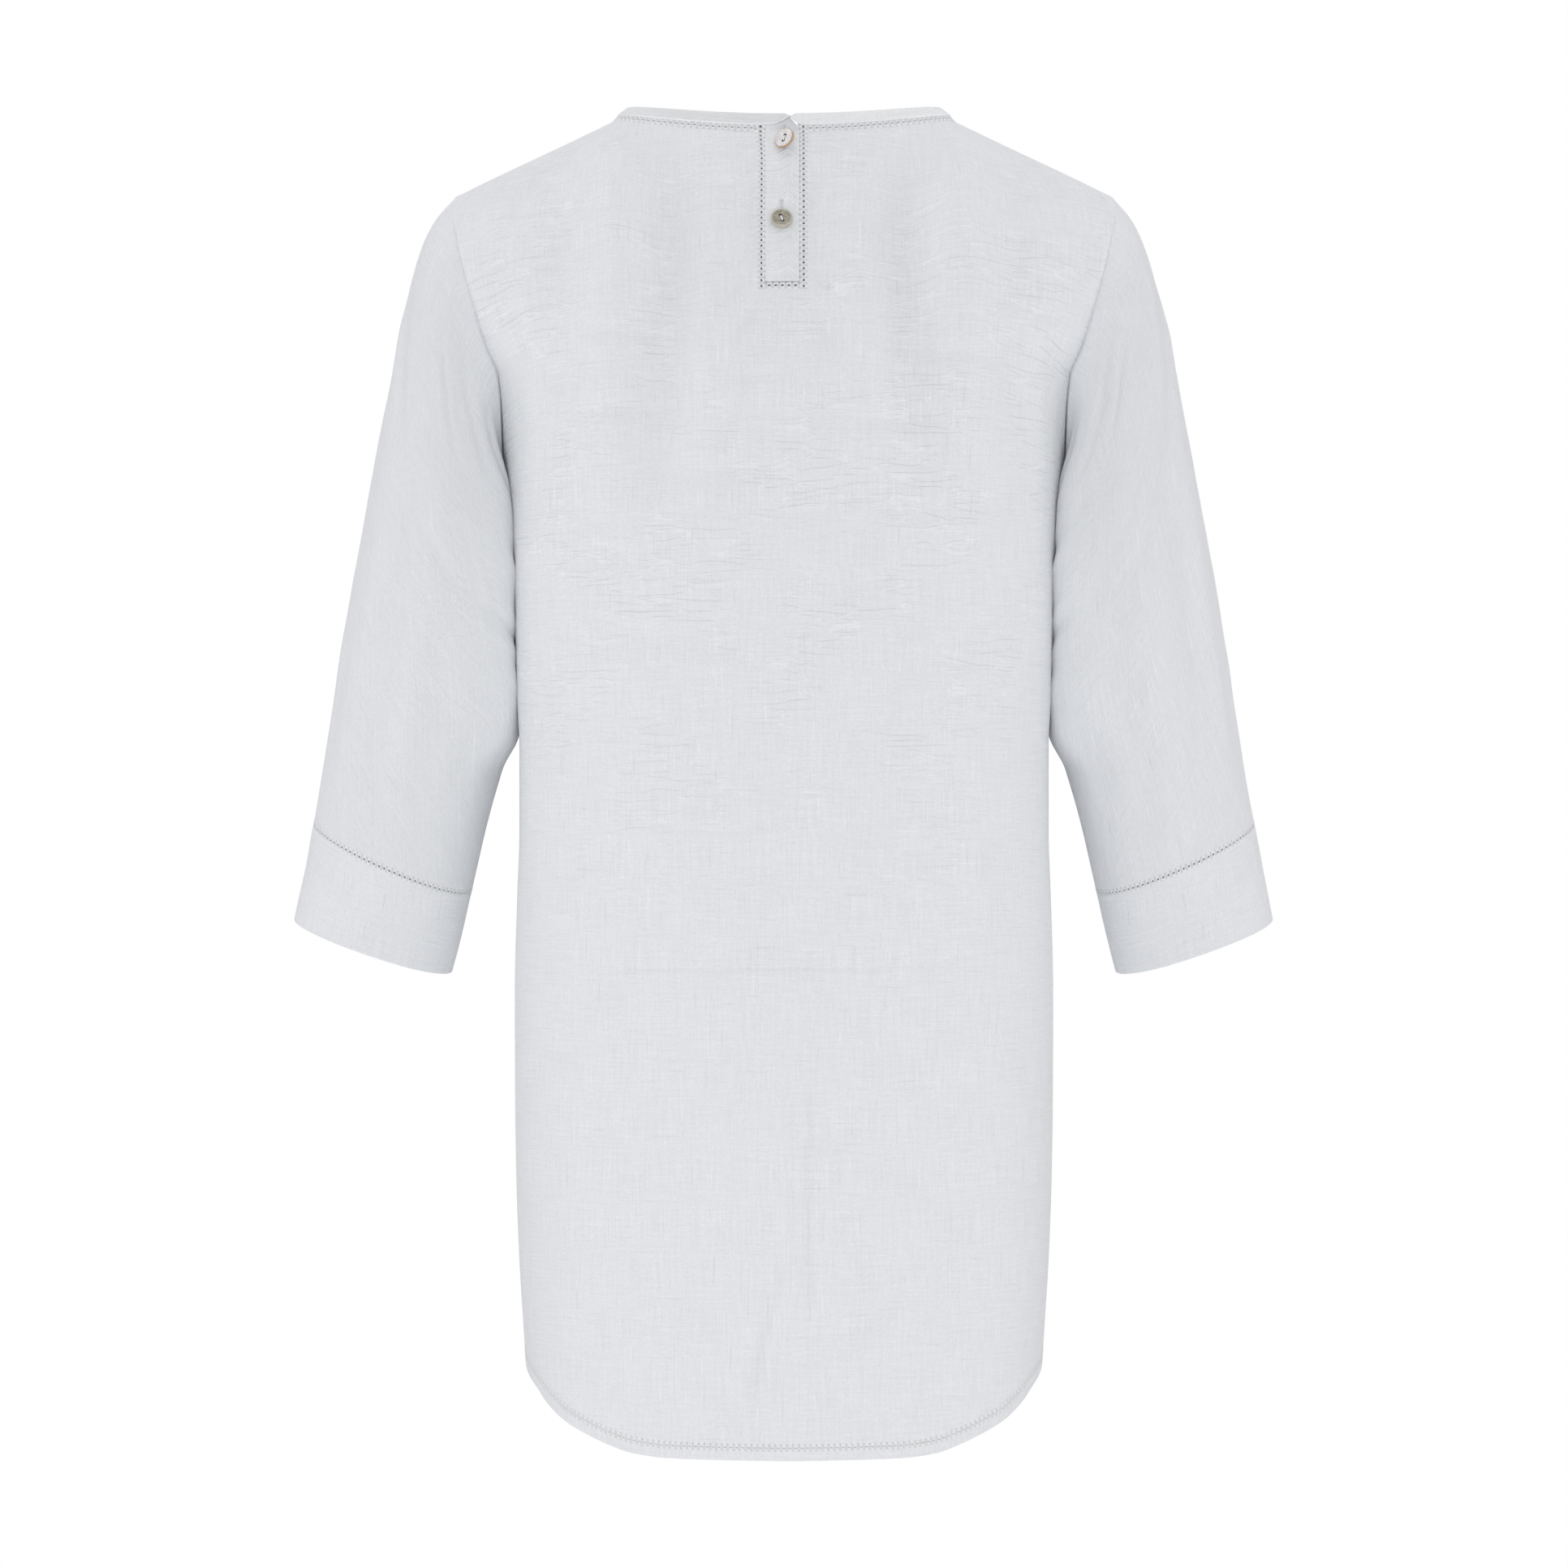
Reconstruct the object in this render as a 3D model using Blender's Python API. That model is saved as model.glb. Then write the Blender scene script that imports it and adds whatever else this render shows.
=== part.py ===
"""A white linen tunic top with three-quarter sleeves, filled out as when it is worn.

Metres, +Z up. The back faces -Y and the wearer's left is at -X. The origin is in the middle of
the neck opening, at the height of the shoulders' neck ends. Every cloth piece is a wall about a
middle surface that is worked out from the sizes and the short tables below.
"""
import math
from collections import namedtuple

import bmesh
import bpy
from mathutils import Matrix, Vector

# Cloth, seams and trims
CLOTH = 0.0012
TRIM_CLOTH = 0.0008
SEAM_GAP = 0.0003
TRIM_WIDTH = 0.0048
NECK_BAND_WIDTH = 0.0067
HEM_BAND_WIDTH = 0.0048

# Neck opening and shoulders, to the panels' cut edges
NECK_HALF = 0.1012
NECK_SIDE_Z = -0.0005
BACK_NECK_Y = -0.050
BACK_NECK_Z = -0.0116
FRONT_NECK_Y = 0.076
FRONT_NECK_Z = -0.080
SHOULDER_X = 0.1930
SHOULDER_Z = -0.0447
SHOULDER_DROP_AT_TIP = 0.0022
SHOULDER_SAG = 0.0008
UNDERARM_Z = -0.240
BODY_ROUNDNESS = 2.5

# How far the neck's trim and band lean in as they rise, and the ellipse they lean towards
NECK_LEAN_BACK = 0.30
NECK_LEAN_FRONT = 0.58
NECK_LEAN_SIDE = 0.73
LEAN_DEPTH_BACK = 0.055
LEAN_DEPTH_FRONT = 0.080

# How far down the cloth takes to reach the full depth, and how round it turns over
BACK_FALL_AT_CENTRE = 0.150
BACK_FALL_AT_SHOULDER = 0.105
FRONT_FALL_AT_CENTRE = 0.170
FRONT_FALL_AT_SHOULDER = 0.130
TURN_AT_CENTRE = 1.25
TURN_AT_SHOULDER = 1.75
SHOULDER_BLEND_X = 0.130

# Hem: the lowest points, and the side seams' lower ends
HEM_SIDE_Z = -0.7312
BACK_HEM_DROP = 0.0470
FRONT_HEM_DROP = 0.0360

# Placket slit at centre back, and its strips
SLIT_LEFT = -0.0152
SLIT_RIGHT = 0.0138
SLIT_LEAN = 0.0028
SLIT_LEAN_DEPTH = 0.030
STRIP_LEFT = -0.0105
STRIP_RIGHT = 0.0084
UNDERLAP_LEFT = -0.0083
UNDERLAP_RIGHT = 0.0115
UNDERLAP_DEPTH = 0.0017
UNDERLAP_SHORTER = 0.0002
PLACKET_TOP_DROP = 0.0010
PLACKET_LEVELS = 7

# Buttons
BUTTON_RADIUS = 0.0063
BUTTON_RIM = 0.0009
BUTTON_THICK = 0.0022
BUTTON_DISH = 0.0006
BUTTON_EDGE = 0.0006
BUTTON_RIM_ROUND = 0.0004
BUTTON_HOLE_RADIUS = 0.0007
BUTTON_HOLE_SPACING = 0.0030
BUTTON_STEPS = 28
BUTTON_HOLE_STEPS = 12

# Sleeves: where their rings lie, and how the first ones are held to the armhole
SLEEVE_RINGS = 17
SLEEVE_RING_SPREAD = 1.12
SLEEVE_RING_ROUNDNESS = 2.15
SLEEVE_HELD_SHARE = 0.30
SLEEVE_CLEAR_AT_SHOULDER = 0.0007
SLEEVE_CLEAR_AT_UNDERARM = 0.0017

# Mesh steps
SMOOTHING_ROUNDS = 24
SECTION_STEPS = 64

Depth = namedtuple("Depth", "z back front")
DEPTHS = [
    Depth(z=0.010, back=0.118, front=0.110),
    Depth(z=-0.100, back=0.121, front=0.118),
    Depth(z=-0.170, back=0.1235, front=0.131),
    Depth(z=-0.240, back=0.1230, front=0.139),
    Depth(z=-0.342, back=0.1190, front=0.137),
    Depth(z=-0.455, back=0.1160, front=0.131),
    Depth(z=-0.624, back=0.1190, front=0.130),
    Depth(z=-0.810, back=0.1240, front=0.133),
]

Side = namedtuple("Side", "z half_width")
SIDES = [
    Side(z=-0.240, half_width=0.1622),
    Side(z=-0.264, half_width=0.1610),
    Side(z=-0.302, half_width=0.1592),
    Side(z=-0.342, half_width=0.1574),
    Side(z=-0.370, half_width=0.1558),
    Side(z=-0.420, half_width=0.1558),
    Side(z=-0.455, half_width=0.1570),
    Side(z=-0.515, half_width=0.1585),
    Side(z=-0.576, half_width=0.1583),
    Side(z=-0.624, half_width=0.1576),
    Side(z=-0.672, half_width=0.1558),
    Side(z=-0.706, half_width=0.1537),
    Side(z=-0.734, half_width=0.1519),
    Side(z=-0.800, half_width=0.1490),
]

# The armhole seam: its half width on the back and the front, and its share of the body's depth
Armhole = namedtuple("Armhole", "z x_back share_back x_front share_front")
ARMHOLES = [
    Armhole(z=-0.0447, x_back=0.1930, share_back=0.66, x_front=0.1930, share_front=0.62),
    Armhole(z=-0.0556, x_back=0.1931, share_back=0.65, x_front=0.1912, share_front=0.60),
    Armhole(z=-0.0726, x_back=0.1894, share_back=0.62, x_front=0.1862, share_front=0.57),
    Armhole(z=-0.1018, x_back=0.1823, share_back=0.55, x_front=0.1775, share_front=0.50),
    Armhole(z=-0.1365, x_back=0.1720, share_back=0.46, x_front=0.1680, share_front=0.41),
    Armhole(z=-0.1534, x_back=0.1652, share_back=0.40, x_front=0.1650, share_front=0.36),
    Armhole(z=-0.1750, x_back=0.1636, share_back=0.32, x_front=0.1634, share_front=0.29),
    Armhole(z=-0.2050, x_back=0.1632, share_back=0.20, x_front=0.1630, share_front=0.18),
    Armhole(z=-0.2400, x_back=0.1622, share_back=0.00, x_front=0.1622, share_front=0.00),
]

# The hem's height between the side seam (0) and its lowest line (1), by share of half width
HemPoint = namedtuple("HemPoint", "reach drop")
HEM_CURVE = [
    HemPoint(reach=0.000, drop=1.000),
    HemPoint(reach=0.442, drop=0.985),
    HemPoint(reach=0.572, drop=0.943),
    HemPoint(reach=0.665, drop=0.857),
    HemPoint(reach=0.732, drop=0.772),
    HemPoint(reach=0.837, drop=0.606),
    HemPoint(reach=0.902, drop=0.434),
    HemPoint(reach=0.946, drop=0.262),
    HemPoint(reach=0.987, drop=0.108),
    HemPoint(reach=1.000, drop=0.000),
]

# Sleeve rings from the armhole (0) to the cuff seam (1): outer and inner ends, middle and depth
Ring = namedtuple("Ring", "along x_out z_out x_in z_in y_mid half_depth tilt")
SLEEVE = [
    Ring(along=0.00, x_out=0.1940, z_out=-0.0447, x_in=0.1640, z_in=-0.2400,
         y_mid=0.001, half_depth=0.0560, tilt=0.0),
    Ring(along=0.06, x_out=0.2062, z_out=-0.0590, x_in=0.1650, z_in=-0.2450,
         y_mid=0.001, half_depth=0.0600, tilt=1.0),
    Ring(along=0.12, x_out=0.2147, z_out=-0.0790, x_in=0.1650, z_in=-0.2520,
         y_mid=0.001, half_depth=0.0630, tilt=2.0),
    Ring(along=0.22, x_out=0.2240, z_out=-0.1160, x_in=0.1645, z_in=-0.2630,
         y_mid=0.002, half_depth=0.0650, tilt=3.0),
    Ring(along=0.34, x_out=0.2332, z_out=-0.1580, x_in=0.1628, z_in=-0.2780,
         y_mid=0.004, half_depth=0.0650, tilt=4.0),
    Ring(along=0.48, x_out=0.2433, z_out=-0.2070, x_in=0.1617, z_in=-0.3000,
         y_mid=0.007, half_depth=0.0630, tilt=5.5),
    Ring(along=0.62, x_out=0.2536, z_out=-0.2610, x_in=0.1602, z_in=-0.3300,
         y_mid=0.012, half_depth=0.0600, tilt=7.0),
    Ring(along=0.74, x_out=0.2614, z_out=-0.3080, x_in=0.1643, z_in=-0.3620,
         y_mid=0.017, half_depth=0.0565, tilt=8.0),
    Ring(along=0.87, x_out=0.2703, z_out=-0.3590, x_in=0.1750, z_in=-0.4060,
         y_mid=0.024, half_depth=0.0520, tilt=9.0),
    Ring(along=1.00, x_out=0.2794, z_out=-0.4115, x_in=0.1860, z_in=-0.4523,
         y_mid=0.032, half_depth=0.0475, tilt=10.0),
]
CUFF_SEAM = Ring(along=0.0, x_out=0.2799, z_out=-0.4138, x_in=0.1866, z_in=-0.4546,
                 y_mid=0.0324, half_depth=0.0473, tilt=10.0)
CUFF_HEM = Ring(along=1.0, x_out=0.2919, z_out=-0.4723, x_in=0.1993, z_in=-0.5035,
                y_mid=0.042, half_depth=0.0455, tilt=6.5)
CUFF_DEPTH = 0.058

# Soft upright drapes in the panels: where, how wide, how far in (or out, when negative)
Drape = namedtuple("Drape", "side x z_top z_bottom width depth")
BACK = -1
FRONT = 1
DRAPES = [
    Drape(side=BACK, x=-0.0850, z_top=-0.020, z_bottom=-0.230, width=0.026, depth=0.0032),
    Drape(side=BACK, x=0.0880, z_top=-0.020, z_bottom=-0.230, width=0.026, depth=0.0032),
    Drape(side=BACK, x=0.0080, z_top=-0.480, z_bottom=-0.860, width=0.030, depth=-0.0030),
    Drape(side=BACK, x=-0.0900, z_top=-0.420, z_bottom=-0.860, width=0.036, depth=0.0030),
    Drape(side=BACK, x=0.0980, z_top=-0.440, z_bottom=-0.860, width=0.036, depth=0.0034),
    Drape(side=FRONT, x=-0.0750, z_top=-0.300, z_bottom=-0.880, width=0.034, depth=0.0046),
    Drape(side=FRONT, x=0.0820, z_top=-0.330, z_bottom=-0.880, width=0.036, depth=0.0042),
    Drape(side=FRONT, x=0.0050, z_top=-0.380, z_bottom=-0.880, width=0.034, depth=0.0030),
    Drape(side=FRONT, x=-0.1250, z_top=-0.100, z_bottom=-0.300, width=0.024, depth=0.0030),
    Drape(side=FRONT, x=0.1250, z_top=-0.100, z_bottom=-0.300, width=0.024, depth=0.0030),
]

# Panel columns by share of the way from centre to side, and rows by share of the way down
NECK_COLUMNS = 6
COLUMN_SHARES = [0.0, 0.062, 0.150, 0.240, 0.325, 0.410, 0.490, 0.580, 0.670, 0.760, 0.845, 0.925, 1.0]
UPPER_ROWS = [0.0, 0.055, 0.130, 0.215, 0.315, 0.420, 0.510, 0.605, 0.700, 0.795, 0.880, 0.945, 1.0]
SLIT_ROW = 5
SLIT_BOTTOM_Z = BACK_NECK_Z + UPPER_ROWS[SLIT_ROW] * (UNDERARM_Z - BACK_NECK_Z)
STRIP_BOTTOM_Z = SLIT_BOTTOM_Z + 0.0046
BACK_LOWER_ROWS = 16
FRONT_LOWER_ROWS = 14

# The placket strip's and the neck band's edges near the slit, by height above the neck edge line
EdgePoint = namedtuple("EdgePoint", "x above")
STRIP_TOP = [
    EdgePoint(x=STRIP_LEFT, above=0.0048),
    EdgePoint(x=-0.0060, above=0.0049),
    EdgePoint(x=-0.0012, above=0.0066),
    EdgePoint(x=0.0030, above=0.0094),
    EdgePoint(x=STRIP_RIGHT, above=0.0026),
]
BAND_LEFT_FOOT = [
    EdgePoint(x=-0.0108, above=0.0051),
    EdgePoint(x=-0.0060, above=0.0052),
    EdgePoint(x=-0.0012, above=0.0071),
    EdgePoint(x=0.0032, above=0.0099),
]
BAND_RIGHT_FOOT = [
    EdgePoint(x=0.0043, above=0.0091),
    EdgePoint(x=0.0090, above=0.0051),
]

# Where each button sits, how far it stands off the strip, and its turn and tip in degrees
ButtonPlace = namedtuple("ButtonPlace", "name x z lift turn tip")
UPPER_BUTTON = ButtonPlace(name="button_upper", x=0.0003, z=-0.0168, lift=0.003, turn=-32.0, tip=8.0)
LOWER_BUTTON = ButtonPlace(name="button_lower", x=-0.0014, z=-0.0660, lift=0.0, turn=0.0, tip=0.0)

LINEN_WHITE = (0.80, 0.81, 0.83)
THREAD_WHITE = (0.72, 0.72, 0.71)
SHELL_LIGHT = (0.78, 0.75, 0.70)
SHELL_DARK = (0.42, 0.39, 0.31)


def clear_scene():
    """Remove what the file holds, so that only the tunic is left."""
    for item in list(bpy.data.objects):
        bpy.data.objects.remove(item, do_unlink=True)


def ease(share):
    """Go smoothly from 0 to 1."""
    share = min(max(share, 0.0), 1.0)
    return share * share * (3.0 - 2.0 * share)


def mix(low, high, share):
    """Give the value a share of the way from low to high."""
    return low + (high - low) * share


def read_table(table, column, at, key="z"):
    """Read a column at a place on a smooth curve through the table's rows, without overshoot."""
    rows = sorted(table, key=lambda row: getattr(row, key))
    places = [getattr(row, key) for row in rows]
    values = [getattr(row, column) for row in rows]
    at = min(max(at, places[0]), places[-1])
    last = len(places) - 1
    steps = [(values[i + 1] - values[i]) / (places[i + 1] - places[i]) for i in range(last)]
    inner = [0.0 if a * b <= 0.0 else 2.0 * a * b / (a + b) for a, b in zip(steps, steps[1:])]
    slopes = [steps[0]] + inner + [steps[-1]]
    i = max(k for k in range(last) if places[k] <= at)
    span = places[i + 1] - places[i]
    t = (at - places[i]) / span
    start = (1 + 2 * t) * (1 - t) ** 2 * values[i] + t * (1 - t) ** 2 * span * slopes[i]
    end = t * t * (3 - 2 * t) * values[i + 1] + t * t * (t - 1) * span * slopes[i + 1]
    return start + end


def neck_point(side, x):
    """Give the panel's top edge on the neck at x: its depth and height."""
    cosine = math.sqrt(max(1.0 - (x / NECK_HALF) ** 2, 0.0))
    if side == BACK:
        return BACK_NECK_Y * cosine, mix(NECK_SIDE_Z, BACK_NECK_Z, cosine ** 2)
    return FRONT_NECK_Y * cosine, mix(NECK_SIDE_Z, FRONT_NECK_Z, cosine)


def top_edge(side, x):
    """Give the panel's top edge at x, on the neck or on the shoulder seam."""
    x = abs(x)
    if x < NECK_HALF:
        return neck_point(side, x)
    along = (x - NECK_HALF) / (SHOULDER_X - NECK_HALF)
    straight = mix(NECK_SIDE_Z, SHOULDER_Z + SHOULDER_DROP_AT_TIP, along)
    sag = SHOULDER_SAG * math.sin(math.pi * along)
    return 0.0, straight - SHOULDER_DROP_AT_TIP * along ** 4 - sag


def armhole_x(side, z):
    """Give the armhole seam's half width at a height."""
    return read_table(ARMHOLES, "x_back" if side == BACK else "x_front", z)


def full_half_width(side, z):
    """Give the half width of the whole body section, of which the armhole cuts off the side."""
    if z <= UNDERARM_Z:
        return read_table(SIDES, "half_width", z)
    share = read_table(ARMHOLES, "share_back" if side == BACK else "share_front", z)
    kept = (1.0 - share ** BODY_ROUNDNESS) ** (1.0 / BODY_ROUNDNESS)
    return armhole_x(side, z) / kept


def drape_depth(side, x, z):
    """Give how far the soft upright drapes take the cloth in at a place."""
    total = 0.0
    for drape in DRAPES:
        if drape.side != side or not drape.z_bottom < z < drape.z_top:
            continue
        along = (drape.z_top - z) / (drape.z_top - drape.z_bottom)
        across = math.exp(-((x - drape.x) / drape.width) ** 2)
        total += drape.depth * across * math.sin(math.pi * along) ** 0.8
    to_side = min(abs(x) / full_half_width(side, z), 1.0)
    return total * (1.0 - to_side ** 6)


def panel_depth(side, x, z):
    """Give the middle surface's Y at a place on the back or front, seen straight on."""
    half = full_half_width(side, z)
    reach = min(abs(x) / half, 1.0)
    full = read_table(DEPTHS, "back" if side == BACK else "front", z)
    full *= (1.0 - reach ** BODY_ROUNDNESS) ** (1.0 / BODY_ROUNDNESS)
    full = side * (full - drape_depth(side, x, z))
    top_y, top_z = top_edge(side, x)
    toward_shoulder = ease(abs(x) / SHOULDER_BLEND_X)
    centre_fall = BACK_FALL_AT_CENTRE if side == BACK else FRONT_FALL_AT_CENTRE
    shoulder_fall = BACK_FALL_AT_SHOULDER if side == BACK else FRONT_FALL_AT_SHOULDER
    fall = mix(centre_fall, shoulder_fall, toward_shoulder)
    turn = mix(TURN_AT_CENTRE, TURN_AT_SHOULDER, toward_shoulder)
    down = min(max((top_z - z) / fall, 0.0), 1.0)
    fullness = (1.0 - (1.0 - down) ** turn) ** (1.0 / turn)
    return mix(top_y, full, fullness)


def section_point(side, z, share):
    """Give a point on the body's section at a height, a share of the way from centre to side."""
    half = full_half_width(side, z)
    depth = read_table(DEPTHS, "back" if side == BACK else "front", z)
    power = 2.0 / BODY_ROUNDNESS
    line = []
    for step in range(SECTION_STEPS + 1):
        angle = math.pi / 2 * step / SECTION_STEPS
        line.append((half * math.sin(angle) ** power, depth * max(math.cos(angle), 0.0) ** power))
    lengths = [0.0]
    for a, b in zip(line, line[1:]):
        lengths.append(lengths[-1] + math.dist(a, b))
    wanted = share * lengths[-1]
    i = max(k for k in range(SECTION_STEPS) if lengths[k] <= wanted)
    t = (wanted - lengths[i]) / (lengths[i + 1] - lengths[i])
    return mix(line[i][0], line[i + 1][0], t), side * mix(line[i][1], line[i + 1][1], t)


def hem_height(side, share):
    """Give the hem edge's height a share of the way from centre to side."""
    x, _ = section_point(side, HEM_SIDE_Z, share)
    reach = x / full_half_width(side, HEM_SIDE_Z)
    drop = BACK_HEM_DROP if side == BACK else FRONT_HEM_DROP
    return HEM_SIDE_Z - drop * read_table(HEM_CURVE, "drop", reach, key="reach")


def column_point(side, column, z):
    """Give a point of the lower body on a column, at a height."""
    sign = -1 if column < 0 else 1
    x, y = section_point(side, z, COLUMN_SHARES[abs(column)])
    x *= sign
    return Vector((x, y - side * drape_depth(side, x, z), z))


def slit_edge_x(sign, z):
    """Give the slit's side at a height: the left one leans out towards the neck."""
    if sign > 0:
        return SLIT_RIGHT
    lean = ease(1.0 - min(-z / SLIT_LEAN_DEPTH, 1.0))
    return SLIT_LEFT - SLIT_LEAN * lean


def neck_column_x(column):
    """Give the half width where a column starts on the panel's top edge."""
    if column <= NECK_COLUMNS:
        angle = math.pi / 2 * COLUMN_SHARES[column] / COLUMN_SHARES[NECK_COLUMNS]
        return NECK_HALF * math.sin(angle)
    span = 1.0 - COLUMN_SHARES[NECK_COLUMNS]
    along = (COLUMN_SHARES[column] - COLUMN_SHARES[NECK_COLUMNS]) / span
    return mix(NECK_HALF, SHOULDER_X, along)


def upper_point(side, column, down):
    """Give a point of the upper body, a share of the way down from the top edge to the underarm."""
    sign = -1 if column < 0 else 1
    number = abs(column)
    edge_z = mix(SHOULDER_Z, UNDERARM_Z, down)
    edge_x = armhole_x(side, edge_z)
    start_x = neck_column_x(number)
    _, start_z = top_edge(side, start_x)
    z = mix(start_z, UNDERARM_Z, down)
    end_x, _ = section_point(side, UNDERARM_Z, COLUMN_SHARES[number])
    x = mix(start_x / SHOULDER_X, end_x / armhole_x(side, UNDERARM_Z), down) * edge_x
    x *= sign
    if number == 1 and side == BACK and down <= UPPER_ROWS[SLIT_ROW]:
        x = slit_edge_x(sign, z)
        start_z = top_edge(side, x)[1]
        z = mix(start_z, UNDERARM_Z, down)
    return Vector((x, panel_depth(side, x, z), z))


def smooth_neck_corners(grid):
    """Even out the cloth below the neck's side ends, where neck edge and shoulder seam meet."""
    reach_x = 0.045
    reach_z = 0.090
    still_x = 0.030
    for _ in range(SMOOTHING_ROUNDS):
        depths = [[point.y for point in row] for row in grid]
        for r in range(1, len(UPPER_ROWS) - 1):
            for c in range(1, len(grid[0]) - 1):
                point = grid[r][c]
                if abs(point.x) < still_x:
                    continue
                offset = (abs(point.x) - NECK_HALF) / reach_x
                weight = 0.5 * math.exp(-offset ** 2 - (point.z / reach_z) ** 2)
                mean = (depths[r - 1][c] + depths[r + 1][c] + depths[r][c - 1] + depths[r][c + 1]) / 4
                point.y = mix(depths[r][c], mean, weight)
    return grid


def hem_offset(side, column, distance):
    """Give the point of a column that lies a distance above the hem edge, along the cloth."""
    share = COLUMN_SHARES[abs(column)]
    step = 0.01
    near = min(share + step, 1.0)
    far = max(share - step, 0.0)
    edge_z = hem_height(side, share)
    rise = hem_height(side, near) - hem_height(side, far)
    run = math.dist(section_point(side, edge_z, near), section_point(side, edge_z, far))
    slope = math.sqrt(1.0 + (rise / run) ** 2)
    return column_point(side, column, edge_z + distance * slope)


def panel_grid(side, lower_rows):
    """Give the back's or front's middle surface as rows of points, from the top edge down."""
    last = len(COLUMN_SHARES) - 1
    columns = range(-last, last + 1)
    grid = []
    for down in UPPER_ROWS:
        grid.append([upper_point(side, column, down) for column in columns])
    smooth_neck_corners(grid)
    above_hem = HEM_BAND_WIDTH + TRIM_WIDTH
    ends = [hem_offset(side, column, above_hem).z for column in columns]
    for r in range(1, lower_rows + 1):
        share = r / lower_rows
        row = []
        for column, end_z in zip(columns, ends):
            row.append(column_point(side, column, mix(UNDERARM_Z, end_z, share)))
        grid.append(row)
    return grid


def draw_in(grid, top=0.0, bottom=0.0, left=0.0, right=0.0):
    """Move a grid's edges in along the cloth, which leaves the gap at each seam."""
    moved = [[point.copy() for point in row] for row in grid]
    for c in range(len(grid[0])):
        moved[0][c] += (grid[1][c] - grid[0][c]).normalized() * top
        moved[-1][c] += (grid[-2][c] - grid[-1][c]).normalized() * bottom
    for r in range(len(grid)):
        moved[r][0] += (grid[r][1] - grid[r][0]).normalized() * left
        moved[r][-1] += (grid[r][-2] - grid[r][-1]).normalized() * right
    return moved


def grid_normals(grid, around, meets_across):
    """Give the unit normal at each point, level with the other panel's where the two meet."""
    rows = len(grid)
    columns = len(grid[0])
    normals = []
    for r in range(rows):
        line = []
        for c in range(columns):
            above = grid[max(r - 1, 0)][c]
            below = grid[min(r + 1, rows - 1)][c]
            if around:
                before = grid[r][(c - 1) % columns]
                after = grid[r][(c + 1) % columns]
            else:
                before = grid[r][max(c - 1, 0)]
                after = grid[r][min(c + 1, columns - 1)]
            normal = (after - before).cross(below - above)
            if meets_across and abs(grid[r][c].y) < CLOTH / 2:
                normal.y = 0.0
            line.append(normal.normalized())
        normals.append(line)
    return normals


def make_material(name, colour, roughness):
    """Make a plain dielectric material."""
    material = bpy.data.materials.new(name)
    material.use_nodes = True
    shader = material.node_tree.nodes["Principled BSDF"]
    shader.inputs["Base Color"].default_value = (*colour, 1.0)
    shader.inputs["Roughness"].default_value = roughness
    shader.inputs["Metallic"].default_value = 0.0
    return material


def add_object(name, shape, material):
    """Put a bmesh into the scene as a named object with its faces pointing out."""
    bmesh.ops.recalc_face_normals(shape, faces=shape.faces)
    mesh = bpy.data.meshes.new(name)
    shape.to_mesh(mesh)
    shape.free()
    mesh.shade_smooth()
    mesh.set_sharp_from_angle(angle=math.radians(40.0))
    mesh.materials.append(material)
    item = bpy.data.objects.new(name, mesh)
    bpy.context.scene.collection.objects.link(item)
    return item


def cloth_wall(name, grid, thickness, material, around=False, skip=None, meets_across=False,
               shared=None):
    """Make one closed cloth wall about a grid.

    skip names the cells to leave out, and shared gives the normals of points on a folded seam.
    """
    rows = len(grid)
    columns = len(grid[0])
    normals = grid_normals(grid, around, meets_across)
    for (r, c), normal in (shared or {}).items():
        same_way = normal.dot(normals[r][c]) > 0.0
        normals[r][c] = normal if same_way else -normal
    shape = bmesh.new()
    faces = []
    edge_count = {}
    for r in range(rows - 1):
        for c in range(columns if around else columns - 1):
            if skip and skip(r, c):
                continue
            following = (c + 1) % columns
            corners = [(r, c), (r, following), (r + 1, following), (r + 1, c)]
            faces.append(corners)
            for a, b in zip(corners, corners[1:] + corners[:1]):
                key = (min(a, b), max(a, b))
                edge_count[key] = edge_count.get(key, 0) + 1
    outer = {}
    inner = {}
    for corners in faces:
        for r, c in corners:
            if (r, c) not in outer:
                offset = normals[r][c] * (thickness / 2)
                outer[r, c] = shape.verts.new(grid[r][c] + offset)
                inner[r, c] = shape.verts.new(grid[r][c] - offset)
    for corners in faces:
        shape.faces.new([outer[corner] for corner in corners])
        shape.faces.new([inner[corner] for corner in reversed(corners)])
    for (a, b), count in edge_count.items():
        if count == 1:
            shape.faces.new([outer[a], outer[b], inner[b], inner[a]])
    bmesh.ops.triangulate(shape, faces=shape.faces)
    add_object(name, shape, material)


def body_columns():
    """Give the column numbers of a panel, from the wearer's left to the right."""
    last = len(COLUMN_SHARES) - 1
    return range(-last, last + 1)


def make_panels(linen):
    """Make the back with its slit, and the front. Gives back both middle grids."""
    middle = len(COLUMN_SHARES) - 1
    back = panel_grid(BACK, BACK_LOWER_ROWS)
    front = panel_grid(FRONT, FRONT_LOWER_ROWS)
    half_gap = SEAM_GAP / 2

    def in_slit(r, c):
        return r < SLIT_ROW and c in (middle - 1, middle)

    seam = neck_normals(back, front)
    for name, side, grid, skip in (
        ("back_panel", BACK, back, in_slit),
        ("front_panel", FRONT, front, None),
    ):
        edges = draw_in(grid, top=half_gap, bottom=half_gap, left=half_gap, right=half_gap)
        shared = {(0, column + middle): n for (s, column), n in seam.items() if s == side}
        cloth_wall(name, edges, CLOTH, linen, skip=skip, meets_across=True, shared=shared)
    return back, front


def neck_keys():
    """Give the side and the column of each neck point, from the slit's right round to its left."""
    last = NECK_COLUMNS
    keys = [(BACK, column) for column in range(1, last + 1)]
    keys += [(FRONT, column) for column in range(last - 1, -last, -1)]
    keys += [(BACK, column) for column in range(-last, 0)]
    return keys


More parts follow.
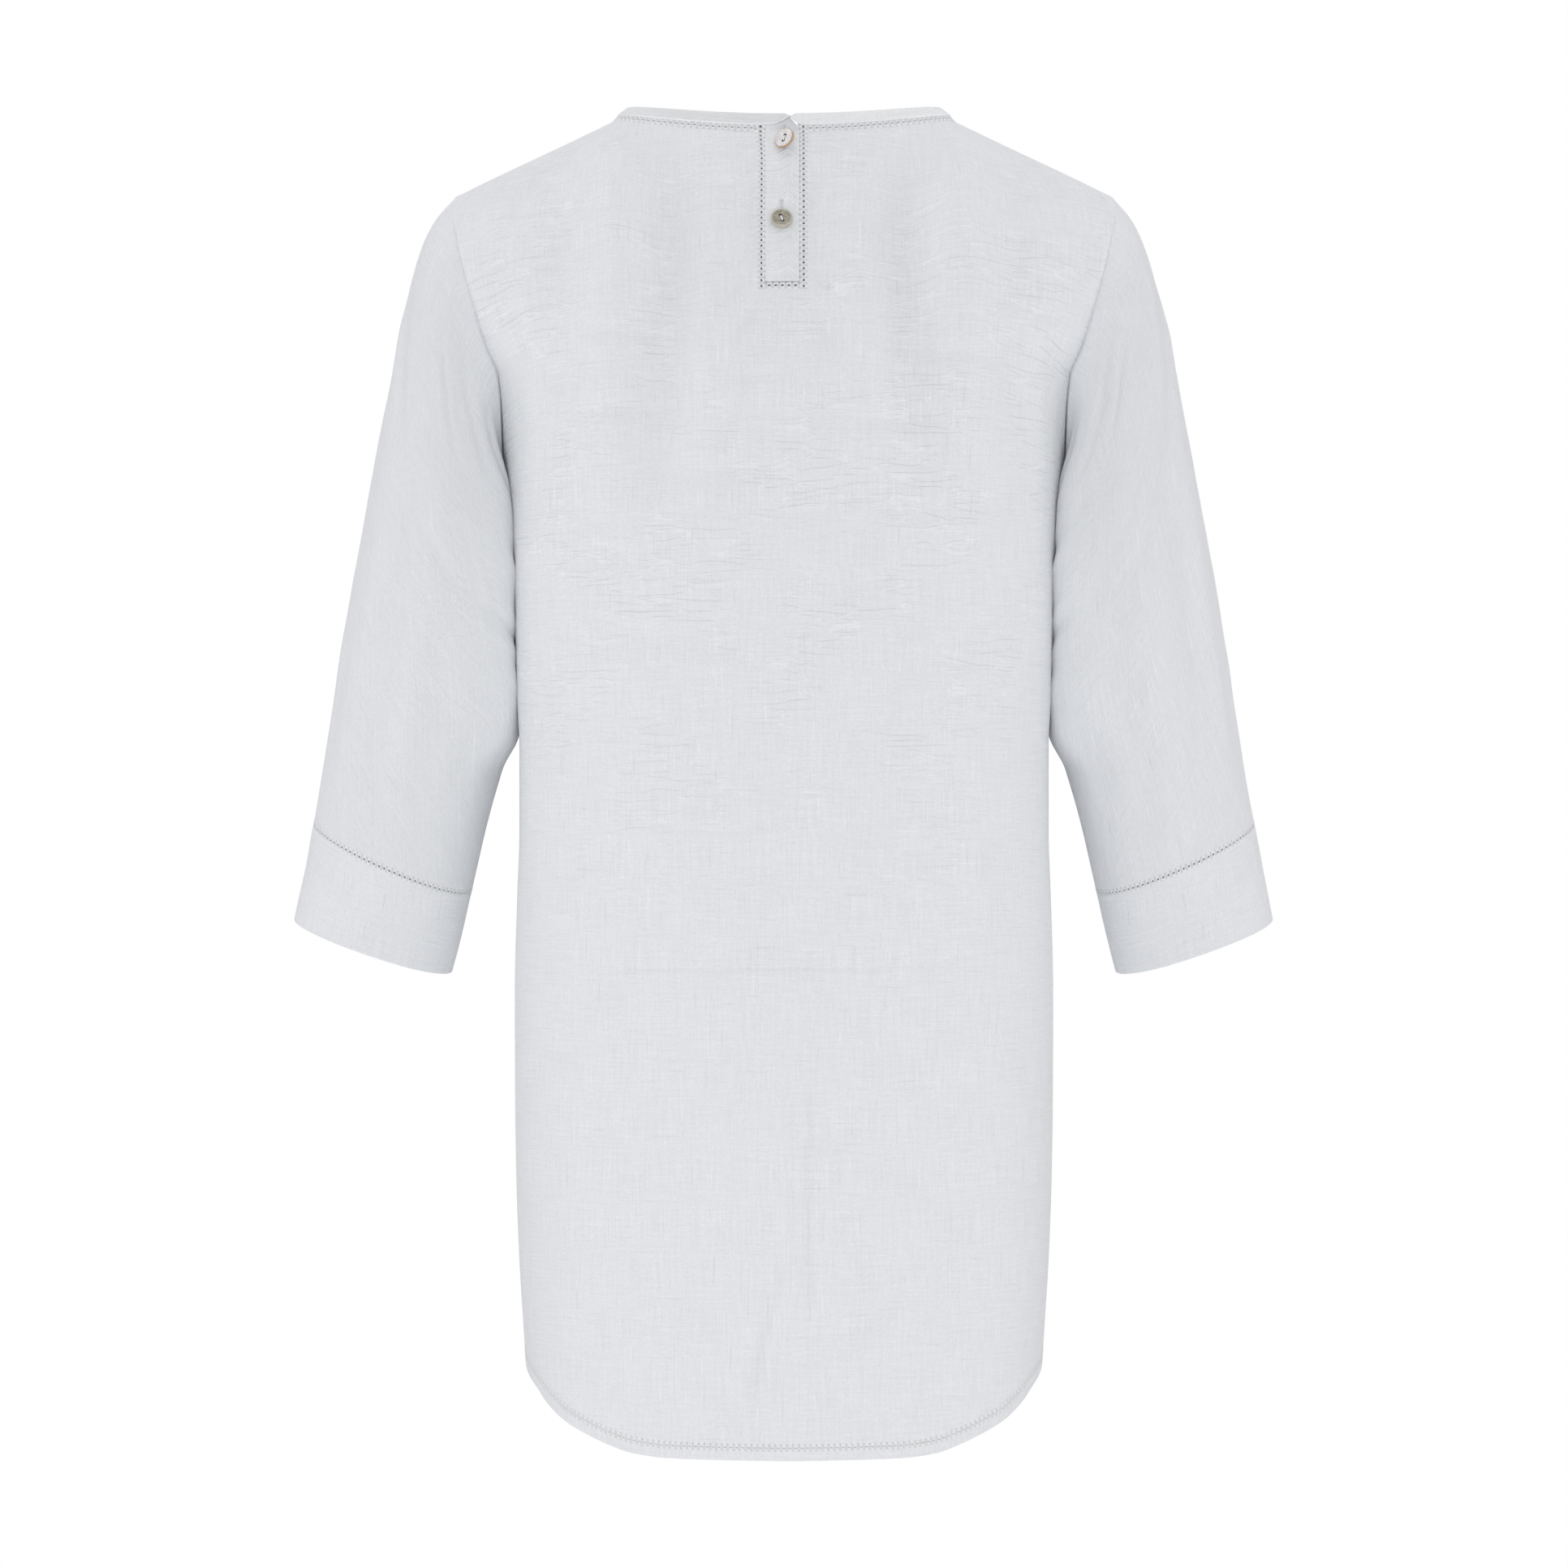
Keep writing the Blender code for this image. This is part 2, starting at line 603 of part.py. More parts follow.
def neck_normals(back, front):
    """Give the normal that panel and trim share at each neck point, halfway round the fold."""
    middle = len(COLUMN_SHARES) - 1
    keys = neck_keys()
    grids = {BACK: back, FRONT: front}
    points = [grids[side][0][column + middle] for side, column in keys]
    normals = {}
    for i, (side, column) in enumerate(keys):
        point = points[i]
        tangent = points[min(i + 1, len(keys) - 1)] - points[max(i - 1, 0)]
        climb = (point - grids[side][1][column + middle]).normalized()
        at_corner = abs(column) == NECK_COLUMNS
        if at_corner:
            climb.y = 0.0
        through = climb.normalized() + neck_rise(point.x, point.y)
        if at_corner:
            through.y = 0.0
            tangent = Vector((0.0, 1.0, 0.0)) * (1 if column > 0 else -1)
        normal = tangent.cross(-through).normalized()
        normals[side, column] = normal
        if at_corner:
            normals[-side, column] = normal
    return normals


def make_hem(side, label, linen, thread):
    """Make the hem's hemstitched trim and the narrow band below it."""
    half_gap = SEAM_GAP / 2
    heights = {
        "hem_trim_" + label: (HEM_BAND_WIDTH + TRIM_WIDTH, HEM_BAND_WIDTH, TRIM_CLOTH, thread),
        "hem_band_" + label: (HEM_BAND_WIDTH, 0.0, CLOTH, linen),
    }
    for name, (top, bottom, thickness, material) in heights.items():
        grid = []
        for share in (0.0, 0.5, 1.0):
            distance = mix(top, bottom, share)
            grid.append([hem_offset(side, column, distance) for column in body_columns()])
        foot = half_gap if bottom > 0.0 else 0.0
        grid = draw_in(grid, top=half_gap, bottom=foot, left=half_gap, right=half_gap)
        cloth_wall(name, grid, thickness, material, meets_across=True)


def neck_rise(x, y):
    """Give the direction in which the neck's trim and band rise from a point of the neck edge."""
    lean_depth = LEAN_DEPTH_BACK if y < 0 else LEAN_DEPTH_FRONT
    inward = Vector((-x / NECK_HALF, -y / lean_depth, 0.0)).normalized()
    to_side = min(abs(x) / NECK_HALF, 1.0) ** 2
    lean = mix(NECK_LEAN_BACK if y < 0 else NECK_LEAN_FRONT, NECK_LEAN_SIDE, to_side)
    return (inward * lean + Vector((0.0, 0.0, math.sqrt(1.0 - lean ** 2)))).normalized()


def neck_edge(side, x):
    """Give the point of the neck edge line at x."""
    y, z = neck_point(side, x)
    return Vector((x, y, z))


def neck_loop():
    """Give the neck edge from the slit's right side round the front to its left side."""
    numbers = range(1, NECK_COLUMNS + 1)
    right = [neck_column_x(number) for number in numbers]
    right[0] = SLIT_RIGHT
    left = [-x for x in right]
    left[0] = slit_edge_x(-1, BACK_NECK_Z)
    points = [neck_edge(BACK, x) for x in right]
    for number in range(NECK_COLUMNS - 1, -NECK_COLUMNS, -1):
        x = neck_column_x(abs(number)) * (1 if number >= 0 else -1)
        points.append(neck_edge(FRONT, x))
    points += [neck_edge(BACK, x) for x in reversed(left)]
    return points


def make_neck(back, front, linen, thread):
    """Make the hemstitched trim round the neck and the narrow band above it."""
    half_gap = SEAM_GAP / 2
    loop = neck_loop()
    rises = [neck_rise(point.x, point.y) for point in loop]
    trim = []
    for share in (1.0, 0.5, 0.0):
        trim.append([p + rise * TRIM_WIDTH * share for p, rise in zip(loop, rises)])
    trim = draw_in(trim, top=half_gap, bottom=half_gap, left=SEAM_GAP, right=SEAM_GAP)
    seam = neck_normals(back, front)
    shared = {(2, i): seam[key] for i, key in enumerate(neck_keys())}
    cloth_wall("neck_trim", trim, TRIM_CLOTH, thread, shared=shared)
    feet = [TRIM_WIDTH] * len(loop)
    base = list(loop)
    for point in reversed(BAND_RIGHT_FOOT):
        base.insert(0, neck_edge(BACK, point.x))
        feet.insert(0, point.above)
    for point in BAND_LEFT_FOOT:
        base.append(neck_edge(BACK, point.x))
        feet.append(point.above)
    top = TRIM_WIDTH + NECK_BAND_WIDTH
    band = []
    for share in (1.0, 0.5, 0.0):
        row = []
        for point, foot in zip(base, feet):
            row.append(point + neck_rise(point.x, point.y) * mix(foot, top, share))
        band.append(row)
    band = draw_in(band, bottom=half_gap)
    cloth_wall("neck_band", band, CLOTH, linen)


def back_surface(x, z, out=0.0):
    """Give a point on the upper back near the slit, moved out from the cloth by a distance."""
    step = 0.001
    y = panel_depth(BACK, x, z)
    slope_x = (panel_depth(BACK, x + step, z) - panel_depth(BACK, x - step, z)) / (2 * step)
    slope_z = (panel_depth(BACK, x, z) - panel_depth(BACK, x, z - step)) / step
    normal = Vector((slope_x, -1.0, slope_z)).normalized()
    return Vector((x, y, z)) + normal * out


def neck_strip_point(x, above):
    """Give a point of a placket piece a distance above the back's neck edge line."""
    return neck_edge(BACK, x) + neck_rise(x, BACK_NECK_Y) * above


def placket_levels(top_z, foot_z):
    """Give the heights of a placket piece's rows."""
    return [mix(top_z, foot_z, level / (PLACKET_LEVELS - 1)) for level in range(PLACKET_LEVELS)]


def make_placket(linen, thread):
    """Make the buttoned strip, the strip under it and the trim round the slit."""
    strip = [[neck_strip_point(p.x, p.above) for p in STRIP_TOP]]
    columns = []
    for point in STRIP_TOP:
        top_z = neck_point(BACK, point.x)[1] - PLACKET_TOP_DROP
        levels = placket_levels(top_z, STRIP_BOTTOM_Z)
        columns.append([back_surface(point.x, z) for z in levels])
    strip += [list(row) for row in zip(*columns)]
    cloth_wall("placket_overlap", strip, CLOTH, linen)
    columns = []
    for share in (0.0, 0.5, 1.0):
        x = mix(UNDERLAP_LEFT, UNDERLAP_RIGHT, share)
        top_z = neck_point(BACK, x)[1] - PLACKET_TOP_DROP
        levels = placket_levels(top_z, STRIP_BOTTOM_Z + UNDERLAP_SHORTER)
        columns.append([back_surface(x, z, -UNDERLAP_DEPTH) for z in levels])
    under = [list(row) for row in zip(*columns)]
    cloth_wall("placket_underlap", under, CLOTH, linen)
    make_placket_trim(thread)


def make_placket_trim(thread):
    """Make the hemstitched trim down both sides of the slit and across its foot."""
    gap = SEAM_GAP
    top_z = BACK_NECK_Z - PLACKET_TOP_DROP
    outer_levels = placket_levels(top_z, SLIT_BOTTOM_Z + gap)
    inner_levels = placket_levels(top_z, STRIP_BOTTOM_Z - gap)
    outer = [(slit_edge_x(-1, z) + gap, z) for z in outer_levels]
    outer += [(SLIT_RIGHT - gap, z) for z in reversed(outer_levels)]
    inner = [(STRIP_LEFT - gap, z) for z in inner_levels]
    inner += [(STRIP_RIGHT + 2 * gap, z) for z in reversed(inner_levels)]
    rows = []
    for share in (0.0, 0.5, 1.0):
        line = [(mix(ox, ix, share), mix(oz, iz, share)) for (ox, oz), (ix, iz) in zip(outer, inner)]
        row = [neck_strip_point(line[0][0], TRIM_WIDTH - gap)]
        row += [back_surface(x, z) for x, z in line]
        row.append(neck_strip_point(line[-1][0], TRIM_WIDTH - gap))
        rows.append(row)
    cloth_wall("placket_trim", rows, TRIM_CLOTH, thread)


def ring_points(ring, count_shares, roundness):
    """Give a sleeve ring's points from its outer end over the back to the inner end and on."""
    outer = Vector((ring.x_out, ring.y_mid, ring.z_out))
    inner = Vector((ring.x_in, ring.y_mid, ring.z_in))
    centre = (outer + inner) / 2
    across = (outer - inner) / 2
    tilt = math.radians(ring.tilt)
    deep = Vector((0.0, math.cos(tilt), math.sin(tilt))) * ring.half_depth
    power = 2.0 / roundness
    line = []
    for step in range(4 * SECTION_STEPS + 1):
        angle = 2 * math.pi * step / (4 * SECTION_STEPS)
        c = math.cos(angle)
        s = -math.sin(angle)
        u = math.copysign(abs(c) ** power, c)
        v = math.copysign(abs(s) ** power, s)
        line.append(centre + across * u + deep * v)
    lengths = [0.0]
    for a, b in zip(line, line[1:]):
        lengths.append(lengths[-1] + (b - a).length)
    points = []
    i = 0
    for share in count_shares:
        wanted = share * lengths[-1]
        while lengths[i + 1] < wanted:
            i += 1
        t = (wanted - lengths[i]) / (lengths[i + 1] - lengths[i])
        points.append(line[i].lerp(line[i + 1], t))
    return points


def sleeve_ring(along):
    """Read the sleeve's table at a share of the way from the armhole to the cuff seam."""
    columns = ("x_out", "z_out", "x_in", "z_in", "y_mid", "half_depth", "tilt")
    values = {column: read_table(SLEEVE, column, along, key="along") for column in columns}
    return Ring(along=along, **values)


def cuff_ring(along):
    """Give a ring a share of the way from the cuff seam to the cuff's hem."""
    values = [mix(a, b, along) for a, b in zip(CUFF_SEAM, CUFF_HEM)]
    return Ring(*values)


def armhole_loop(back, front):
    """Give the right armhole's seam points: shoulder, back, underarm, front."""
    rows = len(UPPER_ROWS)
    loop = [back[r][-1] for r in range(rows)]
    loop += [front[r][-1] for r in range(rows - 2, 0, -1)]
    return loop


def loop_shares(loop):
    """Give each point's share of the way round a closed loop."""
    lengths = [0.0]
    for a, b in zip(loop, loop[1:] + loop[:1]):
        lengths.append(lengths[-1] + (b - a).length)
    return [length / lengths[-1] for length in lengths[:-1]]


def sleeve_grid(back, front):
    """Give the right sleeve's middle surface: rings from the armhole to the cuff seam."""
    loop = armhole_loop(back, front)
    count = len(loop)
    seam_shares = loop_shares(loop)
    start = ring_points(sleeve_ring(0.0), seam_shares, SLEEVE_RING_ROUNDNESS)
    shifts = []
    for point, base in zip(loop, start):
        down = (SHOULDER_Z - point.z) / (SHOULDER_Z - UNDERARM_Z)
        clear = mix(SLEEVE_CLEAR_AT_SHOULDER, SLEEVE_CLEAR_AT_UNDERARM, ease(down))
        shifts.append(point + Vector((clear, 0.0, 0.0)) - base)
    grid = []
    for r in range(SLEEVE_RINGS):
        along = (r / (SLEEVE_RINGS - 1)) ** SLEEVE_RING_SPREAD
        shares = [mix(share, i / count, ease(along)) for i, share in enumerate(seam_shares)]
        points = ring_points(sleeve_ring(along), shares, SLEEVE_RING_ROUNDNESS)
        hold = 1.0 - ease(along / SLEEVE_HELD_SHARE)
        grid.append([point + shift * hold for point, shift in zip(points, shifts)])
    return grid


def mirrored(grid, sign):
    """Give a grid on the wearer's right (+1) or left (-1)."""
    return [[Vector((point.x * sign, point.y, point.z)) for point in row] for row in grid]


def make_sleeves(back, front, linen, thread):
    """Make both sleeves, their hemstitched trims and their cuffs."""
    grid = sleeve_grid(back, front)
    count = len(grid[0])
    shares = [i / count for i in range(count)]
    half_gap = SEAM_GAP / 2
    half_trim = TRIM_WIDTH / 2 / CUFF_DEPTH
    trim = []
    for share in (-1.0, 0.0, 1.0):
        trim.append(ring_points(cuff_ring(share * half_trim), shares, SLEEVE_RING_ROUNDNESS))
    cuff = []
    for step in range(4):
        along = mix(half_trim, 1.0, step / 3)
        cuff.append(ring_points(cuff_ring(along), shares, SLEEVE_RING_ROUNDNESS))
    for label, sign in (("left", -1), ("right", 1)):
        sleeve = draw_in(mirrored(grid, sign), bottom=half_gap)
        cloth_wall("sleeve_" + label, sleeve, CLOTH, linen, around=True)
        strip = draw_in(mirrored(trim, sign), top=half_gap, bottom=half_gap)
        cloth_wall("cuff_trim_" + label, strip, TRIM_CLOTH, thread, around=True)
        band = draw_in(mirrored(cuff, sign), top=half_gap)
        cloth_wall("cuff_" + label, band, CLOTH, linen, around=True)


def make_button(place, material):
    """Make a two-hole shell button with a raised rim, seated in front of the placket strip."""
    top = BUTTON_THICK / 2
    profile = [
        (0.0, -top),
        (BUTTON_RADIUS - BUTTON_EDGE, -top),
        (BUTTON_RADIUS, -top + BUTTON_EDGE),
        (BUTTON_RADIUS, top - BUTTON_RIM_ROUND),
        (BUTTON_RADIUS - BUTTON_RIM_ROUND, top),
        (BUTTON_RADIUS - BUTTON_RIM, top),
        (BUTTON_RADIUS - BUTTON_RIM - BUTTON_DISH, top - BUTTON_DISH),
        (0.0, top - BUTTON_DISH),
    ]
    steps = BUTTON_STEPS
    shape = bmesh.new()
    rings = []
    for radius, height in profile:
        if radius == 0.0:
            rings.append([shape.verts.new((0.0, 0.0, height))])
            continue
        ring = []
        for step in range(steps):
            angle = 2 * math.pi * step / steps
            ring.append(shape.verts.new((radius * math.cos(angle), radius * math.sin(angle), height)))
        rings.append(ring)
    for low, high in zip(rings, rings[1:]):
        for step in range(steps):
            following = (step + 1) % steps
            if len(low) == 1:
                shape.faces.new((low[0], high[step], high[following]))
            elif len(high) == 1:
                shape.faces.new((low[step], low[following], high[0]))
            else:
                shape.faces.new((low[step], low[following], high[following], high[step]))
    button = add_object(place.name, shape, material)
    for label, offset in (("low", -BUTTON_HOLE_SPACING / 2), ("high", BUTTON_HOLE_SPACING / 2)):
        cutter = make_hole_cutter(place.name + "_hole_" + label, offset, material)
        cut = button.modifiers.new("thread hole", "BOOLEAN")
        cut.operation = "DIFFERENCE"
        cut.solver = "EXACT"
        cut.object = cutter
        cutter.parent = button
    seat = CLOTH / 2 + SEAM_GAP + BUTTON_THICK / 2
    centre = back_surface(place.x, place.z, seat + place.lift)
    normal = (centre - back_surface(place.x, place.z)).normalized()
    rightward = Vector((1.0, 0.0, 0.0))
    across = (rightward - normal * rightward.dot(normal)).normalized()
    upward = normal.cross(across)
    pose = Matrix((across, upward, normal)).transposed().to_4x4()
    turn = Matrix.Rotation(math.radians(place.turn), 4, "Y")
    tip = Matrix.Rotation(math.radians(place.tip), 4, "X")
    button.matrix_world = Matrix.Translation(centre) @ pose @ turn @ tip


def make_hole_cutter(name, offset, material):
    """Make the round bar that cuts one of a button's thread holes."""
    shape = bmesh.new()
    bmesh.ops.create_cone(shape, cap_ends=True, segments=BUTTON_HOLE_STEPS,
                          radius1=BUTTON_HOLE_RADIUS, radius2=BUTTON_HOLE_RADIUS,
                          depth=BUTTON_THICK * 3)
    bmesh.ops.translate(shape, verts=shape.verts, vec=(0.0, offset, 0.0))
    cutter = add_object(name, shape, material)
    cutter.hide_render = True
    cutter.display_type = "WIRE"
    return cutter


def main():
    """Make every piece of the tunic."""
    clear_scene()
    linen = make_material("linen", LINEN_WHITE, 0.85)
    thread = make_material("hemstitch", THREAD_WHITE, 0.75)
    back, front = make_panels(linen)
    make_hem(BACK, "back", linen, thread)
    make_hem(FRONT, "front", linen, thread)
    make_neck(back, front, linen, thread)
    make_placket(linen, thread)
    make_sleeves(back, front, linen, thread)
    make_button(UPPER_BUTTON, make_material("light shell", SHELL_LIGHT, 0.25))
    make_button(LOWER_BUTTON, make_material("dark shell", SHELL_DARK, 0.25))


main()
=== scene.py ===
"""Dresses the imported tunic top: fine cloth, pierced stitch work, shell buttons, light and camera.

Metres, +Z up, in the frame of the CAD part: the back faces -Y, the wearer's left is at -X, and
the origin is in the middle of the neck opening at the height of the shoulders' neck ends.
"""
import logging
import math
from dataclasses import dataclass
from enum import Enum
from typing import Callable, NamedTuple, Optional, Sequence

import bpy
import numpy as np
from mathutils import Matrix, Vector


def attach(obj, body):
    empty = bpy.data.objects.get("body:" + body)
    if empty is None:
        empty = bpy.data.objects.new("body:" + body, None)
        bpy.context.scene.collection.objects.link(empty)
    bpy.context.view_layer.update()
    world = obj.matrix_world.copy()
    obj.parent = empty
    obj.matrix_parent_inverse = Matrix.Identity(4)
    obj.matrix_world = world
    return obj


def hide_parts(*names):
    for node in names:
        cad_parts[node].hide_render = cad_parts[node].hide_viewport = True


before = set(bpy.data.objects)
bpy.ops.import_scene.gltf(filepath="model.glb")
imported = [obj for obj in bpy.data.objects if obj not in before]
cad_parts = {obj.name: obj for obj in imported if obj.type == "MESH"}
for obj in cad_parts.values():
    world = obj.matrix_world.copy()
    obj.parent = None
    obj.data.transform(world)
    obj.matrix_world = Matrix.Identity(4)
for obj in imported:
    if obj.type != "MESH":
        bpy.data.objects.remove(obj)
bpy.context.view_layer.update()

LOG = logging.getLogger("tunic")
ROOT = "root"


class Side(Enum):
    """Which half of the body a panel covers; the value is the sign of its Y."""

    BACK = -1
    FRONT = 1


class Hand(Enum):
    """Which arm a sleeve is for; the value is the sign of its X."""

    LEFT = -1
    RIGHT = 1


class Slot(Enum):
    """The material slots."""

    LINEN = "linen"
    HEMSTITCH = "hemstitch"
    LIGHT_SHELL = "light_shell"
    DARK_SHELL = "dark_shell"


class Depth(NamedTuple):
    """How far the body reaches back and forward at a height."""

    z: float
    back: float
    front: float


class HalfWidth(NamedTuple):
    """The body's half width at a height below the underarm."""

    z: float
    half_width: float


class Armhole(NamedTuple):
    """The armhole seam's half width at a height, and its share of the body's depth there."""

    z: float
    x_back: float
    share_back: float
    x_front: float
    share_front: float


class HemPoint(NamedTuple):
    """How far the hem has dropped at a share of the half width."""

    reach: float
    drop: float


class Ring(NamedTuple):
    """One ring of a sleeve: its outer and inner ends, its middle, its half depth and its tilt."""

    along: float
    x_out: float
    z_out: float
    x_in: float
    z_in: float
    y_mid: float
    half_depth: float
    tilt: float


class EdgePoint(NamedTuple):
    """A point of a placket or band edge, by its height above the neck edge line."""

    x: float
    above: float


class Drape(NamedTuple):
    """A broad upright drape of a panel: how far it takes the cloth in."""

    side: Side
    x: float
    z_top: float
    z_bottom: float
    width: float
    depth: float


class Crease(NamedTuple):
    """A soft crease between two places in the cloth's plane, a ridge where depth is negative."""

    a0: float
    b0: float
    a1: float
    b1: float
    bow: float
    width: float
    depth: float


DEPTHS = (
    Depth(0.010, 0.118, 0.110),
    Depth(-0.100, 0.121, 0.118),
    Depth(-0.170, 0.1235, 0.131),
    Depth(-0.240, 0.1230, 0.139),
    Depth(-0.342, 0.1190, 0.137),
    Depth(-0.455, 0.1160, 0.131),
    Depth(-0.624, 0.1190, 0.130),
    Depth(-0.810, 0.1240, 0.133),
)

HALF_WIDTHS = (
    HalfWidth(-0.240, 0.1622),
    HalfWidth(-0.264, 0.1610),
    HalfWidth(-0.302, 0.1592),
    HalfWidth(-0.342, 0.1574),
    HalfWidth(-0.370, 0.1558),
    HalfWidth(-0.420, 0.1558),
    HalfWidth(-0.455, 0.1570),
    HalfWidth(-0.515, 0.1585),
    HalfWidth(-0.576, 0.1583),
    HalfWidth(-0.624, 0.1576),
    HalfWidth(-0.672, 0.1558),
    HalfWidth(-0.706, 0.1537),
    HalfWidth(-0.734, 0.1519),
    HalfWidth(-0.800, 0.1490),
)

ARMHOLES = (
    Armhole(-0.0447, 0.1930, 0.66, 0.1930, 0.62),
    Armhole(-0.0556, 0.1931, 0.65, 0.1912, 0.60),
    Armhole(-0.0726, 0.1894, 0.62, 0.1862, 0.57),
    Armhole(-0.1018, 0.1823, 0.55, 0.1775, 0.50),
    Armhole(-0.1365, 0.1720, 0.46, 0.1680, 0.41),
    Armhole(-0.1534, 0.1652, 0.40, 0.1650, 0.36),
    Armhole(-0.1750, 0.1636, 0.32, 0.1634, 0.29),
    Armhole(-0.2050, 0.1632, 0.20, 0.1630, 0.18),
    Armhole(-0.2400, 0.1622, 0.00, 0.1622, 0.00),
)

HEM_CURVE = (
    HemPoint(0.000, 1.000),
    HemPoint(0.442, 0.985),
    HemPoint(0.572, 0.943),
    HemPoint(0.665, 0.857),
    HemPoint(0.732, 0.772),
    HemPoint(0.837, 0.606),
    HemPoint(0.902, 0.434),
    HemPoint(0.946, 0.262),
    HemPoint(0.987, 0.108),
    HemPoint(1.000, 0.000),
)

SLEEVE_RINGS = (
    Ring(0.00, 0.1940, -0.0447, 0.1640, -0.2400, 0.001, 0.0560, 0.0),
    Ring(0.06, 0.2062, -0.0590, 0.1650, -0.2450, 0.001, 0.0600, 1.0),
    Ring(0.12, 0.2147, -0.0790, 0.1650, -0.2520, 0.001, 0.0630, 2.0),
    Ring(0.22, 0.2240, -0.1160, 0.1645, -0.2630, 0.002, 0.0650, 3.0),
    Ring(0.34, 0.2332, -0.1580, 0.1628, -0.2780, 0.004, 0.0650, 4.0),
    Ring(0.48, 0.2433, -0.2070, 0.1617, -0.3000, 0.007, 0.0630, 5.5),
    Ring(0.62, 0.2536, -0.2610, 0.1602, -0.3300, 0.012, 0.0600, 7.0),
    Ring(0.74, 0.2614, -0.3080, 0.1643, -0.3620, 0.017, 0.0565, 8.0),
    Ring(0.87, 0.2703, -0.3590, 0.1750, -0.4060, 0.024, 0.0520, 9.0),
    Ring(1.00, 0.2794, -0.4115, 0.1860, -0.4523, 0.032, 0.0475, 10.0),
)
CUFF_SEAM = Ring(0.0, 0.2799, -0.4138, 0.1866, -0.4546, 0.0324, 0.0473, 10.0)
CUFF_HEM = Ring(1.0, 0.2919, -0.4723, 0.1993, -0.5035, 0.042, 0.0455, 6.5)

DRAPES = (
    Drape(Side.BACK, -0.0850, -0.020, -0.230, 0.026, 0.0032),
    Drape(Side.BACK, 0.0880, -0.020, -0.230, 0.026, 0.0032),
    Drape(Side.BACK, 0.0080, -0.480, -0.860, 0.030, -0.0030),
    Drape(Side.BACK, -0.0900, -0.420, -0.860, 0.036, 0.0030),
    Drape(Side.BACK, 0.0980, -0.440, -0.860, 0.036, 0.0034),
    Drape(Side.FRONT, -0.0750, -0.300, -0.880, 0.034, 0.0046),
    Drape(Side.FRONT, 0.0820, -0.330, -0.880, 0.036, 0.0042),
    Drape(Side.FRONT, 0.0050, -0.380, -0.880, 0.034, 0.0030),
    Drape(Side.FRONT, -0.1250, -0.100, -0.300, 0.024, 0.0030),
    Drape(Side.FRONT, 0.1250, -0.100, -0.300, 0.024, 0.0030),
)

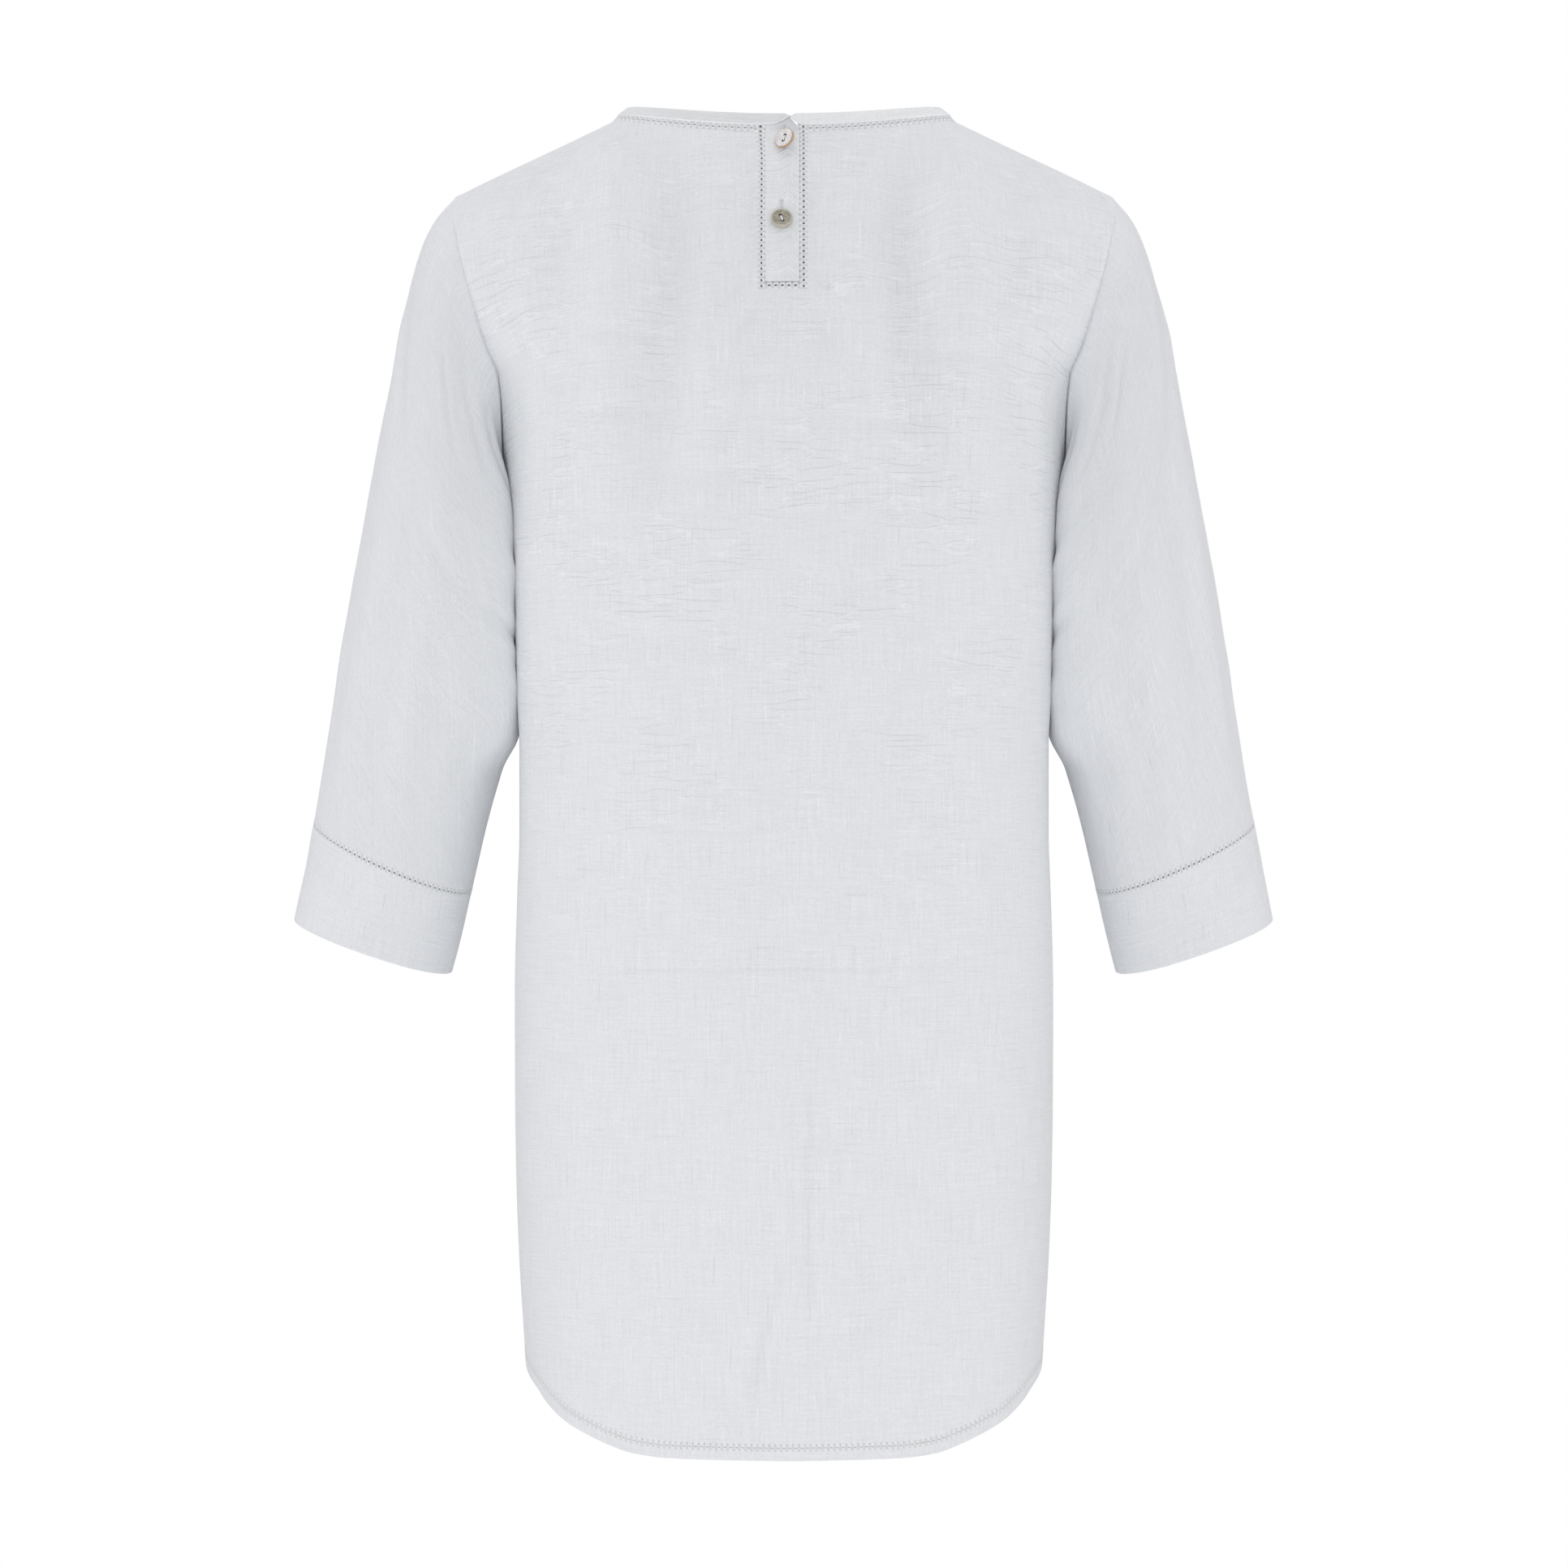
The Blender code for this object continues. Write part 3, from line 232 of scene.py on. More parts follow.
# Places of the panels' creases are X and Z; ridges have a negative depth
BACK_CREASES = (
    Crease(-0.099, 0.004, -0.108, -0.260, 0.003, 0.0175, -0.0048),
    Crease(-0.064, 0.000, -0.071, -0.255, 0.003, 0.0155, 0.0045),
    Crease(-0.038, -0.022, -0.042, -0.190, 0.002, 0.0110, -0.0014),
    Crease(0.104, 0.006, 0.112, -0.250, -0.003, 0.0175, -0.0048),
    Crease(0.069, 0.002, 0.076, -0.246, -0.003, 0.0155, 0.0046),
    Crease(0.040, -0.022, 0.044, -0.180, -0.002, 0.0110, -0.0014),
    Crease(-0.0190, -0.014, -0.0186, -0.114, 0.000, 0.0046, 0.0010),
    Crease(0.0178, -0.014, 0.0174, -0.114, 0.000, 0.0046, 0.0010),
    Crease(-0.132, -0.060, -0.140, -0.215, 0.002, 0.0110, 0.0008),
    Crease(0.136, -0.060, 0.143, -0.210, -0.002, 0.0110, 0.0009),
    Crease(-0.156, -0.125, -0.151, -0.215, -0.002, 0.0075, 0.0011),
    Crease(0.157, -0.120, 0.152, -0.215, 0.002, 0.0075, 0.0011),
    Crease(-0.016, -0.020, -0.046, -0.034, 0.002, 0.0036, 0.0009),
    Crease(-0.017, -0.027, -0.038, -0.052, 0.003, 0.0034, 0.0008),
    Crease(-0.017, -0.056, -0.056, -0.062, -0.002, 0.0034, 0.0009),
    Crease(-0.018, -0.068, -0.044, -0.079, -0.002, 0.0036, 0.0008),
    Crease(-0.018, -0.082, -0.060, -0.102, 0.003, 0.0042, 0.0008),
    Crease(-0.018, -0.096, -0.048, -0.120, 0.003, 0.0040, 0.0008),
    Crease(0.016, -0.022, 0.044, -0.040, -0.002, 0.0036, 0.0008),
    Crease(0.016, -0.052, 0.050, -0.057, 0.002, 0.0034, 0.0009),
    Crease(0.016, -0.066, 0.046, -0.075, 0.002, 0.0036, 0.0008),
    Crease(0.016, -0.080, 0.062, -0.096, -0.003, 0.0042, 0.0008),
    Crease(0.016, -0.094, 0.044, -0.117, -0.003, 0.0040, 0.0008),
    Crease(-0.014, -0.112, -0.040, -0.140, 0.004, 0.0046, 0.0010),
    Crease(0.012, -0.112, 0.036, -0.143, -0.004, 0.0046, 0.0009),
    Crease(-0.004, -0.112, -0.012, -0.150, 0.002, 0.0050, 0.0006),
    Crease(-0.128, -0.132, -0.060, -0.141, 0.004, 0.0060, 0.0009),
    Crease(-0.050, -0.158, 0.034, -0.152, -0.004, 0.0065, 0.0009),
    Crease(0.052, -0.136, 0.132, -0.145, -0.004, 0.0060, 0.0009),
    Crease(-0.136, -0.178, -0.042, -0.186, 0.005, 0.0070, 0.0010),
    Crease(0.010, -0.182, 0.118, -0.176, -0.005, 0.0070, 0.0010),
    Crease(-0.096, -0.222, 0.012, -0.214, 0.005, 0.0080, 0.0010),
    Crease(0.036, -0.236, 0.142, -0.226, -0.004, 0.0075, 0.0009),
    Crease(-0.142, -0.262, -0.046, -0.268, 0.004, 0.0080, 0.0009),
    Crease(-0.012, -0.276, 0.096, -0.270, -0.005, 0.0085, 0.0009),
    Crease(-0.120, -0.318, -0.010, -0.312, 0.006, 0.0090, 0.0009),
    Crease(0.046, -0.322, 0.146, -0.314, -0.005, 0.0085, 0.0008),
    Crease(0.148, -0.098, 0.176, -0.112, 0.002, 0.0042, 0.0009),
    Crease(0.140, -0.118, 0.168, -0.130, 0.002, 0.0044, 0.0009),
    Crease(-0.178, -0.098, -0.150, -0.088, 0.002, 0.0042, 0.0009),
    Crease(-0.168, -0.128, -0.138, -0.114, 0.002, 0.0044, 0.0009),
    Crease(-0.146, -0.4985, 0.145, -0.4980, 0.001, 0.0022, 0.00062),
    Crease(0.0075, -0.500, 0.0085, -0.800, 0.002, 0.0034, -0.0011),
    Crease(0.0120, -0.540, 0.0135, -0.790, -0.001, 0.0060, 0.0012),
    Crease(0.004, -0.664, -0.015, -0.768, -0.007, 0.0042, 0.0014),
    Crease(-0.082, -0.672, -0.026, -0.718, 0.006, 0.0090, 0.0015),
    Crease(0.018, -0.716, 0.080, -0.668, -0.006, 0.0095, 0.0015),
    Crease(-0.118, -0.590, -0.062, -0.650, 0.007, 0.0120, 0.0009),
    Crease(0.062, -0.640, 0.122, -0.584, 0.006, 0.0120, 0.0009),
    Crease(-0.060, -0.728, -0.012, -0.768, 0.004, 0.0080, 0.0009),
    Crease(0.018, -0.770, 0.064, -0.736, 0.004, 0.0080, 0.0008),
    Crease(-0.132, -0.380, -0.126, -0.520, 0.005, 0.0130, 0.0009),
    Crease(0.130, -0.400, 0.134, -0.540, -0.004, 0.0130, 0.0009),
)

FRONT_CREASES = (
    Crease(-0.066, -0.075, -0.050, -0.150, 0.004, 0.0070, 0.0008),
    Crease(0.064, -0.078, 0.052, -0.146, -0.004, 0.0070, 0.0008),
    Crease(-0.030, -0.088, -0.062, -0.128, 0.004, 0.0060, 0.0006),
    Crease(0.034, -0.088, 0.070, -0.132, -0.004, 0.0060, 0.0006),
    Crease(-0.120, -0.060, -0.104, -0.200, 0.006, 0.0120, 0.0012),
    Crease(0.122, -0.062, 0.108, -0.196, -0.006, 0.0120, 0.0012),
    Crease(-0.166, -0.110, -0.132, -0.132, 0.003, 0.0050, 0.0008),
    Crease(0.166, -0.112, 0.130, -0.136, -0.003, 0.0050, 0.0008),
    Crease(-0.158, -0.150, -0.118, -0.182, 0.004, 0.0060, 0.0009),
    Crease(0.158, -0.148, 0.116, -0.178, -0.004, 0.0060, 0.0009),
    Crease(-0.150, -0.236, -0.070, -0.214, 0.006, 0.0085, 0.0010),
    Crease(0.150, -0.242, 0.074, -0.216, -0.006, 0.0085, 0.0010),
    Crease(-0.086, -0.262, 0.020, -0.258, 0.005, 0.0080, 0.0006),
    Crease(0.036, -0.276, 0.132, -0.284, -0.004, 0.0080, 0.0006),
    Crease(-0.140, -0.300, -0.048, -0.312, 0.006, 0.0090, 0.0008),
    Crease(-0.010, -0.330, 0.100, -0.322, 0.006, 0.0090, 0.0007),
    Crease(-0.132, -0.360, -0.030, -0.352, -0.005, 0.0100, 0.0007),
    Crease(0.040, -0.372, 0.140, -0.360, 0.005, 0.0100, 0.0007),
    Crease(-0.128, -0.410, -0.112, -0.620, 0.008, 0.0130, 0.0012),
    Crease(0.130, -0.400, 0.116, -0.630, -0.008, 0.0130, 0.0012),
    Crease(-0.040, -0.430, -0.048, -0.690, 0.006, 0.0120, 0.0010),
    Crease(0.038, -0.450, 0.048, -0.700, -0.006, 0.0120, 0.0010),
    Crease(0.000, -0.520, -0.004, -0.756, 0.003, 0.0040, -0.0006),
    Crease(-0.140, -0.4985, 0.140, -0.4980, 0.001, 0.0022, 0.00035),
    Crease(-0.090, -0.650, -0.034, -0.700, 0.006, 0.0100, 0.0010),
    Crease(0.030, -0.706, 0.086, -0.652, 0.006, 0.0100, 0.0010),
    Crease(-0.070, -0.716, -0.024, -0.752, 0.004, 0.0080, 0.0008),
    Crease(0.022, -0.750, 0.068, -0.720, 0.004, 0.0080, 0.0008),
)

# Places of the sleeve's creases are the share round from the outer line over the back, and the
# share down from the armhole to the cuff seam, both times SLEEVE_SPAN
SLEEVE_SPAN = 0.36
SLEEVE_CREASES = (
    Crease(0.010, 0.050, 0.052, 0.150, 0.006, 0.0080, 0.0012),
    Crease(0.352, 0.046, 0.322, 0.140, 0.006, 0.0080, 0.0010),
    Crease(0.050, 0.030, 0.094, 0.086, 0.003, 0.0045, 0.0007),
    Crease(0.070, 0.024, 0.118, 0.070, 0.003, 0.0045, 0.0007),
    Crease(0.102, 0.020, 0.136, 0.062, 0.002, 0.0045, 0.0006),
    Crease(0.300, 0.026, 0.268, 0.076, 0.003, 0.0045, 0.0007),
    Crease(0.130, 0.080, 0.172, 0.150, 0.008, 0.0080, 0.0014),
    Crease(0.150, 0.050, 0.190, 0.110, 0.006, 0.0070, 0.0012),
    Crease(0.240, 0.070, 0.204, 0.140, 0.006, 0.0080, 0.0012),
    Crease(0.050, 0.140, 0.112, 0.182, 0.008, 0.0090, 0.0008),
    Crease(0.100, 0.168, 0.168, 0.196, 0.006, 0.0090, 0.0008),
    Crease(0.130, 0.205, 0.190, 0.226, 0.006, 0.0090, 0.0007),
    Crease(0.118, 0.236, 0.184, 0.262, 0.006, 0.0100, 0.0006),
    Crease(0.054, 0.130, 0.066, 0.350, 0.004, 0.0120, 0.0017),
    Crease(0.086, 0.150, 0.094, 0.350, 0.004, 0.0110, -0.0013),
    Crease(0.250, 0.160, 0.196, 0.190, 0.006, 0.0080, 0.0012),
    Crease(0.262, 0.206, 0.210, 0.240, 0.006, 0.0080, 0.0010),
    Crease(0.300, 0.120, 0.296, 0.300, 0.006, 0.0120, 0.0010),
    Crease(0.236, 0.270, 0.240, 0.350, 0.004, 0.0080, 0.0008),
    Crease(0.024, 0.240, 0.028, 0.350, 0.003, 0.0080, 0.0006),
    Crease(0.128, 0.170, 0.134, 0.350, 0.004, 0.0100, 0.0014),
)

STRIP_LEFT = -0.0105
STRIP_RIGHT = 0.0084
STRIP_TOP = (
    EdgePoint(STRIP_LEFT, 0.0048),
    EdgePoint(-0.0060, 0.0049),
    EdgePoint(-0.0012, 0.0066),
    EdgePoint(0.0030, 0.0094),
    EdgePoint(STRIP_RIGHT, 0.0026),
)
BAND_FEET = (
    EdgePoint(-0.0150, 0.0048),
    EdgePoint(-0.0108, 0.0051),
    EdgePoint(-0.0060, 0.0052),
    EdgePoint(-0.0012, 0.0071),
    EdgePoint(0.0032, 0.0099),
)
BAND_RIGHT_FEET = (
    EdgePoint(0.0043, 0.0091),
    EdgePoint(0.0090, 0.0051),
    EdgePoint(0.0138, 0.0048),
)


def ease(share: np.ndarray) -> np.ndarray:
    """Goes smoothly from 0 to 1."""
    share = np.clip(share, 0.0, 1.0)
    return share * share * (3.0 - 2.0 * share)


def mix(low, high, share):
    """Gives the value a share of the way from low to high."""
    return low + (high - low) * share


def unit(vectors: np.ndarray) -> np.ndarray:
    """Gives the vectors at length 1."""
    return vectors / np.maximum(np.linalg.norm(vectors, axis=-1, keepdims=True), 1e-12)


def grid_uv(u: np.ndarray, v: np.ndarray) -> np.ndarray:
    """Puts two grids of lengths together as weave coordinates."""
    return np.stack(np.broadcast_arrays(u, v), axis=-1)


def spline_weights(knots: np.ndarray, at: np.ndarray) -> np.ndarray:
    """Gives the matrix that takes values at the knots to a natural cubic spline's values.

    Args:
        knots: The rising places of the known values.
        at: The places to read.

    Returns:
        One row of weights for each place.
    """
    count = len(knots)
    gaps = np.diff(knots)
    system = np.eye(count)
    right = np.zeros((count, count))
    for i in range(1, count - 1):
        system[i, i - 1:i + 2] = gaps[i - 1], 2 * (gaps[i - 1] + gaps[i]), gaps[i]
        right[i, i - 1:i + 2] = 6 / gaps[i - 1], -6 / gaps[i - 1] - 6 / gaps[i], 6 / gaps[i]
    bends = np.linalg.solve(system, right)
    i = np.clip(np.searchsorted(knots, at, side="right") - 1, 0, count - 2)
    span = gaps[i][:, None]
    after = (at - knots[i])[:, None]
    before = (knots[i + 1] - at)[:, None]
    whole = np.eye(count)
    straight = (whole[i] * before + whole[i + 1] * after) / span
    bent_low = bends[i] * (before ** 3 / span - span * before) / 6
    bent_high = bends[i + 1] * (after ** 3 / span - span * after) / 6
    return straight + bent_low + bent_high


class Curve:
    """A smooth curve through a table's rows, without overshoot."""

    def __init__(self, places: Sequence[float], values: Sequence[float]) -> None:
        """Sorts the rows and works out a slope at each.

        Args:
            places: Where each value is known.
            values: The known values.
        """
        order = np.argsort(places)
        self.places = np.asarray(places, float)[order]
        self.values = np.asarray(values, float)[order]
        steps = np.diff(self.values) / np.diff(self.places)
        before, after = steps[:-1], steps[1:]
        turning = before * after <= 0.0
        total = np.where(turning, 1.0, before + after)
        inner = np.where(turning, 0.0, 2.0 * before * after / total)
        self.slopes = np.concatenate([steps[:1], inner, steps[-1:]])

    def __call__(self, at: np.ndarray) -> np.ndarray:
        """Reads the curve, held level past its ends."""
        at = np.clip(at, self.places[0], self.places[-1])
        last = len(self.places) - 2
        i = np.clip(np.searchsorted(self.places, at, side="right") - 1, 0, last)
        span = self.places[i + 1] - self.places[i]
        t = (at - self.places[i]) / span
        start = (1 + 2 * t) * (1 - t) ** 2 * self.values[i]
        start += t * (1 - t) ** 2 * span * self.slopes[i]
        end = t * t * (3 - 2 * t) * self.values[i + 1]
        end += t * t * (t - 1) * span * self.slopes[i + 1]
        return start + end


def table_curve(table: Sequence, column: str, key: str = "z") -> Curve:
    """Makes a curve of one column of a table."""
    return Curve([getattr(r, key) for r in table], [getattr(r, column) for r in table])


@dataclass
class CreaseField:
    """The height that creases and unevenness give a cloth, read at places in its plane.

    Attributes:
        creases: The listed creases.
        seed: Chooses the uneven ground.
        uneven: Height of the uneven ground.
        grain: Size of its lumps, along both directions of the plane.
        strength: Multiplies the creases' depths.
    """

    creases: Sequence[Crease]
    seed: int
    uneven: float = 0.0007
    grain: tuple[float, float] = (0.052, 0.034)
    strength: float = 1.6

    def ground(self, a: np.ndarray, b: np.ndarray) -> np.ndarray:
        """Gives smooth uneven ground from three turned layers of lumps."""
        chosen = np.random.default_rng(self.seed).uniform(-1.0, 1.0, (3, 64, 64))
        total = np.zeros(np.broadcast(a, b).shape)
        for layer, (turn, size, share) in enumerate(((0.3, 1.0, 1.0), (-0.5, 0.55, 0.45), (1.1, 0.3, 0.16))):
            p = (a * math.cos(turn) + b * math.sin(turn)) / (self.grain[0] * size) + 19.3
            q = (b * math.cos(turn) - a * math.sin(turn)) / (self.grain[1] * size) + 27.7
            i, j = np.floor(p).astype(int), np.floor(q).astype(int)
            s, t = ease(p - i), ease(q - j)
            values = chosen[layer]
            low = mix(values[i % 64, j % 64], values[(i + 1) % 64, j % 64], s)
            high = mix(values[i % 64, (j + 1) % 64], values[(i + 1) % 64, (j + 1) % 64], s)
            total += share * mix(low, high, t)
        return total * self.uneven

    def one(self, crease: Crease, a: np.ndarray, b: np.ndarray) -> np.ndarray:
        """Gives one crease's height: a trough with a soft shoulder on each side."""
        run = np.array([crease.a1 - crease.a0, crease.b1 - crease.b0])
        length = float(np.hypot(*run))
        run /= length
        along = ((a - crease.a0) * run[0] + (b - crease.b0) * run[1]) / length
        off = -(a - crease.a0) * run[1] + (b - crease.b0) * run[0]
        inside = np.clip(along, 0.0, 1.0)
        off = off - crease.bow * 4.0 * inside * (1.0 - inside)
        taper = np.sin(np.pi * inside ** 0.85) ** 1.2
        width = crease.width * (0.75 + 0.5 * np.abs(inside - 0.5))
        trough = np.exp(-(off / width) ** 2)
        shoulder = np.exp(-((np.abs(off) / width - 1.9) / 0.8) ** 2)
        return self.strength * crease.depth * taper * (0.32 * shoulder - trough)

    def height(self, a: np.ndarray, b: np.ndarray) -> np.ndarray:
        """Gives the whole height, outward from the cloth's own form."""
        total = self.ground(a, b)
        for crease in self.creases:
            total = total + self.one(crease, a, b)
        return total


@dataclass(frozen=True)
class BodySizes:
    """The body's own sizes: neck, shoulders, hem, and how the cloth falls."""

    cloth: float = 0.0012
    seam_gap: float = 0.0003
    trim_width: float = 0.0048
    neck_band_width: float = 0.0067
    hem_band_width: float = 0.0048
    neck_half: float = 0.1012
    neck_side_z: float = -0.0005
    back_neck_y: float = -0.050
    back_neck_z: float = -0.0116
    front_neck_y: float = 0.076
    front_neck_z: float = -0.080
    shoulder_x: float = 0.1930
    shoulder_z: float = -0.0447
    shoulder_drop_at_tip: float = 0.0022
    shoulder_sag: float = 0.0008
    underarm_z: float = -0.240
    roundness: float = 2.5
    lean_back: float = 0.30
    lean_front: float = 0.58
    lean_side: float = 0.73
    lean_depth_back: float = 0.055
    lean_depth_front: float = 0.080
    back_fall: tuple[float, float] = (0.150, 0.105)
    front_fall: tuple[float, float] = (0.170, 0.130)
    turn: tuple[float, float] = (1.25, 1.75)
    shoulder_blend_x: float = 0.130
    hem_side_z: float = -0.7312
    back_hem_drop: float = 0.0470
    front_hem_drop: float = 0.0360
    slit_left: float = -0.0152
    slit_right: float = 0.0138
    slit_lean: float = 0.0028
    slit_lean_depth: float = 0.030


class BodyForm:
    """The hollow body's form, worked out from its sizes: the same one as the solids have."""

    SHARES = np.array([0.0, 0.062, 0.150, 0.240, 0.325, 0.410, 0.490, 0.580, 0.670, 0.760, 0.845, 0.925, 1.0])
    UPPER_ROWS = np.array([0.0, 0.055, 0.130, 0.215, 0.315, 0.420, 0.510, 0.605, 0.700, 0.795, 0.880, 0.945, 1.0])
    NECK_SHARE = 0.490
    SLIT_SHARE = 0.062
    SLIT_FADE_SHARE = 0.150
    SLIT_DOWN = 0.420
    SLIT_FADE_DOWN = 0.510
    SMOOTHING_ROUNDS = 24
    SECTION_STEPS = 256

    def __init__(self, sizes: BodySizes) -> None:
        """Makes the curves of the tables.

        Args:
            sizes: The body's sizes.
        """
        self.sizes = sizes
        self.depth = {Side.BACK: table_curve(DEPTHS, "back"), Side.FRONT: table_curve(DEPTHS, "front")}
        self.armhole = {
            Side.BACK: table_curve(ARMHOLES, "x_back"),
            Side.FRONT: table_curve(ARMHOLES, "x_front"),
        }
        self.armhole_share = {
            Side.BACK: table_curve(ARMHOLES, "share_back"),
            Side.FRONT: table_curve(ARMHOLES, "share_front"),
        }
        self.half_width = table_curve(HALF_WIDTHS, "half_width")
        self.hem_drop = table_curve(HEM_CURVE, "drop", key="reach")
        self.creases = {
            Side.BACK: CreaseField(BACK_CREASES, seed=11),
            Side.FRONT: CreaseField(FRONT_CREASES, seed=12, uneven=0.0010),
        }
        self.eased = {side: self.corner_easing(side) for side in Side}

    @property
    def slit_bottom_z(self) -> float:
        """Gives the height of the placket slit's foot."""
        return mix(self.sizes.back_neck_z, self.sizes.underarm_z, self.SLIT_DOWN)

    @property
    def strip_bottom_z(self) -> float:
        """Gives the height of the buttoned strip's foot."""
        return self.slit_bottom_z + 0.0046

    def neck(self, side: Side, x: np.ndarray) -> tuple[np.ndarray, np.ndarray]:
        """Gives the neck edge line's depth and height at x."""
        size = self.sizes
        cosine = np.sqrt(np.maximum(1.0 - (x / size.neck_half) ** 2, 0.0))
        if side is Side.BACK:
            return size.back_neck_y * cosine, mix(size.neck_side_z, size.back_neck_z, cosine ** 2)
        return size.front_neck_y * cosine, mix(size.neck_side_z, size.front_neck_z, cosine)

    def top_edge(self, side: Side, x: np.ndarray) -> tuple[np.ndarray, np.ndarray]:
        """Gives the panel's top edge at x, on the neck or on the shoulder seam."""
        size = self.sizes
        x = np.abs(x)
        neck_y, neck_z = self.neck(side, np.minimum(x, size.neck_half))
        along = (x - size.neck_half) / (size.shoulder_x - size.neck_half)
        straight = mix(size.neck_side_z, size.shoulder_z + size.shoulder_drop_at_tip, along)
        sag = size.shoulder_sag * np.sin(np.pi * along)
        shoulder_z = straight - size.shoulder_drop_at_tip * along ** 4 - sag
        on_neck = x < size.neck_half
        return np.where(on_neck, neck_y, 0.0), np.where(on_neck, neck_z, shoulder_z)

    def full_half_width(self, side: Side, z: np.ndarray) -> np.ndarray:
        """Gives the half width of the whole body section, which the armhole cuts at the side."""
        power = self.sizes.roundness
        share = self.armhole_share[side](z)
        above = self.armhole[side](z) / (1.0 - share ** power) ** (1.0 / power)
        return np.where(z <= self.sizes.underarm_z, self.half_width(z), above)

    def drape(self, side: Side, x: np.ndarray, z: np.ndarray) -> np.ndarray:
        """Gives how far the broad drapes take the cloth in."""
        total = np.zeros(np.broadcast(x, z).shape)
        for drape in DRAPES:
            if drape.side is side:
                along = np.clip((drape.z_top - z) / (drape.z_top - drape.z_bottom), 0.0, 1.0)
                across = np.exp(-((x - drape.x) / drape.width) ** 2)
                total += drape.depth * across * np.sin(np.pi * along) ** 0.8
        to_side = np.minimum(np.abs(x) / self.full_half_width(side, z), 1.0)
        return total * (1.0 - to_side ** 6)

    def panel_y(self, side: Side, x: np.ndarray, z: np.ndarray) -> np.ndarray:
        """Gives the middle surface's Y at a place on the upper body, seen straight on."""
        size = self.sizes
        reach = np.minimum(np.abs(x) / self.full_half_width(side, z), 1.0)
        full = self.depth[side](z) * (1.0 - reach ** size.roundness) ** (1.0 / size.roundness)
        full = side.value * (full - self.drape(side, x, z))
        top_y, top_z = self.top_edge(side, x)
        toward = ease(np.abs(x) / size.shoulder_blend_x)
        falls = size.back_fall if side is Side.BACK else size.front_fall
        turn = mix(size.turn[0], size.turn[1], toward)
        down = np.clip((top_z - z) / mix(falls[0], falls[1], toward), 0.0, 1.0)
        fullness = (1.0 - (1.0 - down) ** turn) ** (1.0 / turn)
        return mix(top_y, full, fullness)

    def section(self, side: Side, z: float) -> tuple[np.ndarray, np.ndarray, np.ndarray]:
        """Gives a section's line from centre to side: X, Y and the length along it."""
        half = float(self.full_half_width(side, np.array(z)))
        depth = float(self.depth[side](np.array(z)))
        angle = np.linspace(0.0, np.pi / 2, self.SECTION_STEPS + 1)
        power = 2.0 / self.sizes.roundness
        x = half * np.sin(angle) ** power
        y = depth * np.maximum(np.cos(angle), 0.0) ** power
        lengths = np.concatenate([[0.0], np.cumsum(np.hypot(np.diff(x), np.diff(y)))])
        return x, side.value * y, lengths

    def slit_edge_x(self, sign: int, z: np.ndarray) -> np.ndarray:
        """Gives the slit's side at a height: the left one leans out towards the neck."""
        size = self.sizes
        lean = ease(1.0 - np.minimum(-z / size.slit_lean_depth, 1.0))
        left = size.slit_left - size.slit_lean * lean
        return np.full_like(left, size.slit_right) if sign > 0 else left

    def upper(self, side: Side, shares: np.ndarray, downs: np.ndarray) -> np.ndarray:
        """Gives points of the upper body on a grid.

        Args:
            side: The panel.
            shares: Signed shares of the way from centre to side, one for each column.
            downs: Shares of the way from the top edge to the underarm, one for each row.

        Returns:
            The points, rows by columns by 3.
        """
        size = self.sizes
        sign = np.sign(shares)
        far = np.abs(shares)
        on_neck = size.neck_half * np.sin(np.pi / 2 * np.minimum(far / self.NECK_SHARE, 1.0))
        past = (far - self.NECK_SHARE) / (1.0 - self.NECK_SHARE)
        start_x = np.where(far <= self.NECK_SHARE, on_neck, mix(size.neck_half, size.shoulder_x, past))
        start_z = self.top_edge(side, start_x)[1]
        section_x, _, lengths = self.section(side, size.underarm_z)
        end_x = np.interp(far * lengths[-1], lengths, section_x)
        down = downs[:, None]
        edge_x = self.armhole[side](mix(size.shoulder_z, size.underarm_z, down))
        z = mix(start_z[None, :], size.underarm_z, down)
        end_half = float(self.armhole[side](np.array(size.underarm_z)))
        x = mix(start_x / size.shoulder_x, end_x / end_half, down) * edge_x * sign
        if side is Side.BACK:
            x, z = self.part_for_slit(shares, down, x, z)
        y = self.panel_y(side, x, z)
        return np.stack([x, y, z], axis=-1)

    def part_for_slit(self, shares, down, x, z):
        """Moves the columns beside the slit to its sides, and eases the rest of the way off."""
        size = self.sizes
        far = np.abs(shares)
        inner = far / self.SLIT_SHARE
        outer = (self.SLIT_FADE_SHARE - far) / (self.SLIT_FADE_SHARE - self.SLIT_SHARE)
        near = np.clip(np.minimum(inner, outer), 0.0, 1.0)[None, :]
        fade = 1.0 - ease((down - self.SLIT_DOWN) / (self.SLIT_FADE_DOWN - self.SLIT_DOWN))
        column = int(np.argmin(np.abs(shares - self.SLIT_SHARE)))
        natural = np.abs(x[:, column])[:, None]
        left = -self.slit_edge_x(-1, z)
        right = self.slit_edge_x(1, z)
        wanted = np.where(shares[None, :] < 0, left, right)
        shift = (wanted - natural) * near * fade
        x = x + np.sign(shares)[None, :] * shift
        top_z = self.top_edge(Side.BACK, x)[1]
        held = near * fade
        return x, mix(z, mix(top_z, size.underarm_z, down), held)

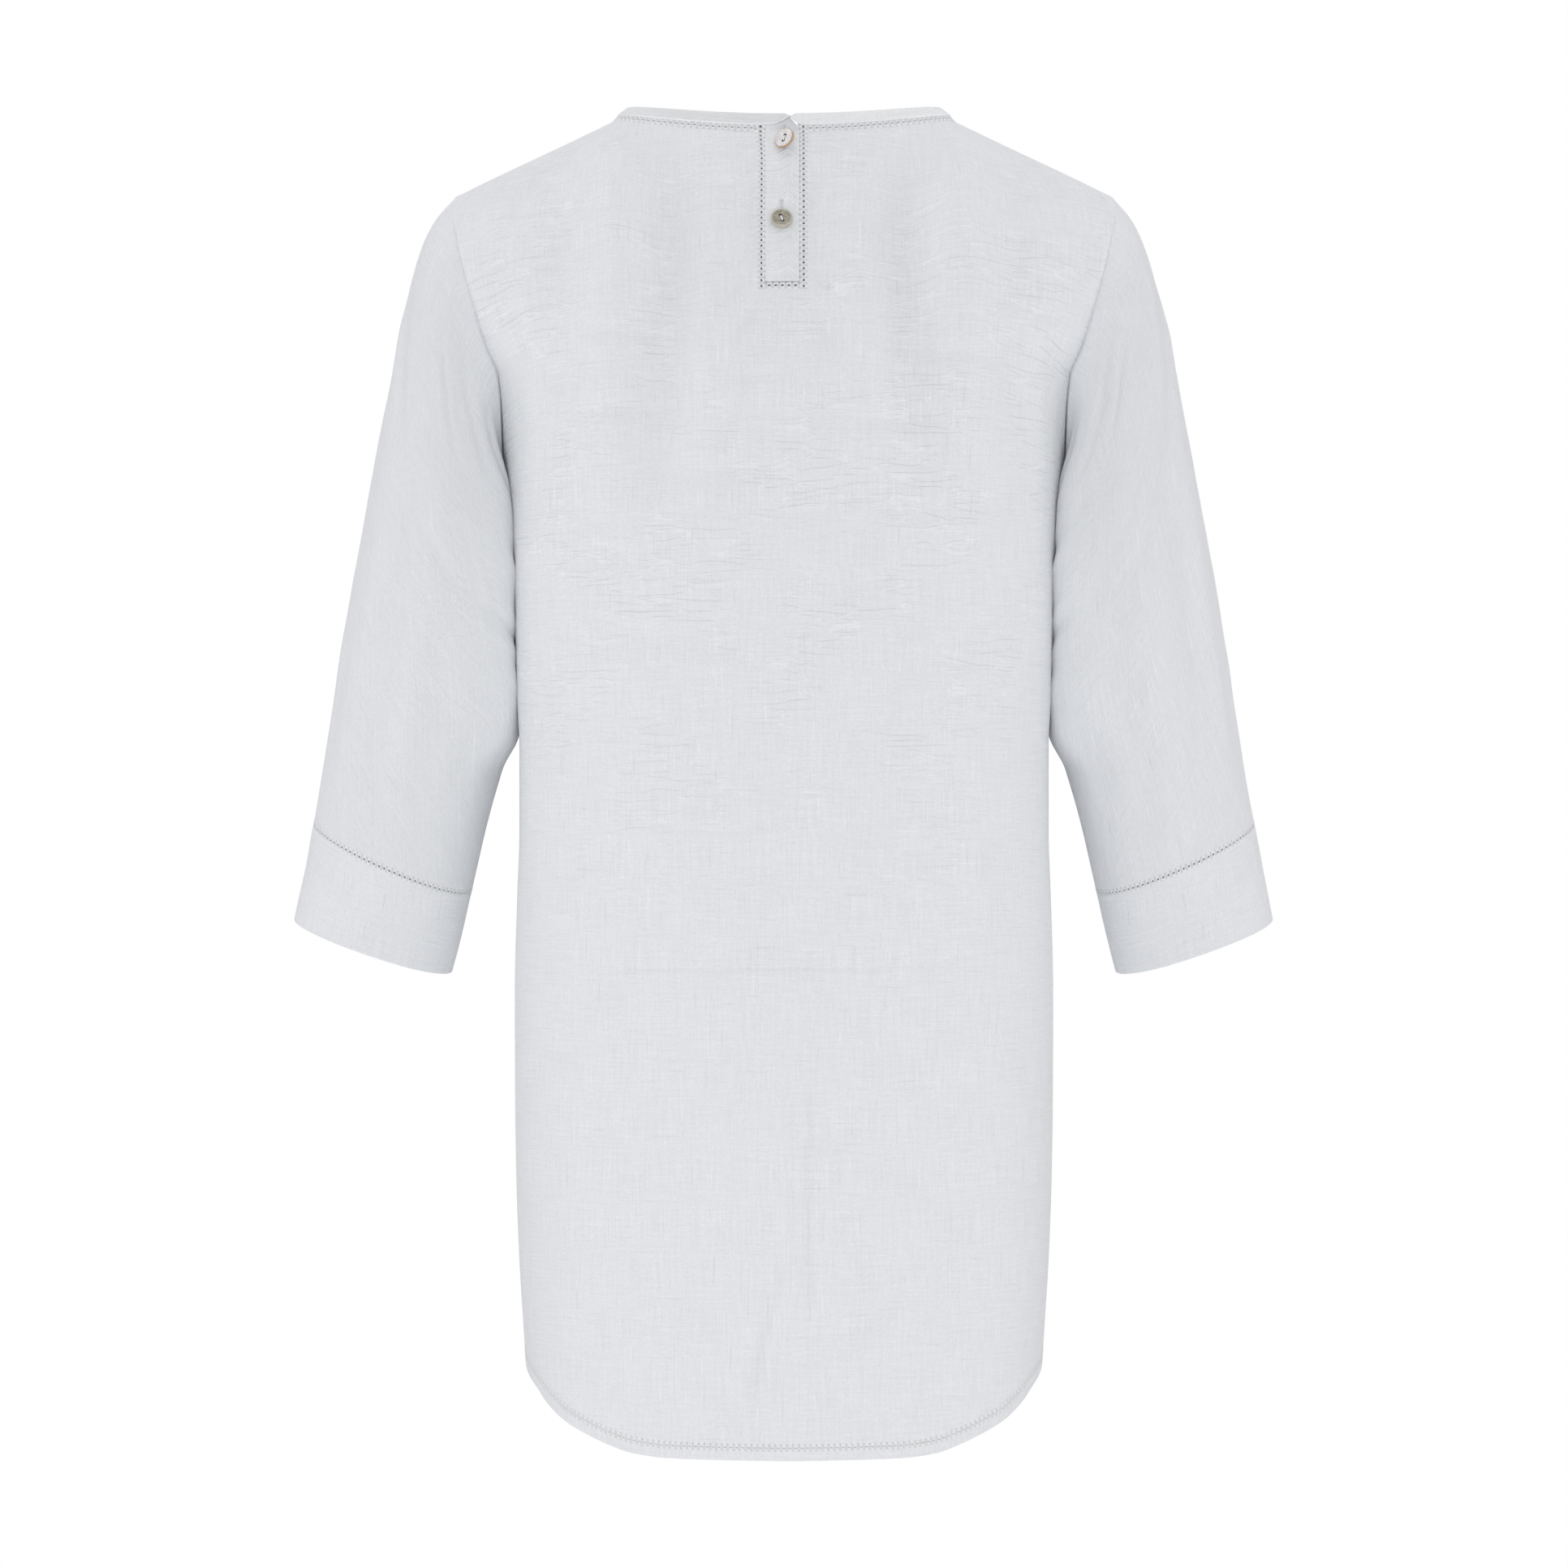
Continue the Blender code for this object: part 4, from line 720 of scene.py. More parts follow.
    def corner_easing(self, side: Side) -> np.ndarray:
        """Gives how the cloth below the neck's side ends is evened out, on the coarse grid."""
        shares = np.concatenate([-self.SHARES[:0:-1], self.SHARES])
        grid = self.upper(side, shares, self.UPPER_ROWS)
        x, y, z = grid[..., 0], grid[..., 1].copy(), grid[..., 2]
        before = y.copy()
        offset = (np.abs(x) - self.sizes.neck_half) / 0.045
        weight = 0.5 * np.exp(-offset ** 2 - (z / 0.090) ** 2)
        weight[np.abs(x) < 0.030] = 0.0
        for _ in range(self.SMOOTHING_ROUNDS):
            mean = (y[:-2, 1:-1] + y[2:, 1:-1] + y[1:-1, :-2] + y[1:-1, 2:]) / 4
            y[1:-1, 1:-1] = mix(y[1:-1, 1:-1], mean, weight[1:-1, 1:-1])
        return y - before

    def hem_z(self, side: Side, shares: np.ndarray) -> np.ndarray:
        """Gives the hem edge's height at shares of the way from centre to side."""
        size = self.sizes
        section_x, _, lengths = self.section(side, size.hem_side_z)
        x = np.interp(np.abs(shares) * lengths[-1], lengths, section_x)
        reach = x / float(self.full_half_width(side, np.array(size.hem_side_z)))
        drop = size.back_hem_drop if side is Side.BACK else size.front_hem_drop
        return size.hem_side_z - drop * self.hem_drop(reach)

    def lower(self, side: Side, shares: np.ndarray, heights: np.ndarray) -> tuple[np.ndarray, np.ndarray]:
        """Gives points of the lower body on columns.

        Args:
            side: The panel.
            shares: Signed shares of the way from centre to side, one for each column.
            heights: Heights, rows by columns.

        Returns:
            The points, and each one's length round the body from the centre.
        """
        levels = np.linspace(self.sizes.underarm_z, -0.800, 150)
        far = np.abs(shares)
        known = np.empty((3, len(levels), len(shares)))
        for row, level in enumerate(levels):
            x, y, lengths = self.section(side, float(level))
            wanted = far * lengths[-1]
            known[0, row] = np.interp(wanted, lengths, x)
            known[1, row] = np.interp(wanted, lengths, y)
            known[2, row] = wanted
        read = np.empty((3,) + heights.shape)
        for column in range(len(shares)):
            for value in range(3):
                read[value, :, column] = np.interp(
                    -heights[:, column], -levels, known[value, :, column]
                )
        sign = np.sign(shares)[None, :]
        x = read[0] * sign
        y = read[1] - side.value * self.drape(side, x, heights)
        return np.stack([x, y, heights], axis=-1), read[2] * sign

    def hem_line(self, side: Side, shares: np.ndarray, distances: Sequence[float]) -> np.ndarray:
        """Gives lines that lie distances above the hem edge, along the cloth."""
        step = 0.01
        near, far = np.minimum(np.abs(shares) + step, 1.0), np.maximum(np.abs(shares) - step, 0.0)
        edge = self.hem_z(side, shares)
        rise = self.hem_z(side, near) - self.hem_z(side, far)
        _, _, lengths = self.section(side, self.sizes.hem_side_z)
        slope = np.sqrt(1.0 + (rise / ((near - far) * lengths[-1])) ** 2)
        heights = edge[None, :] + np.asarray(distances)[:, None] * slope[None, :]
        return self.lower(side, shares, heights)[0]

    def lift(self, side: Side, x: np.ndarray, z: np.ndarray) -> np.ndarray:
        """Gives the creases' height at a place, faded out at the seams that other pieces meet."""
        size = self.sizes
        above = z > size.underarm_z
        edge = np.where(above, self.armhole[side](z), self.half_width(z))
        to_side = ease((1.0 - np.abs(x) / edge) / 0.07)
        top_z = self.top_edge(side, np.minimum(np.abs(x), size.shoulder_x))[1]
        to_top = ease((top_z - z) / 0.014)
        return self.creases[side].height(x, z) * to_side * to_top

    def rise(self, x: np.ndarray, y: np.ndarray) -> np.ndarray:
        """Gives the direction in which the neck's trim and band rise from the neck edge."""
        size = self.sizes
        back = y < 0
        depth = np.where(back, size.lean_depth_back, size.lean_depth_front)
        inward = unit(np.stack([-x / size.neck_half, -y / depth, np.zeros_like(x)], axis=-1))
        to_side = np.minimum(np.abs(x) / size.neck_half, 1.0) ** 2
        lean = mix(np.where(back, size.lean_back, size.lean_front), size.lean_side, to_side)
        up = np.stack([np.zeros_like(x), np.zeros_like(x), np.sqrt(1.0 - lean ** 2)], axis=-1)
        return unit(inward * lean[..., None] + up)

    def back_surface(self, x: np.ndarray, z: np.ndarray, out: float = 0.0) -> np.ndarray:
        """Gives points of the creased upper back near the slit, moved out by a distance."""
        step = 0.001
        side = Side.BACK
        y = self.panel_y(side, x, z)
        slope_x = (self.panel_y(side, x + step, z) - self.panel_y(side, x - step, z)) / (2 * step)
        slope_z = (y - self.panel_y(side, x, z - step)) / step
        normal = unit(np.stack([slope_x, -np.ones_like(y), slope_z], axis=-1))
        height = self.lift(side, x, z) + out
        return np.stack([x, y, z], axis=-1) + normal * height[..., None]

    def neck_edge(self, side: Side, x: np.ndarray) -> np.ndarray:
        """Gives points of the neck edge line."""
        y, z = self.neck(side, x)
        return np.stack([x, y, z], axis=-1)

    def above_neck(self, points: np.ndarray, above: np.ndarray, out: float = 0.0) -> np.ndarray:
        """Gives points some distance above neck edge points, along the rise of trim and band."""
        rise = self.rise(points[:, 0], points[:, 1])
        flat = np.stack([points[:, 0], points[:, 1] * 4.0, np.zeros(len(points))], axis=-1)
        outward = unit(flat)
        outward = unit(outward - rise * np.sum(outward * rise, axis=-1, keepdims=True))
        return points + rise * np.asarray(above)[..., None] + outward * out


@dataclass
class MeshData:
    """A closed mesh's arrays.

    Attributes:
        points: Corner places.
        faces: Corner numbers, four to a face.
        coords: For each face corner, its two weave and its two stitch coordinates.
    """

    points: np.ndarray
    faces: np.ndarray
    coords: np.ndarray

    @staticmethod
    def joined(parts: Sequence["MeshData"]) -> "MeshData":
        """Puts several meshes together as one."""
        starts = np.cumsum([0] + [len(part.points) for part in parts[:-1]])
        return MeshData(
            np.concatenate([part.points for part in parts]),
            np.concatenate([part.faces + start for part, start in zip(parts, starts)]),
            np.concatenate([part.coords for part in parts]),
        )

    def to_object(self, name: str, material: bpy.types.Material) -> bpy.types.Object:
        """Makes a smooth shaded object of the mesh.

        Args:
            name: The object's name.
            material: Its material.

        Returns:
            The new object, linked to the scene.
        """
        mesh = bpy.data.meshes.new(name)
        mesh.from_pydata(self.points.tolist(), [], self.faces.tolist())
        for label, columns in (("Weave", slice(0, 2)), ("Stitch", slice(2, 4))):
            layer = mesh.uv_layers.new(name=label)
            layer.data.foreach_set("uv", self.coords[..., columns].astype(np.float32).ravel())
        mesh.shade_smooth()
        mesh.materials.append(material)
        item = bpy.data.objects.new(name, mesh)
        bpy.context.scene.collection.objects.link(item)
        return item


def grid_normals(grid: np.ndarray) -> np.ndarray:
    """Gives the unit normal at each point of a grid, across columns and then rows."""
    across = np.gradient(grid, axis=1)
    down = np.gradient(grid, axis=0)
    return unit(np.cross(across, down))


def run_lengths(points: np.ndarray, axis: int) -> np.ndarray:
    """Gives the length along a grid's rows (1) or columns (0), from the first point."""
    steps = np.linalg.norm(np.diff(points, axis=axis), axis=-1)
    start = np.zeros_like(np.take(steps, [0], axis=axis))
    return np.concatenate([start, np.cumsum(steps, axis=axis)], axis=axis)


@dataclass
class Sheet:
    """An open surface of quads, before it is given its thickness.

    Attributes:
        points: Corner places.
        quads: Corner numbers.
        coords: For each quad corner, its two weave and its two stitch coordinates.
        level: Marks the points at a seam whose normal lies in the plane Y = 0.
    """

    points: np.ndarray
    quads: np.ndarray
    coords: np.ndarray
    level: Optional[np.ndarray] = None

    @classmethod
    def from_grid(cls, grid, weave, around=False, skip=None, level=None) -> "Sheet":
        """Makes a sheet of a grid of points.

        Args:
            grid: Points, rows by columns by 3.
            weave: Weave coordinates, with one more column than the grid when it goes around.
            around: Whether the last column joins the first.
            skip: Marks the cells that are left out.
            level: Marks the points whose normal lies in the plane Y = 0.
        """
        rows, columns = grid.shape[:2]
        index = np.arange(rows * columns).reshape(rows, columns)
        if around:
            index = np.concatenate([index, index[:, :1]], axis=1)
        coords = np.concatenate([weave, np.zeros_like(weave)], axis=-1)
        keep = np.ones((index.shape[0] - 1, index.shape[1] - 1), bool) if skip is None else ~skip
        quads = [index[:-1, :-1], index[:-1, 1:], index[1:, 1:], index[1:, :-1]]
        corners = [coords[:-1, :-1], coords[:-1, 1:], coords[1:, 1:], coords[1:, :-1]]
        return cls(
            grid.reshape(-1, 3),
            np.stack(quads, axis=-1)[keep],
            np.stack(corners, axis=-2)[keep],
            None if level is None else level.ravel(),
        )

    def normals(self) -> np.ndarray:
        """Gives the unit normal at each point, from the quads about it."""
        corner = self.points[self.quads]
        face = np.cross(corner[:, 2] - corner[:, 0], corner[:, 3] - corner[:, 1])
        total = np.zeros_like(self.points)
        for k in range(4):
            np.add.at(total, self.quads[:, k], face)
        if self.level is not None:
            total[self.level, 1] = 0.0
        return unit(total)

    def faced_from(self, inside: np.ndarray) -> "Sheet":
        """Turns the quads so that they face away from a place inside the garment."""
        if np.sum(self.normals() * (self.points - inside)) < 0.0:
            return Sheet(self.points, self.quads[:, ::-1], self.coords[:, ::-1], self.level)
        return self

    def shell(self, thickness: float, rounds: int = 4) -> MeshData:
        """Makes a closed shell about the sheet, with rounded edges.

        Args:
            thickness: The shell's thickness.
            rounds: Steps over each edge.

        Returns:
            The shell's mesh.
        """
        used = np.unique(self.quads)
        number = np.full(len(self.points), -1)
        number[used] = np.arange(len(used))
        points, normals, quads = self.points[used], self.normals()[used], number[self.quads]
        count, half = len(points), thickness / 2
        start = np.concatenate([quads[:, k] for k in range(4)])
        end = np.concatenate([quads[:, (k + 1) % 4] for k in range(4)])
        border = ~np.isin(start * count + end, end * count + start)
        a, b = start[border], end[border]
        a_coords = np.concatenate([self.coords[:, k] for k in range(4)])[border]
        b_coords = np.concatenate([self.coords[:, (k + 1) % 4] for k in range(4)])[border]
        away = unit(np.cross(points[b] - points[a], normals[a] + normals[b]))
        out = np.zeros_like(points)
        np.add.at(out, a, away)
        np.add.at(out, b, away)
        rim = np.unique(a)
        rim_number = np.full(count, -1)
        rim_number[rim] = np.arange(len(rim))
        layers = [np.arange(count)]
        places = [points + normals * half, points - normals * half]
        for layer in range(1, rounds):
            angle = math.pi * layer / rounds
            turned = normals[rim] * math.cos(angle) + unit(out[rim]) * math.sin(angle)
            places.append(points[rim] + turned * half)
            layers.append(2 * count + (layer - 1) * len(rim) + rim_number)
        layers.append(np.arange(count) + count)
        faces = [quads, quads[:, ::-1] + count]
        coords = [self.coords, self.coords[:, ::-1]]
        for upper, lower in zip(layers, layers[1:]):
            faces.append(np.stack([upper[b], upper[a], lower[a], lower[b]], axis=-1))
            coords.append(np.stack([b_coords, a_coords, a_coords, b_coords], axis=1))
        return MeshData(np.concatenate(places), np.concatenate(faces), np.concatenate(coords))


@dataclass(frozen=True)
class StitchSizes:
    """One kind of hemstitch: how far apart its holes are, and how large.

    Attributes:
        pitch: From hole to hole.
        width: Across the whole stitch work.
        hole_along: A hole's size along the row.
        hole_across: A hole's size across the row.
        slant: How far a hole's ends lean along the row.
        relief: How far the bound edges of a hole stand out.
    """

    pitch: float = 0.0038
    width: float = 0.0048
    hole_along: float = 0.0021
    hole_across: float = 0.0018
    slant: float = 0.0003
    relief: float = 0.00022


class Hemstitch:
    """A ribbon of stitched cells, each with an oval pit for a hole, bound with thread; the pit's sunken floor is
    darkened with painted shade by the stitch work's material.
    """

    CORNERS = 16
    SHARES = (0.0, 0.22, 0.55, 1.0)
    # The pit's sunken floor: no hole is cut through, and its dark is painted shade.
    FLOOR = 0.82
    FLOOR_DEPTH = 0.00045
    TUCK = 0.12

    def __init__(self, sizes: StitchSizes, ribbon: np.ndarray, inside: np.ndarray,
                 closed: bool = False) -> None:
        """Keeps the ribbon and works out its lengths.

        Args:
            sizes: The stitch's sizes.
            ribbon: Points, rows across by columns along; the first and last rows lie under the
                neighbours.
            inside: A place inside the garment, which the stitch work faces away from.
            closed: Whether the ribbon's last column is its first.
        """
        self.sizes = sizes
        self.ribbon = ribbon
        self.inside = inside
        self.closed = closed
        middle = ribbon[ribbon.shape[0] // 2]
        self.lengths = run_lengths(middle, axis=0)
        self.cells = max(int(round(self.lengths[-1] / sizes.pitch)), 1)
        normals = grid_normals(ribbon)
        facing = np.sign(np.sum(normals * (ribbon - inside)))
        self.normals = normals * facing
        if closed:
            ends = unit(self.normals[:, 0] + self.normals[:, -1])
            self.normals[:, 0] = ends
            self.normals[:, -1] = ends

    @classmethod
    def rows_across(cls) -> np.ndarray:
        """Gives the shares of the width at which a ribbon's rows lie."""
        return np.linspace(-cls.TUCK, 1.0 + cls.TUCK, 7)

    def read(self, field: np.ndarray, s: np.ndarray, q: np.ndarray) -> np.ndarray:
        """Reads a field of the ribbon's grid at shares along and across."""
        rows, columns = field.shape[:2]
        at = np.interp(s * self.lengths[-1], self.lengths, np.arange(columns))
        c = np.clip(np.floor(at).astype(int), 0, columns - 2)
        across = (q + self.TUCK) / (1.0 + 2 * self.TUCK) * (rows - 1)
        r = np.clip(np.floor(across).astype(int), 0, rows - 2)
        t = (at - c)[:, None]
        w = (across - r)[:, None]
        low = mix(field[r, c], field[r, c + 1], t)
        high = mix(field[r + 1, c], field[r + 1, c + 1], t)
        return mix(low, high, w)

    def cell(self) -> tuple[np.ndarray, np.ndarray]:
        """Gives one cell's points, by share along and across, and its quads."""
        size = self.sizes
        side = np.array([-1.0, -0.5, 0.0, 0.5])
        ones = np.ones(4)
        edge = np.concatenate([
            np.stack([ones, side], 1), np.stack([-side, ones], 1),
            np.stack([-ones, -side], 1), np.stack([side, -ones], 1),
        ])
        round_way = unit(edge * np.array([1.0, 1.0]))
        lean = size.slant / size.pitch * round_way[:, 1]
        hole = round_way * np.array([size.hole_along / size.pitch, size.hole_across / size.width]) / 2
        hole[:, 0] += lean
        outer = edge * np.array([0.5, 0.5 + self.TUCK])
        rings = [hole * self.FLOOR + 0.5] + [mix(hole, outer, share) + 0.5 for share in self.SHARES]
        k = np.arange(self.CORNERS)
        following = (k + 1) % self.CORNERS
        quads = []
        for ring in range(len(self.SHARES)):
            inner, beyond = ring * self.CORNERS, (ring + 1) * self.CORNERS
            quads.append(np.stack([beyond + k, beyond + following, inner + following, inner + k], 1))
        middle = len(rings) * self.CORNERS
        even = k[::2]
        fan = [np.full_like(even, middle), even, even + 1, (even + 2) % self.CORNERS]
        quads.append(np.stack(fan, 1))
        return np.concatenate(rings + [np.array([[0.5, 0.5]])]), np.concatenate(quads)

    def sheet(self, first: float = 0.0) -> Sheet:
        """Makes the pierced sheet.

        Args:
            first: Where the stitch coordinates begin, in cells.

        Returns:
            The sheet, with a stitch coordinate of one for each cell along the row.
        """
        points, quads = self.cell()
        size = self.sizes
        along = np.concatenate([points[:, 0] + cell for cell in range(self.cells)])
        across = np.tile(points[:, 1], self.cells)
        faces = np.concatenate([quads + cell * len(points) for cell in range(self.cells)])
        one = np.concatenate([np.repeat((-1.0, *self.SHARES), self.CORNERS), [-1.0]])
        ring = np.tile(one, self.cells)
        period = along % self.cells if self.closed else along
        keys = np.round(np.stack([period, across], 1) * 4096).astype(np.int64)
        if self.closed:
            keys[:, 0] %= self.cells * 4096
        _, first_use, number = np.unique(keys, axis=0, return_index=True, return_inverse=True)
        number = number.ravel()
        s = along / self.cells
        place = self.read(self.ribbon, s, across)
        normal = self.read(self.normals, s, across)
        bar = np.abs((along % 1.0) - 0.5) * 2.0
        off = np.abs(across - 0.5) * 2.0
        raised = size.relief * (1.0 - 0.75 * ring) + 0.00012 * bar * (off < 0.7)
        edge = ease((off - 0.86) / 0.34)
        height = raised * (1.0 - edge) - 0.00030 * edge
        height = np.where(ring < 0.0, -self.FLOOR_DEPTH, height)
        place = place + unit(normal) * height[:, None]
        weave = np.stack([s * self.lengths[-1], across * size.width], axis=-1)
        stitch = np.stack([along + first, across], axis=-1)
        coords = np.concatenate([weave, stitch], axis=-1)[faces]
        return Sheet(place[first_use], number[faces], coords).faced_from(self.inside)


class Graph:
    """Short calls that add shader nodes to a tree."""

    def __init__(self, tree: bpy.types.NodeTree) -> None:
        """Keeps the tree.

        Args:
            tree: The node tree to add to.
        """
        self.tree = tree

    def add(self, kind: str, **settings) -> bpy.types.Node:
        """Adds a node and sets its properties."""
        node = self.tree.nodes.new(kind)
        for name, value in settings.items():
            setattr(node, name, value)
        return node

    def put(self, socket: bpy.types.NodeSocket, value) -> None:
        """Links an output to a socket, or sets the socket's own value."""
        if isinstance(value, bpy.types.NodeSocket):
            self.tree.links.new(value, socket)
        elif value is not None:
            socket.default_value = value

    def math(self, operation: str, *values) -> bpy.types.NodeSocket:
        """Adds a math node on up to three values."""
        node = self.add("ShaderNodeMath", operation=operation)
        for socket, value in zip(node.inputs, values):
            self.put(socket, value)
        return node.outputs[0]

    def scaled(self, vector: bpy.types.NodeSocket, factors: Sequence[float]) -> bpy.types.NodeSocket:
        """Multiplies a vector by three factors."""
        node = self.add("ShaderNodeVectorMath", operation="MULTIPLY")
        self.put(node.inputs[0], vector)
        node.inputs[1].default_value = factors
        return node.outputs[0]

    def noise(self, vector, scale: float, detail: float = 2.0) -> bpy.types.NodeSocket:
        """Adds a noise texture and gives its value."""
        node = self.add("ShaderNodeTexNoise")
        self.put(node.inputs["Vector"], vector)
        node.inputs["Scale"].default_value = scale
        node.inputs["Detail"].default_value = detail
        return node.outputs["Fac"]

    def ranged(self, value, low: float, high: float, to_low: float, to_high: float):
        """Carries a value over from one range to another, smoothly and held at its ends."""
        node = self.add("ShaderNodeMapRange", interpolation_type="SMOOTHSTEP")
        for socket, given in zip(node.inputs, (value, low, high, to_low, to_high)):
            self.put(socket, given)
        return node.outputs[0]

    def blend(self, factor, first, second, mode: str = "MIX") -> bpy.types.NodeSocket:
        """Blends two colours."""
        node = self.add("ShaderNodeMix", data_type="RGBA", blend_type=mode)
        self.put(node.inputs[0], factor)
        self.put(node.inputs[6], first)
        self.put(node.inputs[7], second)
        return node.outputs[2]


@dataclass(frozen=True)
class Port:
    """A named socket of a node group."""

    name: str
    kind: str
    value: object = None


class Effect:
    """A shader node group that is built once and placed in every material that uses it."""

    title = "effect"
    inputs: tuple[Port, ...] = ()
    outputs: tuple[Port, ...] = ()

    def wire(self, graph: Graph, given: dict, result: dict) -> None:
        """Adds the group's own nodes between its inputs and outputs."""
        raise NotImplementedError

    def tree(self) -> bpy.types.NodeTree:
        """Gives the group's tree, built at its first use."""
        found = bpy.data.node_groups.get(self.title)
        if found:
            return found
        tree = bpy.data.node_groups.new(self.title, "ShaderNodeTree")
        for ports, way in ((self.inputs, "INPUT"), (self.outputs, "OUTPUT")):
            for port in ports:
                socket = tree.interface.new_socket(port.name, in_out=way, socket_type=port.kind)
                if port.value is not None:
                    socket.default_value = port.value
        graph = Graph(tree)
        entry, leave = graph.add("NodeGroupInput"), graph.add("NodeGroupOutput")
        self.wire(graph, entry.outputs, _Sink(graph, leave))
        return tree

    def place(self, graph: Graph, **values) -> bpy.types.Node:
        """Places the group in a material's tree.

        Args:
            graph: The material's graph.
            values: Values or links for the inputs, with _ for each space in a name.

        Returns:
            The group node.
        """
        node = graph.add("ShaderNodeGroup", node_tree=self.tree(), label=self.title)
        for name, value in values.items():
            graph.put(node.inputs[name.replace("_", " ")], value)
        return node


class _Sink:
    """Takes the values that an effect puts out, by the names of its outputs."""

    def __init__(self, graph: Graph, node: bpy.types.Node) -> None:
        """Keeps the group's output node."""
        self.graph = graph
        self.node = node

    def __setitem__(self, name: str, value: bpy.types.NodeSocket) -> None:
        """Links a value to the named output."""
        self.graph.put(self.node.inputs[name], value)


class LinenWeave(Effect):
    """Plain linen weave: thin uneven threads both ways, sparse slubs, faint mottling and a painted highlight along
    fine crinkle ridges.
    """

    title = "linen weave"
    inputs = (
        Port("Weave", "NodeSocketVector"),
        Port("Colour", "NodeSocketColor", (0.8, 0.8, 0.8, 1.0)),
        Port("Streaks", "NodeSocketFloat", 0.05),
        Port("Slubs", "NodeSocketFloat", 0.04),
        Port("Crinkles", "NodeSocketFloat", 0.03),
    )
    outputs = (Port("Colour", "NodeSocketColor"), Port("Height", "NodeSocketFloat"))
    THREAD = 0.00058
    STREAK = (1 / 0.00105, 1 / 0.030)
    SLUB = (1 / 0.0012, 1 / 0.026)
    LUMP = 0.0016
    CRINKLE = (1 / 0.034, 1 / 0.0062)

    def wire(self, graph: Graph, given: dict, result: dict) -> None:
        """Adds the weave's nodes."""
        weave = given["Weave"]
        thin, long = self.STREAK
        warp = graph.noise(graph.scaled(weave, (thin, long, 1.0)), 1.0)
        weft = graph.noise(graph.scaled(weave, (long, thin, 1.0)), 1.0)
        thin, long = self.SLUB
        warp_slub = graph.noise(graph.scaled(weave, (thin, long, 1.7)), 1.0, 1.0)
        weft_slub = graph.noise(graph.scaled(weave, (long, thin, 2.3)), 1.0, 1.0)
        light = graph.math(
            "ADD", graph.ranged(warp_slub, 0.66, 0.76, 0, 1), graph.ranged(weft_slub, 0.68, 0.78, 0, 1)
        )
        dark = graph.math(
            "ADD", graph.ranged(warp_slub, 0.33, 0.24, 0, 1), graph.ranged(weft_slub, 0.33, 0.24, 0, 1)
        )
        mottle = graph.noise(weave, 34.0, 3.0)
        grain = graph.noise(weave, 1 / self.LUMP, 2.0)
        crinkle = self.crinkles(graph, weave)
        streak = graph.math("SUBTRACT", graph.math("MULTIPLY_ADD", weft, 0.8, warp), 0.9)
        change = graph.math("MULTIPLY", streak, given["Streaks"])
        slubs = graph.math("MULTIPLY", graph.math("SUBTRACT", light, dark), given["Slubs"])
        change = graph.math("ADD", change, slubs)
        change = graph.math("MULTIPLY_ADD", graph.math("SUBTRACT", mottle, 0.5), 0.03, change)
        change = graph.math("MULTIPLY_ADD", graph.math("SUBTRACT", grain, 0.5), 0.14, change)
        # Painted highlight: the crinkles' ridge lines are made lighter in the colour.
        change = graph.math("MULTIPLY_ADD", crinkle, given["Crinkles"], change)
        factor = graph.math("ADD", 1.0, change)
        tone = graph.add("ShaderNodeCombineColor")
        for socket in tone.inputs:
            graph.put(socket, factor)
        result["Colour"] = graph.blend(1.0, given["Colour"], tone.outputs[0], "MULTIPLY")
        parts = graph.add("ShaderNodeSeparateXYZ")
        graph.put(parts.inputs[0], graph.scaled(weave, (2 * math.pi / self.THREAD,) * 3))
        knit = graph.math("MULTIPLY", graph.math("SINE", parts.outputs[0]), graph.math("SINE", parts.outputs[1]))
        height = graph.math("MULTIPLY_ADD", knit, 0.30, graph.math("ADD", warp, weft))
        height = graph.math("MULTIPLY_ADD", light, 0.35, height)
        result["Height"] = graph.math("MULTIPLY_ADD", crinkle, 2.2, height)

    def crinkles(self, graph: Graph, weave: bpy.types.NodeSocket) -> bpy.types.NodeSocket:
        """Gives fine level ridges, strongest above and just below the underarm."""
        wide, high = self.CRINKLE
        ground = graph.noise(graph.scaled(weave, (wide, high, 1.3)), 1.0, 1.5)
        off = graph.math("ABSOLUTE", graph.math("SUBTRACT", ground, 0.5))
        line = graph.ranged(off, 0.0, 0.045, 1.0, 0.0)
        parts = graph.add("ShaderNodeSeparateXYZ")
        graph.put(parts.inputs[0], weave)
        low_down = graph.ranged(parts.outputs[1], 0.06, 0.30, 1.0, 0.25)
        patch = graph.ranged(graph.noise(weave, 17.0, 1.0), 0.42, 0.58, 0.15, 1.0)
        return graph.math("MULTIPLY", line, graph.math("MULTIPLY", low_down, patch))


